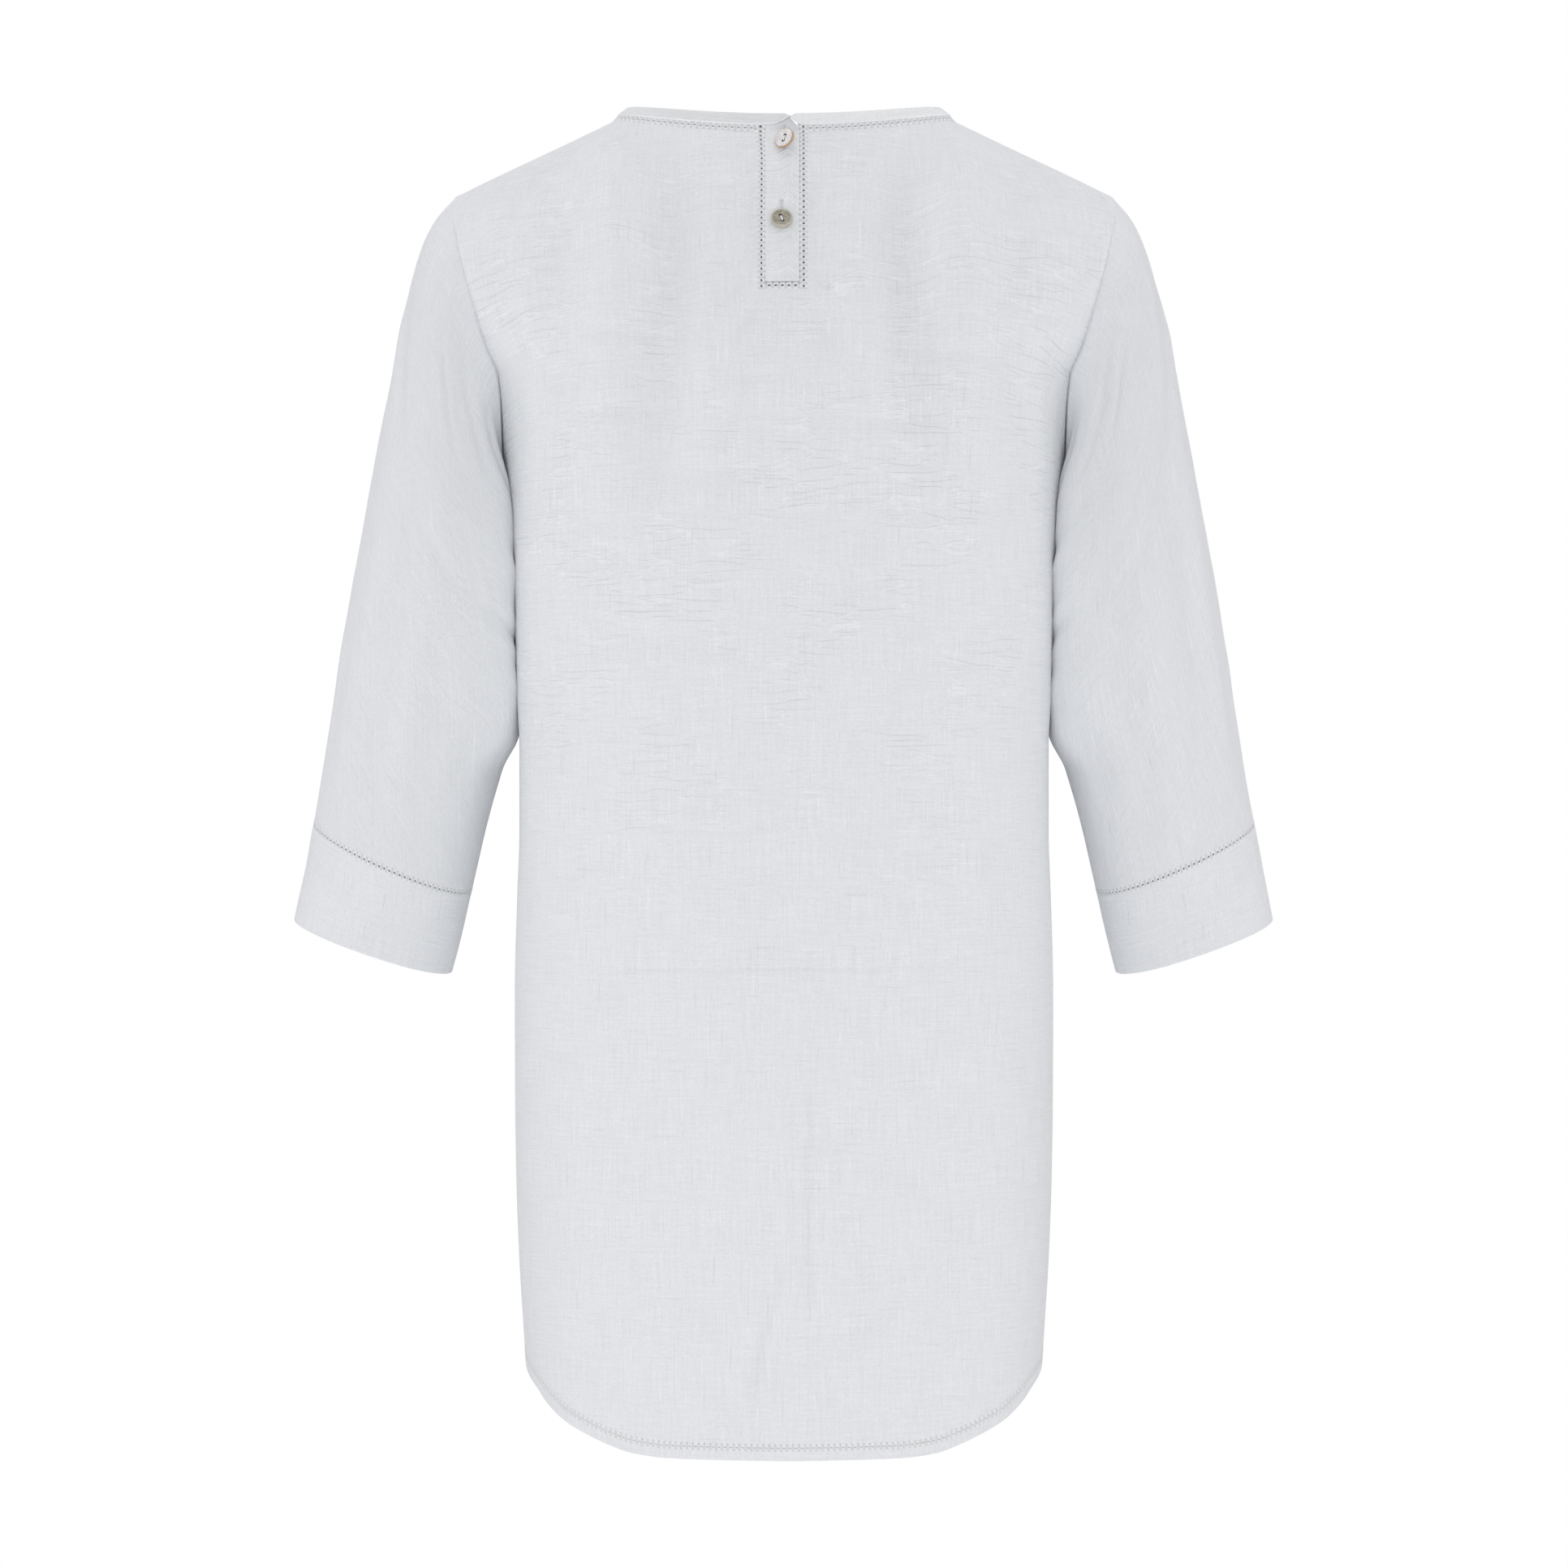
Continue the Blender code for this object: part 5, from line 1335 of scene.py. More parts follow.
class StitchWork(Effect):
    """Thread bound round the holes: painted shade in their pits and at the needle marks by the edges, and fine wraps.
    """

    title = "stitch work"
    inputs = (
        Port("Stitch", "NodeSocketVector"),
        # Depth sets how dark the needle marks are painted; Hole Shade sets how dark the painted shade in the hole pits
        # is.
        Port("Depth", "NodeSocketFloat", 0.25),
        Port("Hole Along", "NodeSocketFloat", 0.23),
        Port("Hole Across", "NodeSocketFloat", 0.31),
        Port("Hole Shade", "NodeSocketFloat", 0.7),
    )
    outputs = (Port("Shade", "NodeSocketFloat"), Port("Height", "NodeSocketFloat"))
    WRAPS = 11.0

    def wire(self, graph: Graph, given: dict, result: dict) -> None:
        """Adds the stitch work's nodes."""
        parts = graph.add("ShaderNodeSeparateXYZ")
        graph.put(parts.inputs[0], given["Stitch"])
        along, across = parts.outputs[0], parts.outputs[1]
        from_middle = graph.math("ABSOLUTE", graph.math("SUBTRACT", graph.math("FRACT", along), 0.5))
        to_bar = graph.math("SUBTRACT", 0.5, from_middle)
        off = graph.math("ABSOLUTE", graph.math("SUBTRACT", across, 0.5))
        to_edge = graph.math("SUBTRACT", off, 0.47)
        near = graph.math("SQRT", graph.math(
            "ADD",
            graph.math("POWER", graph.math("MULTIPLY", to_bar, 0.8), 2.0),
            graph.math("POWER", to_edge, 2.0),
        ))
        # Needle marks: sunk in the height, and darkened in the colour as painted shade.
        mark = graph.ranged(near, 0.05, 0.11, 1.0, 0.0)
        centred = graph.math("SUBTRACT", graph.math("FRACT", along), 0.5)
        lengthwise = graph.math("DIVIDE", centred, given["Hole Along"])
        crosswise = graph.math("DIVIDE", off, given["Hole Across"])
        from_hole = graph.math("SQRT", graph.math(
            "ADD", graph.math("POWER", lengthwise, 2.0), graph.math("POWER", crosswise, 2.0)
        ))
        # Painted shade over each hole's pit.
        hollow = graph.math("MULTIPLY", graph.ranged(from_hole, 0.72, 1.02, 1.0, 0.0), given["Hole Shade"])
        shade = graph.math("SUBTRACT", 1.0, graph.math("MULTIPLY", mark, given["Depth"]))
        result["Shade"] = graph.math("MULTIPLY", shade, graph.math("SUBTRACT", 1.0, hollow))
        wraps = graph.math("SINE", graph.math("MULTIPLY", across, 2 * math.pi * self.WRAPS))
        on_bar = graph.ranged(to_bar, 0.16, 0.30, 1.0, 0.0)
        ridge = graph.math("MULTIPLY", graph.math("MULTIPLY", wraps, on_bar), 0.5)
        result["Height"] = graph.math("SUBTRACT", ridge, mark)


class PearlShell(Effect):
    """Mother of pearl: cloudy bands across the face, a tint towards the rim, and painted shade in and round the thread
    holes.
    """

    title = "pearl shell"
    inputs = (
        Port("Face", "NodeSocketVector"),
        Port("Light", "NodeSocketColor", (0.8, 0.8, 0.8, 1.0)),
        Port("Dark", "NodeSocketColor", (0.4, 0.4, 0.4, 1.0)),
        Port("Rim", "NodeSocketColor", (0.6, 0.6, 0.6, 1.0)),
        Port("Rim Start", "NodeSocketFloat", 0.005),
        Port("Rim Share", "NodeSocketFloat", 0.5),
        Port("Hole Offset", "NodeSocketFloat", 0.0017),
        Port("Hole Radius", "NodeSocketFloat", 0.001),
    )
    outputs = (Port("Colour", "NodeSocketColor"), Port("Height", "NodeSocketFloat"))

    # Near-black painted shade for the thread holes' walls.
    HOLE_PAINTED_SHADE = (0.050, 0.036, 0.026, 1.0)

    def wire(self, graph: Graph, given: dict, result: dict) -> None:
        """Adds the shell's nodes."""
        face = given["Face"]
        turned = graph.add("ShaderNodeMapping")
        graph.put(turned.inputs["Vector"], face)
        turned.inputs["Rotation"].default_value = (0.0, 0.0, math.radians(38.0))
        turned.inputs["Scale"].default_value = (1.0, 3.2, 1.0)
        cloud = graph.noise(turned.outputs[0], 330.0, 3.0)
        fine = graph.noise(turned.outputs[0], 1500.0, 2.0)
        band = graph.ranged(graph.math("MULTIPLY_ADD", fine, 0.25, cloud), 0.45, 0.85, 0.0, 1.0)
        colour = graph.blend(band, given["Dark"], given["Light"])
        length = graph.add("ShaderNodeVectorMath", operation="LENGTH")
        graph.put(length.inputs[0], face)
        past = graph.math("SUBTRACT", length.outputs["Value"], given["Rim Start"])
        rim = graph.math("MULTIPLY", graph.ranged(past, 0.0, 0.0006, 0.0, 1.0), given["Rim Share"])
        tinted = graph.blend(rim, colour, given["Rim"])
        parts = graph.add("ShaderNodeSeparateXYZ")
        graph.put(parts.inputs[0], face)
        along = graph.math("SUBTRACT", graph.math("ABSOLUTE", parts.outputs[1]), given["Hole Offset"])
        spot = graph.add("ShaderNodeCombineXYZ")
        graph.put(spot.inputs[0], parts.outputs[0])
        graph.put(spot.inputs[1], along)
        away = graph.add("ShaderNodeVectorMath", operation="LENGTH")
        graph.put(away.inputs[0], spot.outputs[0])
        past = graph.math("SUBTRACT", away.outputs["Value"], given["Hole Radius"])
        # Painted shade on the thread holes' walls and in a thin ring round each.
        hole = graph.ranged(past, 0.00003, 0.00016, 0.92, 0.0)
        dark = graph.add("ShaderNodeRGB")
        dark.outputs[0].default_value = self.HOLE_PAINTED_SHADE
        result["Colour"] = graph.blend(hole, tinted, dark.outputs[0])
        result["Height"] = cloud


def new_material(name: str) -> tuple[bpy.types.Material, Graph, bpy.types.Node]:
    """Makes a dielectric material and gives it with its graph and its shader."""
    material = bpy.data.materials.new(name)
    material.use_nodes = True
    shader = material.node_tree.nodes["Principled BSDF"]
    shader.inputs["Metallic"].default_value = 0.0
    return material, Graph(material.node_tree), shader


def add_bump(graph: Graph, shader: bpy.types.Node, height, distance: float, strength: float) -> None:
    """Leads a height into a shader's normal."""
    bump = graph.add("ShaderNodeBump")
    bump.inputs["Distance"].default_value = distance
    bump.inputs["Strength"].default_value = strength
    graph.put(bump.inputs["Height"], height)
    graph.put(shader.inputs["Normal"], bump.outputs[0])


def surface_coords(graph: Graph, layer: str) -> bpy.types.NodeSocket:
    """Reads one of the mesh's coordinate layers."""
    return graph.add("ShaderNodeUVMap", uv_map=layer).outputs[0]


@dataclass(frozen=True)
class Linen:
    """Matte woven linen."""

    name: str = "white linen"
    colour: tuple[float, float, float] = (0.845, 0.860, 0.888)
    roughness: float = 0.92
    streaks: float = 0.134
    slubs: float = 0.075
    # Painted highlight: how much lighter the crinkle ridges are made.
    crinkles: float = 0.045

    def material(self) -> bpy.types.Material:
        """Makes the linen's material."""
        found = bpy.data.materials.get(self.name)
        if found:
            return found
        material, graph, shader = new_material(self.name)
        weave = LinenWeave().place(
            graph, Weave=surface_coords(graph, "Weave"), Colour=(*self.colour, 1.0),
            Streaks=self.streaks, Slubs=self.slubs, Crinkles=self.crinkles,
        )
        graph.put(shader.inputs["Base Color"], weave.outputs["Colour"])
        shader.inputs["Roughness"].default_value = self.roughness
        shader.inputs["Sheen Weight"].default_value = 0.06
        shader.inputs["Sheen Roughness"].default_value = 0.6
        add_bump(graph, shader, weave.outputs["Height"], 0.00034, 0.60)
        return material


# A lighter copy of the white linen for the neck band: painted light for its brighter lit look.
LIGHTER_PAINTED_LINEN = Linen("white linen painted lighter", colour=(0.890, 0.903, 0.922))


@dataclass(frozen=True)
class BoundThread:
    """Hemstitched linen, with its holes bound in white thread and painted shade in the hole pits."""

    name: str
    stitch: StitchSizes
    # How dark the painted shade in the hole pits is.
    hole_shade: float = 0.86
    colour: tuple[float, float, float] = (0.830, 0.842, 0.862)
    roughness: float = 0.85

    def material(self) -> bpy.types.Material:
        """Makes the stitch work's material."""
        found = bpy.data.materials.get(self.name)
        if found:
            return found
        material, graph, shader = new_material(self.name)
        weave = LinenWeave().place(
            graph, Weave=surface_coords(graph, "Weave"), Colour=(*self.colour, 1.0),
            Streaks=0.05, Slubs=0.02, Crinkles=0.0,
        )
        size = self.stitch
        stitch = StitchWork().place(
            graph, Stitch=surface_coords(graph, "Stitch"), Depth=0.45,
            Hole_Along=size.hole_along / size.pitch / 2, Hole_Across=size.hole_across / size.width / 2,
            Hole_Shade=self.hole_shade,
        )
        # The stitch work's painted shade of the hole pits and needle marks, multiplied into the colour.
        tone = graph.add("ShaderNodeCombineColor")
        for socket in tone.inputs:
            graph.put(socket, stitch.outputs["Shade"])
        shaded = graph.blend(1.0, weave.outputs["Colour"], tone.outputs[0], "MULTIPLY")
        graph.put(shader.inputs["Base Color"], shaded)
        shader.inputs["Roughness"].default_value = self.roughness
        shader.inputs["Sheen Weight"].default_value = 0.05
        height = graph.math("MULTIPLY_ADD", weave.outputs["Height"], 0.4, stitch.outputs["Height"])
        add_bump(graph, shader, height, 0.00030, 0.7)
        return material


@dataclass(frozen=True)
class Shell:
    """Polished shell with its own light, dark and rim colours."""

    name: str
    light: tuple[float, float, float]
    dark: tuple[float, float, float]
    rim: tuple[float, float, float]
    rim_start: float
    rim_share: float
    roughness: float = 0.22

    def material(self) -> bpy.types.Material:
        """Makes the shell's material."""
        material, graph, shader = new_material(self.name)
        pearl = PearlShell().place(
            graph, Face=surface_coords(graph, "Weave"), Light=(*self.light, 1.0),
            Dark=(*self.dark, 1.0), Rim=(*self.rim, 1.0), Rim_Start=self.rim_start,
            Rim_Share=self.rim_share, Hole_Offset=ShellButton.HOLE_SPACING / 2,
            Hole_Radius=ShellButton.HOLE_RADIUS,
        )
        graph.put(shader.inputs["Base Color"], pearl.outputs["Colour"])
        shader.inputs["Roughness"].default_value = self.roughness
        shader.inputs["Coat Weight"].default_value = 0.5
        shader.inputs["Coat Roughness"].default_value = 0.08
        add_bump(graph, shader, pearl.outputs["Height"], 0.00012, 0.35)
        return material


DARK_SHELL = Shell(
    "smoky shell", light=(0.46, 0.43, 0.35), dark=(0.24, 0.22, 0.165), rim=(0.58, 0.55, 0.47),
    rim_start=0.0050, rim_share=0.7,
)
LIGHT_SHELL = Shell(
    "pale shell", light=(0.92, 0.92, 0.93), dark=(0.66, 0.63, 0.65), rim=(0.46, 0.27, 0.11),
    rim_start=0.0055, rim_share=0.90,
)


def settle(item: bpy.types.Object, slot: Slot, *nodes: str) -> bpy.types.Object:
    """Lets a piece ride on the garment and stand in for its solids.

    Args:
        item: The piece.
        slot: Its material slot; not used.
        nodes: The solids it replaces.

    Returns:
        The piece.
    """
    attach(item, ROOT)
    for node in nodes:
        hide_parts(node)
    mesh = item.data
    triangles = sum(len(face.vertices) - 2 for face in mesh.polygons)
    area = sum(face.area for face in mesh.polygons) / 2
    LOG.info("%s: %d triangles, %.4f square metres a side", item.name, triangles, area)
    return item


class BodyCloth:
    """The back and front panels with their hemstitched hems."""

    BACK_HALF_COLUMNS = (8, 12, 16, 44)
    FRONT_HALF_COLUMNS = (6, 8, 12, 36)
    EDGES = (0.0, 0.062, 0.150, 0.300, 1.0)
    LOWER_ROWS = ((0.0, 0.46, 68), (0.46, 0.56, 42), (0.56, 1.0, 66))
    HEM_COLUMNS = 241
    OVER_SLEEVE = 0.0010
    EDGE_LIFT = 0.00075
    TUCK_IN = 0.00025
    INSIDE = np.array([0.0, 0.0, -0.75])
    CORNER_ROUNDS = 140

    def __init__(self, form: BodyForm, linen: Linen, thread: BoundThread, stitch: StitchSizes) -> None:
        """Keeps the form and the finishes.

        Args:
            form: The body's form.
            linen: The panels' finish.
            thread: The stitch work's finish.
            stitch: The hem's stitch sizes.
        """
        self.form = form
        self.linen = linen
        self.thread = thread
        self.stitch = stitch

    def columns(self, side: Side) -> np.ndarray:
        """Gives the panel's columns, closer together near the placket."""
        counts = self.BACK_HALF_COLUMNS if side is Side.BACK else self.FRONT_HALF_COLUMNS
        half = [np.linspace(a, b, n, endpoint=False) for a, b, n in zip(self.EDGES, self.EDGES[1:], counts)]
        half = np.concatenate(half + [np.array([1.0])])
        return np.concatenate([-half[:0:-1], half])

    def rows(self, side: Side) -> tuple[np.ndarray, np.ndarray]:
        """Gives the rows down to the underarm, and from there to the hem's trim."""
        form = self.form
        if side is Side.BACK:
            upper = np.concatenate([
                np.linspace(0.0, form.SLIT_DOWN, 50, endpoint=False),
                np.linspace(form.SLIT_DOWN, 1.0, 56),
            ])
            lower = [np.linspace(*part) for part in self.LOWER_ROWS]
            return upper, np.unique(np.round(np.concatenate(lower), 6))[1:]
        return np.linspace(0.0, 1.0, 90), np.linspace(0.0, 1.0, 120)[1:]

    def grid(self, side: Side) -> tuple[np.ndarray, np.ndarray, np.ndarray]:
        """Gives a panel's smooth grid with its columns and upper rows."""
        form = self.form
        shares = self.columns(side)
        downs, steps = self.rows(side)
        upper = form.upper(side, shares, downs)
        known = np.concatenate([-form.SHARES[:0:-1], form.SHARES])
        by_row = spline_weights(form.UPPER_ROWS, downs)
        by_column = spline_weights(known, shares)
        upper[..., 1] += by_row @ form.eased[side] @ by_column.T
        size = form.sizes
        self.even_corners(upper)
        foot = form.hem_line(side, shares, [size.hem_band_width + size.trim_width])[0][:, 2]
        heights = mix(size.underarm_z, foot[None, :], steps[:, None])
        lower = form.lower(side, shares, heights)[0]
        return np.concatenate([upper, lower]), shares, downs

    def even_corners(self, grid: np.ndarray) -> None:
        """Evens out the fine grid below the neck's side ends, where the form turns sharply."""
        x, y, z = grid[..., 0], grid[..., 1], grid[..., 2]
        offset = (np.abs(x) - self.form.sizes.neck_half) / 0.030
        weight = np.exp(-offset ** 2 - (z / 0.070) ** 2)
        weight[np.abs(x) < 0.030] = 0.0
        for _ in range(self.CORNER_ROUNDS):
            mean = (y[:-2, 1:-1] + y[2:, 1:-1] + y[1:-1, :-2] + y[1:-1, 2:]) / 4
            y[1:-1, 1:-1] = mix(y[1:-1, 1:-1], mean, weight[1:-1, 1:-1])

    def panel(self, side: Side) -> Sheet:
        """Makes one creased panel."""
        form, size = self.form, self.form.sizes
        grid, shares, downs = self.grid(side)
        middle = len(shares) // 2
        level_run = run_lengths(grid * np.array([1.0, 1.0, 0.0]), axis=1)
        u = level_run - level_run[:, middle:middle + 1]
        v = run_lengths(grid * np.array([0.0, 1.0, 1.0]), axis=0)
        v = v - v[len(downs) - 1]
        normals = grid_normals(grid) * side.value
        x, z = grid[..., 0], grid[..., 2]
        height = form.lift(side, x, z)
        edge_x = form.armhole[side](z)
        held = ease((z - size.underarm_z) / 0.020)
        near_edge = ease(1.0 - (edge_x - np.abs(x)) / 0.0055)
        below_tip = mix(0.3, 1.0, ease((size.shoulder_z - 0.010 - z) / 0.030))
        height = height + self.EDGE_LIFT * near_edge * held * below_tip
        grid = grid + normals * height[..., None]
        for edge, beside in ((0, 1), (-1, -2)):
            out = unit(grid[:, edge] - grid[:, beside])
            reach = mix(-self.TUCK_IN, self.OVER_SLEEVE, held[:, edge])
            grid[:, edge] += out * reach[:, None]
        on_shoulder = np.abs(x[0]) > size.neck_half
        down = unit(grid[1] - grid[0])
        grid[0] += down * self.TUCK_IN * on_shoulder[:, None]
        level = np.zeros(grid.shape[:2], bool)
        level[0] = on_shoulder
        for edge in (0, -1):
            level[:, edge] |= z[:, edge] <= size.underarm_z
        skip = np.zeros((grid.shape[0] - 1, grid.shape[1] - 1), bool)
        if side is Side.BACK:
            slit_rows = int(np.argmin(np.abs(downs - form.SLIT_DOWN)))
            inside = np.abs((shares[:-1] + shares[1:]) / 2) < form.SLIT_SHARE
            skip[:slit_rows, inside] = True
        return Sheet.from_grid(grid, grid_uv(u, v), skip=skip, level=level)

    def hem_rows(self, side: Side, distances: np.ndarray, out: float = 0.0) -> np.ndarray:
        """Gives rows along the hem at distances above its edge, creased like the panel."""
        shares = np.linspace(-1.0, 1.0, self.HEM_COLUMNS)
        grid = self.form.hem_line(side, shares, distances)
        normals = grid_normals(grid)
        facing = np.sign(np.sum(normals * (grid * np.array([1.0, 1.0, 0.0]))))
        height = self.form.lift(side, grid[..., 0], grid[..., 2]) + out
        grid = grid + normals * facing * height[..., None]
        for edge, beside in ((0, 1), (-1, -2)):
            grid[:, edge] += unit(grid[:, beside] - grid[:, edge]) * self.TUCK_IN
        return grid

    def ends(self, points: np.ndarray) -> np.ndarray:
        """Marks the points at the side seams."""
        return np.abs(points[..., 1]) < 0.0012

    def hem_trim(self, side: Side) -> MeshData:
        """Makes the hem's hemstitched trim."""
        size = self.form.sizes
        distances = size.hem_band_width + size.trim_width * (1.0 - Hemstitch.rows_across())
        sheet = Hemstitch(self.stitch, self.hem_rows(side, distances), self.INSIDE).sheet()
        sheet.level = self.ends(sheet.points)
        return sheet.shell(0.0006, rounds=3)

    def hem_band(self, side: Side) -> MeshData:
        """Makes the narrow folded band at the hem."""
        distances = np.linspace(self.form.sizes.hem_band_width + 0.0001, 0.0004, 6)
        grid = self.hem_rows(side, distances)
        uv = grid_uv(run_lengths(grid, axis=1), run_lengths(grid, axis=0) + 0.8)
        sheet = Sheet.from_grid(grid, uv, level=self.ends(grid))
        return sheet.faced_from(self.INSIDE).shell(0.0011, rounds=6)

    def build(self) -> dict[str, bpy.types.Object]:
        """Puts the panels and their hems into the scene, and gives them by name."""
        made = {}
        linen, thread = self.linen.material(), self.thread.material()
        for side, label in ((Side.BACK, "back"), (Side.FRONT, "front")):
            shell = self.panel(side).faced_from(np.array([0.0, 0.0, -0.3])).shell(0.0008)
            cloth = shell.to_object(label + "_cloth", linen)
            made[label] = settle(cloth, Slot.LINEN, label + "_panel")
            trim = self.hem_trim(side).to_object("hem_stitch_" + label, thread)
            made["trim_" + label] = settle(trim, Slot.HEMSTITCH, "hem_trim_" + label)
            band = self.hem_band(side).to_object("hem_fold_" + label, linen)
            made["band_" + label] = settle(band, Slot.LINEN, "hem_band_" + label)
        return made


class NeckCloth:
    """The hemstitched trim round the neck and the folded band above it."""

    STEP = 0.0011
    FOOT_OUT = 0.0006
    NOTCH_X = 0.0037
    NOTCH_HALF = 0.0030
    NOTCH_DEPTH = 0.0022
    END_OUT = 0.0011
    END_SPREAD = 0.011
    INSIDE = np.array([0.0, 0.0, -0.15])

    def __init__(self, form: BodyForm, linen: Linen, thread: BoundThread, stitch: StitchSizes) -> None:
        """Keeps the form and the finishes.

        Args:
            form: The body's form.
            linen: The band's finish.
            thread: The trim's finish.
            stitch: The trim's stitch sizes.
        """
        self.form = form
        self.linen = linen
        self.thread = thread
        self.stitch = stitch

    def loop(self, right_x: float, left_x: float) -> np.ndarray:
        """Gives neck edge points from right_x on the back, round the front, to left_x."""
        half = self.form.sizes.neck_half
        start, end = math.asin(right_x / half), math.asin(left_x / half)
        quarter = math.pi / 2
        right = np.arange(start, quarter, self.STEP / half)
        front = np.arange(quarter, -quarter, -self.STEP / half)
        left = np.append(np.arange(-quarter, end, self.STEP / half), end)
        parts = [(Side.BACK, right), (Side.FRONT, front), (Side.BACK, left)]
        return np.concatenate([self.form.neck_edge(s, half * np.sin(a)) for s, a in parts])

    def trim(self) -> MeshData:
        """Makes the pierced trim."""
        size = self.form.sizes
        slit_left = float(self.form.slit_edge_x(-1, np.array(size.back_neck_z)))
        points = self.loop(size.slit_right, slit_left)
        rows = [self.form.above_neck(points, np.full(len(points), size.trim_width * q))
                for q in Hemstitch.rows_across()]
        return Hemstitch(self.stitch, np.array(rows), self.INSIDE).sheet().shell(0.0006, rounds=3)

    def band(self) -> MeshData:
        """Makes the folded band, whose ends meet over the placket."""
        size = self.form.sizes
        points = self.loop(BAND_RIGHT_FEET[0].x, BAND_FEET[-1].x)
        on_back = points[:, 1] < 0
        x = points[:, 0]
        left = np.interp(x, [p.x for p in BAND_FEET], [p.above for p in BAND_FEET])
        right = np.interp(x, [p.x for p in BAND_RIGHT_FEET], [p.above for p in BAND_RIGHT_FEET])
        second_half = np.arange(len(points)) > len(points) // 2
        foot = np.where(on_back, np.where(second_half, left, right), size.trim_width)
        notch = self.NOTCH_DEPTH * np.clip(1.0 - np.abs(x - self.NOTCH_X) / self.NOTCH_HALF, 0.0, 1.0)
        top = size.trim_width + size.neck_band_width - np.where(on_back, notch, 0.0)
        near_slit = np.where(on_back, np.exp(-(x / self.END_SPREAD) ** 2), 0.0)
        out = (self.FOOT_OUT + self.END_OUT * near_slit)[:, None]
        rows = [self.form.above_neck(points, mix(foot, top, share), out * (1.0 - share))
                for share in np.linspace(1.0, 0.0, 8)]
        grid = np.array(rows)
        uv = grid_uv(run_lengths(grid, axis=1), run_lengths(grid, axis=0))
        return Sheet.from_grid(grid, uv).faced_from(self.INSIDE).shell(0.0011, rounds=6)

    def build(self) -> dict[str, bpy.types.Object]:
        """Puts the trim and the band into the scene."""
        trim = self.trim().to_object("neck_stitch", self.thread.material())
        band = self.band().to_object("neck_fold", self.linen.material())
        return {
            "trim": settle(trim, Slot.HEMSTITCH, "neck_trim"),
            "band": settle(band, Slot.LINEN, "neck_band"),
        }


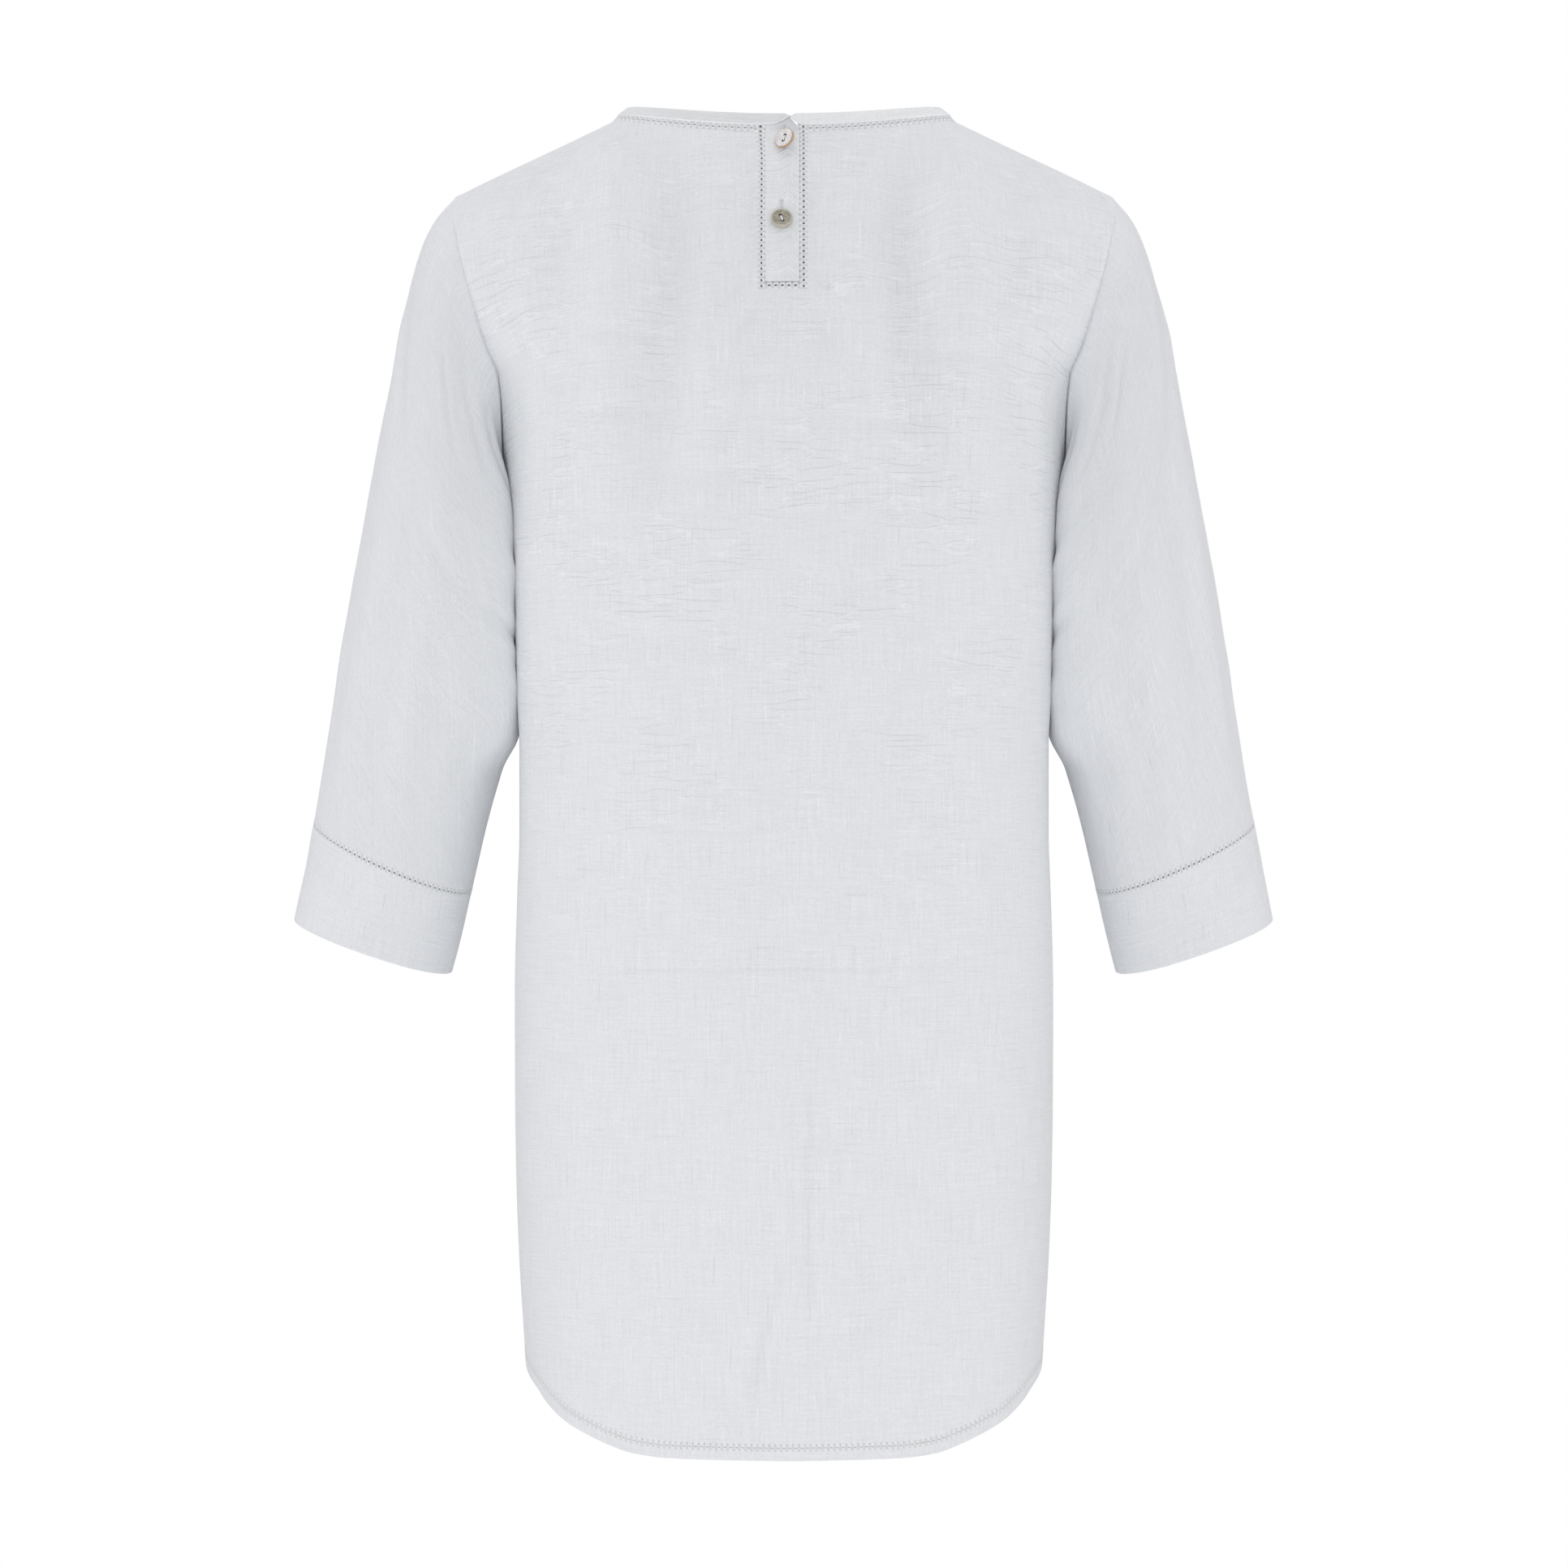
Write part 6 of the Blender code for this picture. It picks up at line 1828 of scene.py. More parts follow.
class PlacketCloth:
    """The buttoned strip, the strip under it, the pierced trim beside them and the buttonholes."""

    INSIDE = np.array([0.0, 0.0, -0.06])
    UNDERLAP = (-0.0083, 0.0115)
    UNDERLAP_DEPTH = 0.0017
    TOP_DROP = 0.0010
    FREE_EDGE = 0.0045
    FREE_LIFT = 0.0008
    HOLE_ABOVE = 0.0116
    HOLE_BELOW = 0.0030
    HOLE_HALF = 0.00045
    HOLE_THREAD = 0.00032

    def __init__(self, form: BodyForm, linen: Linen, thread: BoundThread, stitch: StitchSizes) -> None:
        """Keeps the form and the finishes.

        Args:
            form: The body's form.
            linen: The strips' finish.
            thread: The trim's finish.
            stitch: The trim's stitch sizes.
        """
        self.form = form
        self.linen = linen
        self.thread = thread
        self.stitch = stitch

    def above(self, x: np.ndarray, above: np.ndarray, out: float = 0.0) -> np.ndarray:
        """Gives points above the back's neck edge line."""
        return self.form.above_neck(self.form.neck_edge(Side.BACK, x), above, out)

    def strip(self) -> MeshData:
        """Makes the buttoned strip, with its right and lower edges a little free."""
        form = self.form
        cuts = [place.x + side for place in (UPPER_BUTTON, LOWER_BUTTON) for side in (-self.HOLE_HALF, self.HOLE_HALF)]
        x = np.sort(np.concatenate([np.linspace(STRIP_LEFT, STRIP_RIGHT, 18), cuts]))
        tops = np.interp(x, [p.x for p in STRIP_TOP], [p.above for p in STRIP_TOP])
        top_z = form.neck(Side.BACK, x)[1] - self.TOP_DROP
        to_right = ease((x - (STRIP_RIGHT - self.FREE_EDGE)) / self.FREE_EDGE)
        rows = [self.above(x, tops * share, 0.0002) for share in (1.0, 0.66, 0.33)]
        for share in np.linspace(0.0, 1.0, 92):
            z = mix(top_z, form.strip_bottom_z, share)
            to_foot = ease((form.strip_bottom_z + self.FREE_EDGE - z) / self.FREE_EDGE)
            free = np.maximum(to_right * (0.6 + 0.4 * math.sin(7.0 * share + 0.6)), to_foot)
            rows.append(form.back_surface(x, z, 0.00025 + self.FREE_LIFT * free))
        grid = np.array(rows)
        uv = grid_uv(run_lengths(grid, axis=1) + 0.3, run_lengths(grid, axis=0))
        middle = (grid[1:, 1:] + grid[:-1, :-1]) / 2
        skip = np.zeros(middle.shape[:2], bool)
        for place in (UPPER_BUTTON, LOWER_BUTTON):
            inside = np.abs(middle[..., 0] - place.x) < self.HOLE_HALF * 0.9
            low, high = place.z - self.HOLE_BELOW, place.z + self.HOLE_ABOVE
            skip |= inside & (middle[..., 2] > low) & (middle[..., 2] < high)
        return Sheet.from_grid(grid, uv, skip=skip).faced_from(self.INSIDE).shell(0.0009, rounds=6)

    def buttonhole(self, place: "ButtonPlace") -> MeshData:
        """Makes the close stitches round one buttonhole, over its upper end and down both sides."""
        low, high = place.z - self.HOLE_BELOW, place.z + self.HOLE_ABOVE
        reach = (high - low) / self.HOLE_THREAD / 2
        side_steps = int(reach)
        side = np.linspace(low, high, side_steps)
        over = np.linspace(-1.0, 1.0, 9)
        x = np.concatenate([np.full(side_steps, -1.0), over, np.full(side_steps, 1.0)])
        z = np.concatenate([side, high + 0.0003 * np.sqrt(1.0 - over ** 2), side[::-1]])
        swing = np.where(np.arange(len(x)) % 2 == 0, 0.00022, -0.00022)
        x = place.x + x * (self.HOLE_HALF + 0.00042) + swing * np.abs(x)
        out = 0.00078 + 0.0002 * (np.arange(len(x)) % 2)
        line = np.array([self.form.back_surface(np.array([a]), np.array([b]), c)[0] for a, b, c in zip(x, z, out)])
        return tube(line, 0.00028, steps=6)

    def underlap(self) -> MeshData:
        """Makes the strip under the buttoned one."""
        form = self.form
        x = np.linspace(*self.UNDERLAP, 14)
        top_z = form.neck(Side.BACK, x)[1] - self.TOP_DROP
        shares = np.linspace(0.0, 1.0, 50)
        rows = [form.back_surface(x, mix(top_z, form.strip_bottom_z, s), -self.UNDERLAP_DEPTH) for s in shares]
        grid = np.array(rows)
        uv = grid_uv(run_lengths(grid, axis=1) + 0.4, run_lengths(grid, axis=0))
        return Sheet.from_grid(grid, uv).faced_from(self.INSIDE).shell(0.0010)

    def side_trim(self, sign: int) -> Sheet:
        """Makes the pierced trim down one side of the slit."""
        form, size = self.form, self.form.sizes
        gap = size.seam_gap
        levels = np.linspace(size.back_neck_z - self.TOP_DROP, form.slit_bottom_z, 70)
        q = Hemstitch.rows_across()[:, None]
        inner = STRIP_LEFT - gap if sign < 0 else STRIP_RIGHT + 2 * gap
        outer = form.slit_edge_x(sign, levels)[None, :]
        x = mix(outer, inner, q)
        z = np.broadcast_to(levels, x.shape)
        body = form.back_surface(x, z)
        heads = [self.above(x[:, 0], np.full(x.shape[0], size.trim_width * share)) for share in (1.1, 0.5)]
        ribbon = np.concatenate([head[:, None] for head in heads] + [body], axis=1)
        return Hemstitch(self.stitch, ribbon, self.INSIDE).sheet()

    def foot_trim(self) -> Sheet:
        """Makes the pierced trim across the slit's foot."""
        form, size = self.form, self.form.sizes
        xs = np.linspace(STRIP_LEFT + 0.0002, STRIP_RIGHT + 0.0002, 24)
        q = Hemstitch.rows_across()[:, None]
        z = mix(form.slit_bottom_z, form.strip_bottom_z - size.seam_gap, q)
        ribbon = form.back_surface(np.broadcast_to(xs, (len(q), len(xs))), np.broadcast_to(z, (len(q), len(xs))))
        return Hemstitch(self.stitch, ribbon, self.INSIDE).sheet()

    def build(self) -> dict[str, bpy.types.Object]:
        """Puts the placket's pieces into the scene."""
        linen, thread = self.linen.material(), self.thread.material()
        trims = [self.side_trim(-1), self.side_trim(1), self.foot_trim()]
        trim = MeshData.joined([sheet.shell(0.0006, rounds=3) for sheet in trims])
        made = {
            "strip": self.strip().to_object("placket_strip", linen),
            "under": self.underlap().to_object("placket_under", linen),
            "trim": trim.to_object("placket_stitch", thread),
        }
        holes = [self.buttonhole(place) for place in (UPPER_BUTTON, LOWER_BUTTON)]
        made["holes"] = MeshData.joined(holes).to_object("buttonhole_stitches", THREAD.material())
        settle(made["holes"], Slot.HEMSTITCH)
        settle(made["strip"], Slot.LINEN, "placket_overlap")
        settle(made["under"], Slot.LINEN, "placket_underlap")
        settle(made["trim"], Slot.HEMSTITCH, "placket_trim")
        return made


class SleeveForm:
    """A sleeve's rings, held to the armhole at its start."""

    ROUNDNESS = 2.15
    SPREAD = 1.12
    HELD_SHARE = 0.30
    CLEAR = (0.0007, 0.0017)
    CUFF_DEPTH = 0.058
    LINE_STEPS = 512
    COLUMNS = ("x_out", "z_out", "x_in", "z_in", "y_mid", "half_depth", "tilt")

    def __init__(self, body: BodyForm) -> None:
        """Makes the curves of the rings' table.

        Args:
            body: The body's form, for its armhole.
        """
        self.body = body
        self.curves = {name: table_curve(SLEEVE_RINGS, name, key="along") for name in self.COLUMNS}

    def ring(self, along: float) -> Ring:
        """Reads the sleeve's table at a share of the way to the cuff seam."""
        return Ring(along, *[float(self.curves[name](np.array(along))) for name in self.COLUMNS])

    @staticmethod
    def cuff_ring(along: float) -> Ring:
        """Gives a ring a share of the way from the cuff seam to the cuff's hem."""
        return Ring(*[mix(a, b, along) for a, b in zip(CUFF_SEAM, CUFF_HEM)])

    def points(self, ring: Ring, shares: np.ndarray) -> np.ndarray:
        """Gives a ring's points at shares round it, from the outer end over the back."""
        outer = np.array([ring.x_out, ring.y_mid, ring.z_out])
        inner = np.array([ring.x_in, ring.y_mid, ring.z_in])
        tilt = math.radians(ring.tilt)
        deep = np.array([0.0, math.cos(tilt), math.sin(tilt)]) * ring.half_depth
        angle = np.linspace(0.0, 2 * math.pi, self.LINE_STEPS + 1)
        c, s = np.cos(angle), -np.sin(angle)
        power = 2.0 / self.ROUNDNESS
        u = np.sign(c) * np.abs(c) ** power
        v = np.sign(s) * np.abs(s) ** power
        line = (outer + inner) / 2 + u[:, None] * (outer - inner) / 2 + v[:, None] * deep
        lengths = run_lengths(line, axis=0)
        wanted = (shares % 1.0) * lengths[-1]
        return np.stack([np.interp(wanted, lengths, line[:, k]) for k in range(3)], axis=-1)

    def armhole(self, ways: np.ndarray) -> np.ndarray:
        """Gives seam points: shoulder (0), down the back, underarm (0.5) and up the front."""
        body = self.body
        rows = np.arange(len(body.UPPER_ROWS)) / (2 * (len(body.UPPER_ROWS) - 1))
        down = np.interp(np.minimum(ways, 1.0 - ways), rows, body.UPPER_ROWS)
        z = mix(body.sizes.shoulder_z, body.sizes.underarm_z, down)
        x = np.where(ways <= 0.5, body.armhole[Side.BACK](z), body.armhole[Side.FRONT](z))
        back_y, front_y = (body.panel_y(side, x, z) for side in (Side.BACK, Side.FRONT))
        return np.stack([x, np.where(ways <= 0.5, back_y, front_y), z], axis=-1)

    def grid(self, ways: np.ndarray, alongs: np.ndarray) -> np.ndarray:
        """Gives the right sleeve's smooth grid, rows from the armhole to the cuff seam."""
        size = self.body.sizes
        loop = self.armhole(ways)
        lengths = run_lengths(np.concatenate([loop, loop[:1]]), axis=0)
        seam_shares = lengths[:-1] / lengths[-1]
        start = self.points(self.ring(0.0), seam_shares)
        down = (size.shoulder_z - loop[:, 2]) / (size.shoulder_z - size.underarm_z)
        shifts = loop - start
        shifts[:, 0] += mix(self.CLEAR[0], self.CLEAR[1], ease(down))
        rows = []
        for along in alongs:
            shares = mix(seam_shares, ways, ease(along))
            hold = 1.0 - ease(along / self.HELD_SHARE)
            rows.append(self.points(self.ring(along), shares) + shifts * hold)
        return np.array(rows)


class SleeveCloth:
    """One three-quarter sleeve with its hemstitched trim and cuff."""

    AROUND = 112
    ROWS = 128
    CUFF_ROWS = 22
    TUCK_UNDER = 0.0018
    TOWARD_BODY = 0.0014
    GROOVE = 0.0011
    SURPLUS = 0.060
    SURPLUS_AT = 0.418
    SURPLUS_SPREAD = 0.074
    SURPLUS_END_Z = -0.385
    BODY_GAP = 0.0005
    WEAVE_TURN = math.radians(-10.0)

    def __init__(self, hand: Hand, form: SleeveForm, linen: Linen, thread: BoundThread,
                 stitch: StitchSizes) -> None:
        """Keeps the form and the finishes, and lays the sleeve's creases.

        Args:
            hand: Which arm the sleeve is for.
            form: The sleeve's form.
            linen: The sleeve's finish.
            thread: The trim's finish.
            stitch: The trim's stitch sizes.
        """
        self.hand = hand
        self.form = form
        self.linen = linen
        self.thread = thread
        self.stitch = stitch
        chosen = np.random.default_rng(40 + hand.value)
        self.field = CreaseField(
            [self.varied(crease, chosen) for crease in SLEEVE_CREASES], seed=30 + hand.value,
            uneven=0.0009, grain=(0.045, 0.060),
        )
        self.cuff_field = CreaseField([], seed=50 + hand.value, uneven=0.0006, grain=(0.050, 0.045))

    @staticmethod
    def varied(crease: Crease, chosen: np.random.Generator) -> Crease:
        """Gives a crease a little aside of the one laid for both sleeves."""
        a, b, size = chosen.normal(0.0, 0.003, 3)
        factor = 1.0 + 40.0 * size
        return crease._replace(a0=crease.a0 + a, a1=crease.a1 + a, b0=crease.b0 + abs(b),
                               b1=crease.b1 + b, depth=crease.depth * factor)

    @property
    def label(self) -> str:
        """Gives the name of the hand."""
        return self.hand.name.lower()

    def mirrored(self, points: np.ndarray) -> np.ndarray:
        """Gives points on this hand's side."""
        return points * np.array([float(self.hand.value), 1.0, 1.0])

    def raised(self, grid: np.ndarray, height: np.ndarray) -> np.ndarray:
        """Moves a closed grid of the right sleeve out by heights."""
        wrapped = np.concatenate([grid[:, -1:], grid, grid[:, :1]], axis=1)
        normals = grid_normals(wrapped)[:, 1:-1]
        return grid + normals * height[..., None]

    def around_height(self, field: CreaseField, a: np.ndarray, b: np.ndarray) -> np.ndarray:
        """Gives a field's height so that it joins up round the sleeve."""
        total = sum(field.one(crease, a + turn, b)
                    for crease in field.creases for turn in (-SLEEVE_SPAN, 0.0, SLEEVE_SPAN))
        join = ease((a / SLEEVE_SPAN - 0.8) / 0.2)
        return total + mix(field.ground(a, b), field.ground(a - SLEEVE_SPAN, b), join)

    def against_body(self, grid: np.ndarray, ways: np.ndarray, alongs: np.ndarray) -> np.ndarray:
        """Lays the surplus cloth at the inner side of the back against the body.

        Args:
            grid: The right sleeve's smooth grid.
            ways: The columns' shares round it.
            alongs: The rows' shares of the way to the cuff seam.

        Returns:
            The grid, moved toward the body but never up to it.
        """
        body = self.form.body
        x, y, z = grid[..., 0], grid[..., 1], grid[..., 2]
        power = body.sizes.roundness
        deep = np.clip(-y / body.depth[Side.BACK](z), 0.0, 0.98)
        wall = body.full_half_width(Side.BACK, z) * (1.0 - deep ** power) ** (1.0 / power)
        room = np.maximum(x - wall - self.BODY_GAP, 1e-5)
        wanted = self.SURPLUS * np.exp(-((ways - self.SURPLUS_AT) / self.SURPLUS_SPREAD) ** 2)
        wanted = wanted * ease((alongs[:, None] - 0.03) / 0.14) * ease((z - self.SURPLUS_END_Z) / 0.060)
        moved = grid.copy()
        moved[..., 0] -= room * (1.0 - np.exp(-wanted / room))
        return moved

    def sleeve(self) -> Sheet:
        """Makes the creased sleeve."""
        ways = np.arange(self.AROUND) / self.AROUND
        steps = np.linspace(0.0, 1.0, self.ROWS)
        alongs = steps ** self.form.SPREAD
        grid = self.against_body(self.form.grid(ways, alongs), ways, alongs)
        a = np.broadcast_to(ways * SLEEVE_SPAN, grid.shape[:2])
        b = np.broadcast_to(alongs[:, None] * SLEEVE_SPAN, grid.shape[:2])
        height = self.around_height(self.field, a, b)
        inner = np.exp(-((a - SLEEVE_SPAN / 2) / 0.034) ** 2)
        height = height * (1.0 - 0.85 * inner) + self.TOWARD_BODY * inner * ease(b / 0.03) * ease((0.335 - b) / 0.060)
        height *= ease(b / 0.008) * ease((SLEEVE_SPAN - b) / 0.007)
        from_tip = np.minimum(ways, 1.0 - ways)
        groove = self.GROOVE * mix(0.4, 1.0, ease(from_tip / 0.12))
        height = height - groove * (1.0 - ease(b / 0.005))
        v = run_lengths(grid, axis=0)
        closing = np.concatenate([grid, grid[:, :1]], axis=1)
        u = run_lengths(closing, axis=1)
        v = np.concatenate([v, v[:, :1]], axis=1)
        c, s = math.cos(self.WEAVE_TURN), math.sin(self.WEAVE_TURN) * self.hand.value
        uv = grid_uv(u * c - v * s + 1.0, u * s + v * c + 1.0)
        grid = self.raised(grid, height)
        tucked = grid[0] + unit(grid[0] - grid[1]) * self.TUCK_UNDER
        tucked[:, 0] -= 0.0002
        grid[0] = tucked
        centre = grid.mean(axis=1, keepdims=True) + np.zeros_like(grid)
        sheet = Sheet.from_grid(self.mirrored(grid), uv, around=True)
        return sheet.faced_from(self.mirrored(centre).reshape(-1, 3))

    def cuff_rows(self, alongs: np.ndarray, shares: np.ndarray) -> np.ndarray:
        """Gives rows of the cuff, a little uneven away from its seam."""
        grid = np.array([self.form.points(self.form.cuff_ring(along), shares) for along in alongs])
        a = np.broadcast_to(shares * SLEEVE_SPAN, grid.shape[:2])
        b = np.broadcast_to(alongs[:, None] * self.form.CUFF_DEPTH, grid.shape[:2])
        height = self.around_height(self.cuff_field, a, b) * ease((alongs[:, None] - 0.05) / 0.35)
        return self.raised(grid, height)

    def cuff(self) -> MeshData:
        """Makes the cuff below its trim."""
        shares = np.arange(self.AROUND) / self.AROUND
        start = self.form.body.sizes.trim_width / 2 / self.form.CUFF_DEPTH
        grid = self.cuff_rows(np.linspace(start, 0.993, self.CUFF_ROWS), shares)
        closing = np.concatenate([grid, grid[:, :1]], axis=1)
        uv = grid_uv(run_lengths(closing, axis=1), run_lengths(closing, axis=0) + 0.6)
        centre = grid.mean(axis=1, keepdims=True) + np.zeros_like(grid)
        sheet = Sheet.from_grid(self.mirrored(grid), uv, around=True)
        return sheet.faced_from(self.mirrored(centre).reshape(-1, 3)).shell(0.0011, rounds=6)

    def trim(self) -> MeshData:
        """Makes the pierced trim between sleeve and cuff."""
        half = self.form.body.sizes.trim_width / 2 / self.form.CUFF_DEPTH
        alongs = mix(-half, half, Hemstitch.rows_across())
        shares = np.linspace(0.0, 1.0, 257)[:-1]
        grid = self.cuff_rows(alongs, shares)
        ribbon = self.mirrored(np.concatenate([grid, grid[:, :1]], axis=1))
        centre = ribbon.reshape(-1, 3).mean(axis=0)
        return Hemstitch(self.stitch, ribbon, centre, closed=True).sheet().shell(0.0006, rounds=3)

    def build(self) -> dict[str, bpy.types.Object]:
        """Puts the sleeve, its trim and its cuff into the scene."""
        linen = self.linen.material()
        made = {
            "sleeve": self.sleeve().shell(0.0008).to_object("sleeve_cloth_" + self.label, linen),
            "cuff": self.cuff().to_object("cuff_cloth_" + self.label, linen),
            "trim": self.trim().to_object("cuff_stitch_" + self.label, self.thread.material()),
        }
        settle(made["sleeve"], Slot.LINEN, "sleeve_" + self.label)
        settle(made["cuff"], Slot.LINEN, "cuff_" + self.label)
        settle(made["trim"], Slot.HEMSTITCH, "cuff_trim_" + self.label)
        return made


@dataclass(frozen=True)
class ButtonPlace:
    """Where a button sits, how far it stands off the strip, and its turn, tip and spin in degrees."""

    node: str
    x: float
    z: float
    lift: float
    turn: float
    tip: float
    spin: float


class ShellButton:
    """A two-hole shell button with a raised rim, held by thread."""

    RADIUS = 0.0063
    THICK = 0.0022
    RIM = 0.0009
    DISH = 0.0006
    HOLE_RADIUS = 0.0010
    HOLE_SPACING = 0.0034
    SEAT = 0.0020
    STEPS = 72
    THREAD_RADIUS = 0.00024

    def __init__(self, place: ButtonPlace, form: BodyForm, shell: Shell, slot: Slot) -> None:
        """Keeps the button's place and finish.

        Args:
            place: Where it sits.
            form: The body's form under it.
            shell: Its finish.
            slot: Its material slot.
        """
        self.place = place
        self.form = form
        self.shell = shell
        self.slot = slot

    def pose(self) -> Matrix:
        """Gives the button's place and turn in front of the strip."""
        x, z = np.array([self.place.x]), np.array([self.place.z])
        foot = Vector(self.form.back_surface(x, z)[0])
        centre = Vector(self.form.back_surface(x, z, self.SEAT + self.place.lift)[0])
        normal = (centre - foot).normalized()
        across = Vector((1.0, 0.0, 0.0))
        across = (across - normal * across.dot(normal)).normalized()
        frame_axes = Matrix((across, normal.cross(across), normal)).transposed().to_4x4()
        turn = Matrix.Rotation(math.radians(self.place.turn), 4, "Y")
        tip = Matrix.Rotation(math.radians(self.place.tip), 4, "X")
        spin = Matrix.Rotation(math.radians(self.place.spin), 4, "Z")
        return Matrix.Translation(centre) @ frame_axes @ turn @ tip @ spin

    def profile(self) -> list[tuple[float, float]]:
        """Gives the turned outline from the middle of the back round to the middle of the face."""
        top, r = self.THICK / 2, self.RADIUS
        line = [(0.0, -top), (r - 0.0009, -top), (r - 0.0004, -top + 0.0001), (r - 0.0001, -top + 0.0004)]
        line += [(r, -top + 0.0008), (r, top - 0.0006), (r - 0.0001, top - 0.0003)]
        line += [(r - 0.0003, top - 0.00008), (r - 0.0006, top), (r - self.RIM, top - 0.00006)]
        line += [(r - self.RIM - 0.0003, top - 0.00025), (r - self.RIM - 0.0007, top - 0.0005)]
        line += [(r - self.RIM - 0.0012, top - self.DISH), (0.0, top - self.DISH)]
        return line

    def turned(self) -> bpy.types.Mesh:
        """Makes the disc with its two thread holes cut through."""
        points, faces, rows = [], [], []
        for radius, height in self.profile():
            rows.append(len(points))
            if radius == 0.0:
                points.append((0.0, 0.0, height))
                continue
            for step in range(self.STEPS):
                angle = 2 * math.pi * step / self.STEPS
                points.append((radius * math.cos(angle), radius * math.sin(angle), height))
        last = len(rows) - 1
        for row, (low, high) in enumerate(zip(rows, rows[1:])):
            for step in range(self.STEPS):
                following = (step + 1) % self.STEPS
                if row == 0:
                    faces.append((low, high + following, high + step))
                elif row + 1 == last:
                    faces.append((low + step, low + following, high))
                else:
                    faces.append((low + step, low + following, high + following, high + step))
        mesh = bpy.data.meshes.new("button")
        mesh.from_pydata(points, [], faces)
        disc = bpy.data.objects.new("disc", mesh)
        bpy.context.scene.collection.objects.link(disc)
        cutters = [self.cut_hole(disc, sign) for sign in (-1, 1)]
        bpy.context.view_layer.update()
        graph = bpy.context.evaluated_depsgraph_get()
        cut = bpy.data.meshes.new_from_object(disc.evaluated_get(graph))
        for item in [disc] + cutters:
            bpy.data.objects.remove(item, do_unlink=True)
        return cut

    def cut_hole(self, disc: bpy.types.Object, sign: int) -> bpy.types.Object:
        """Cuts one thread hole and gives the bar that cuts it."""
        bpy.ops.mesh.primitive_cylinder_add(
            vertices=28, radius=self.HOLE_RADIUS, depth=self.THICK * 3,
            location=(0.0, sign * self.HOLE_SPACING / 2, 0.0),
        )
        bar = bpy.context.object
        cut = disc.modifiers.new("hole", "BOOLEAN")
        cut.operation = "DIFFERENCE"
        cut.solver = "EXACT"
        cut.object = bar
        return bar

    def build(self) -> bpy.types.Object:
        """Puts the button and its thread into the scene."""
        mesh = self.turned()
        name = self.place.node.replace("button", "shell_button")
        mesh.name = name
        layer = mesh.uv_layers.active or mesh.uv_layers.new(name="Weave")
        layer.name = "Weave"
        for loop in mesh.loops:
            spot = mesh.vertices[loop.vertex_index].co
            layer.data[loop.index].uv = (spot.x, spot.y)
        mesh.shade_smooth()
        mesh.set_sharp_from_angle(angle=math.radians(50.0))
        mesh.materials.clear()
        mesh.materials.append(self.shell.material())
        item = bpy.data.objects.new(name, mesh)
        bpy.context.scene.collection.objects.link(item)
        item.matrix_world = self.pose()
        bpy.context.view_layer.update()
        settle(item, self.slot, self.place.node)
        self.add_thread(item)
        return item

    def add_thread(self, button: bpy.types.Object) -> None:
        """Lays the thread through the holes and down to the strip."""
        half, top = self.HOLE_SPACING / 2, self.THICK / 2 - self.DISH
        foot = -self.THICK / 2 - 0.0006 - self.place.lift
        parts = []
        for aside in (-0.00032, 0.0, 0.00032):
            ways = np.linspace(0.0, 1.0, 22)
            swing = np.sin(np.pi * ways)
            y = np.cos(np.pi * ways) * half * 0.82
            z = np.where(np.abs(y) < half, top + 0.00032 * swing ** 0.4, top)
            line = np.stack([aside * (0.5 + 0.5 * swing), y, z], axis=-1)
            ends = np.array([[aside * 0.3, half * 0.86, foot]]), np.array([[aside * 0.3, -half * 0.86, foot]])
            line = np.concatenate([ends[0], line, ends[1]])
            parts.append(tube(line, self.THREAD_RADIUS))
        thread = MeshData.joined(parts).to_object(button.name + "_thread", THREAD.material())
        thread.matrix_world = self.pose()
        bpy.context.view_layer.update()
        settle(thread, Slot.HEMSTITCH)


def tube(line: np.ndarray, radius: float, steps: int = 8) -> MeshData:
    """Makes a closed round cord along a line of points.

    Args:
        line: The cord's middle line.
        radius: The cord's radius.
        steps: Corners round it.

    Returns:
        The cord's mesh, with its weave coordinates along and round it.
    """
    way = unit(np.gradient(line, axis=0))
    lead = np.array([1.0, 0.0, 0.0]) if abs(way[0, 0]) < 0.8 else np.array([0.0, 1.0, 0.0])
    first = unit(lead - way * (way @ lead)[:, None])
    second = np.cross(way, first)
    angle = 2 * np.pi * np.arange(steps) / steps
    ring = np.cos(angle)[None, :, None] * first[:, None] + np.sin(angle)[None, :, None] * second[:, None]
    size = np.full(len(line), radius)
    size[[0, -1]] *= 0.4
    grid = line[:, None] + ring * size[:, None, None]
    length = run_lengths(line, axis=0)
    uv = grid_uv(length[:, None], (np.arange(steps + 1) * radius)[None, :])
    sheet = Sheet.from_grid(grid, uv, around=True)
    count = len(sheet.points)
    points = np.concatenate([sheet.points, line[[0, -1]]])
    k = np.arange(steps)
    start = np.stack([np.full(steps, count), k, (k + 1) % steps], axis=-1)
    last = (len(line) - 1) * steps
    end = np.stack([np.full(steps, count + 1), last + (k + 1) % steps, last + k], axis=-1)
    caps = np.concatenate([start, end])
    caps = np.concatenate([caps, caps[:, 2:]], axis=1)
    return MeshData(points, np.concatenate([sheet.quads, caps]), np.concatenate([sheet.coords, np.zeros((len(caps), 4, 4))]))


@dataclass(frozen=True)
class Thread:
    """White sewing thread."""

    name: str = "white thread"
    colour: tuple[float, float, float] = (0.80, 0.80, 0.79)

    def material(self) -> bpy.types.Material:
        """Makes the thread's material."""
        found = bpy.data.materials.get(self.name)
        if found:
            return found
        material, graph, shader = new_material(self.name)
        weave = LinenWeave().place(graph, Weave=surface_coords(graph, "Weave"), Colour=(*self.colour, 1.0))
        graph.put(shader.inputs["Base Color"], weave.outputs["Colour"])
        shader.inputs["Roughness"].default_value = 0.7
        add_bump(graph, shader, weave.outputs["Height"], 0.0001, 0.4)
        return material


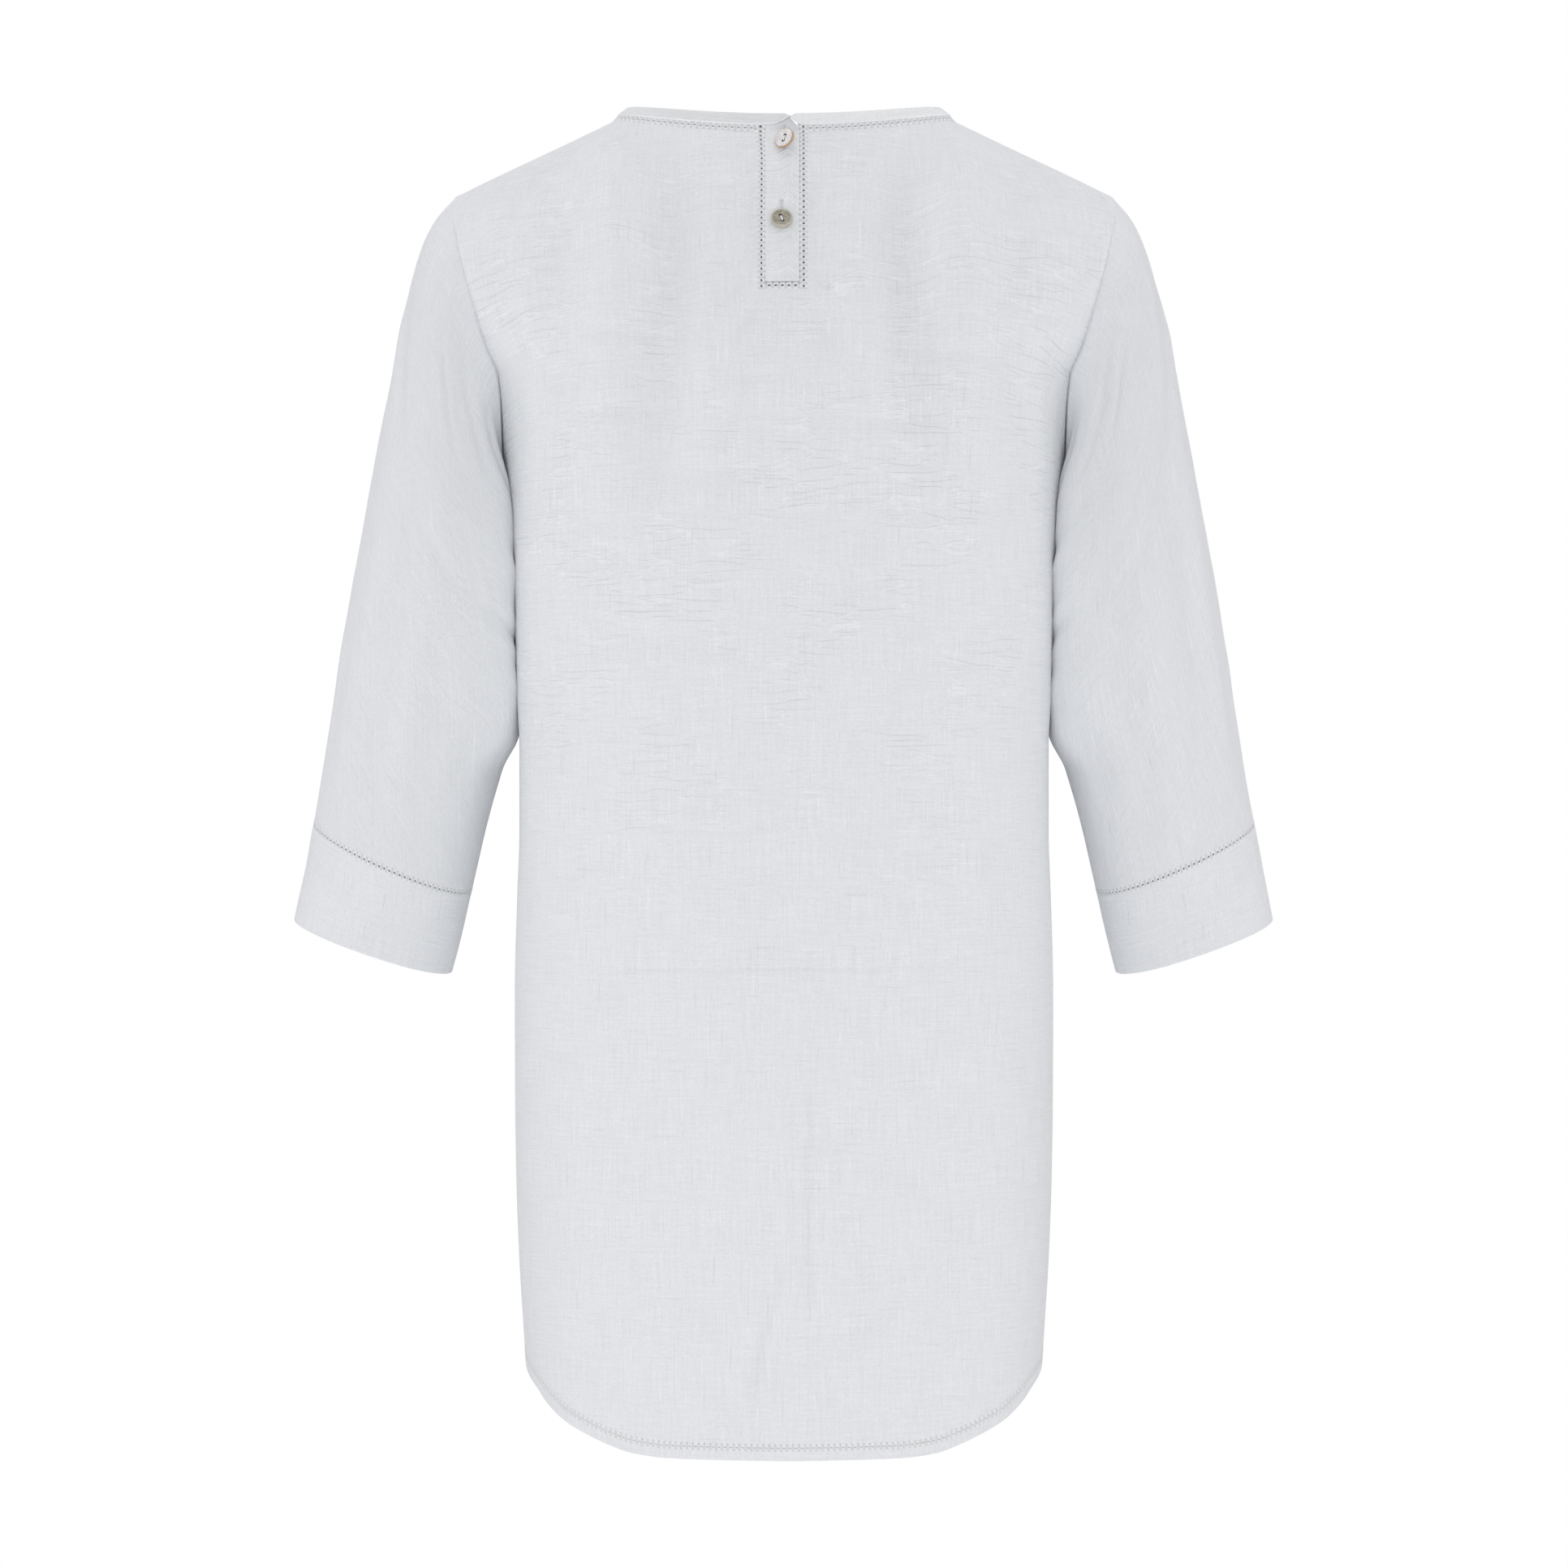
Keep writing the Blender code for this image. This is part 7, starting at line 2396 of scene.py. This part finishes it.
THREAD = Thread()


@dataclass(frozen=True)
class Studio:
    """Soft white studio: the floor, the light all round and the photograph's camera."""

    camera_distance: float = 3.6
    camera_z: float = -0.3917
    lens: float = 139.75
    sensor: float = 36.0
    floor_z: float = -1.30
    floor_radius: float = 3.0
    ambient: float = 0.60
    key_power: float = 26.0
    low_power: float = 5.4
    top_power: float = 17.0
    side_power: float = 11.8

    def build(self) -> None:
        """Puts the whole studio into the scene."""
        self.add_floor()
        self.add_world()
        self.add_light("key", (-0.35, -3.4, -1.0), 2.4, self.key_power)
        self.add_light("low", (0.0, -1.6, -1.18), 0.9, self.low_power)
        self.add_light("top", (0.0, 0.3, 2.3), 1.8, self.top_power)
        self.add_light("left", (-2.6, -0.35, 0.1), 1.6, self.side_power)
        self.add_light("right", (2.6, -0.35, 0.1), 1.6, self.side_power)
        self.add_camera()
        bpy.context.scene.view_settings.view_transform = "Standard"

    def add_floor(self) -> None:
        """Adds the pale floor."""
        bpy.ops.mesh.primitive_circle_add(
            vertices=96, radius=self.floor_radius, fill_type="NGON", location=(0.0, 0.0, self.floor_z)
        )
        floor = bpy.context.object
        floor.name = "studio_floor"
        material, _, shader = new_material("pale floor")
        shader.inputs["Base Color"].default_value = (0.82, 0.82, 0.82, 1.0)
        shader.inputs["Roughness"].default_value = 0.9
        floor.data.materials.append(material)

    def add_world(self) -> None:
        """Lights the scene from all round, with plain white behind it."""
        world = bpy.data.worlds.new("studio")
        world.use_nodes = True
        bpy.context.scene.world = world
        graph = Graph(world.node_tree)
        seen, lighting = world.node_tree.nodes["Background"], graph.add("ShaderNodeBackground")
        seen.inputs["Color"].default_value = (1.0, 1.0, 1.0, 1.0)
        seen.inputs["Strength"].default_value = 1.0
        lighting.inputs["Color"].default_value = (1.0, 1.0, 1.0, 1.0)
        lighting.inputs["Strength"].default_value = self.ambient
        blend = graph.add("ShaderNodeMixShader")
        graph.put(blend.inputs[0], graph.add("ShaderNodeLightPath").outputs["Is Camera Ray"])
        graph.put(blend.inputs[1], lighting.outputs[0])
        graph.put(blend.inputs[2], seen.outputs[0])
        graph.put(world.node_tree.nodes["World Output"].inputs[0], blend.outputs[0])

    def add_light(self, name: str, place: Sequence[float], size: float, power: float) -> None:
        """Adds a soft square light that faces the garment."""
        light = bpy.data.lights.new(name, "AREA")
        light.size = size
        light.energy = power
        item = bpy.data.objects.new(name, light)
        item.location = place
        toward = Vector((0.0, 0.0, -0.35)) - Vector(place)
        item.rotation_euler = toward.to_track_quat("-Z", "Y").to_euler()
        bpy.context.scene.collection.objects.link(item)

    def add_camera(self) -> None:
        """Adds the camera at the photograph's angle."""
        camera = bpy.data.cameras.new("camera")
        camera.lens = self.lens
        camera.sensor_width = self.sensor
        item = bpy.data.objects.new("camera", camera)
        item.location = (0.0, -self.camera_distance, self.camera_z)
        item.rotation_euler = (math.pi / 2, 0.0, 0.0)
        bpy.context.scene.collection.objects.link(item)
        bpy.context.scene.camera = item


UPPER_BUTTON = ButtonPlace("button_upper", x=0.0003, z=-0.0196, lift=0.003, turn=-32.0, tip=8.0, spin=-24.0)
LOWER_BUTTON = ButtonPlace("button_lower", x=-0.0014, z=-0.0660, lift=0.0, turn=0.0, tip=0.0, spin=21.0)
BODY_STITCH = StitchSizes()
NECK_STITCH = StitchSizes(hole_along=0.0021, hole_across=0.0013)
HEM_STITCH = StitchSizes(pitch=0.0034, hole_along=0.0016, hole_across=0.0011)
CUFF_STITCH = StitchSizes(pitch=0.0033, hole_along=0.0017, hole_across=0.0017)


def main() -> None:
    """Builds the dressed tunic and its studio, piece by piece."""
    logging.basicConfig(level=logging.INFO, format="%(message)s")
    form = BodyForm(BodySizes())
    linen = Linen()
    thread = BoundThread("hemstitched linen", BODY_STITCH)
    hem_thread = BoundThread("hemstitched hem linen", HEM_STITCH, hole_shade=0.30)
    cuff_thread = BoundThread("hemstitched cuff linen", CUFF_STITCH)
    body = BodyCloth(form, linen, hem_thread, HEM_STITCH).build()
    neck_thread = BoundThread("hemstitched neck linen", NECK_STITCH, hole_shade=0.60)
    neck = NeckCloth(form, LIGHTER_PAINTED_LINEN, neck_thread, NECK_STITCH).build()
    placket = PlacketCloth(form, linen, thread, BODY_STITCH).build()
    sleeve_form = SleeveForm(form)
    sleeves = {
        hand: SleeveCloth(hand, sleeve_form, linen, cuff_thread, CUFF_STITCH).build() for hand in Hand
    }
    ShellButton(UPPER_BUTTON, form, LIGHT_SHELL, Slot.LIGHT_SHELL).build()
    ShellButton(LOWER_BUTTON, form, DARK_SHELL, Slot.DARK_SHELL).build()
    with_back = [body["trim_back"], body["band_back"], neck["trim"], neck["band"], *placket.values()]
    for made in sleeves.values():
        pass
    Studio().build()


if __name__ == "__main__":
    main()
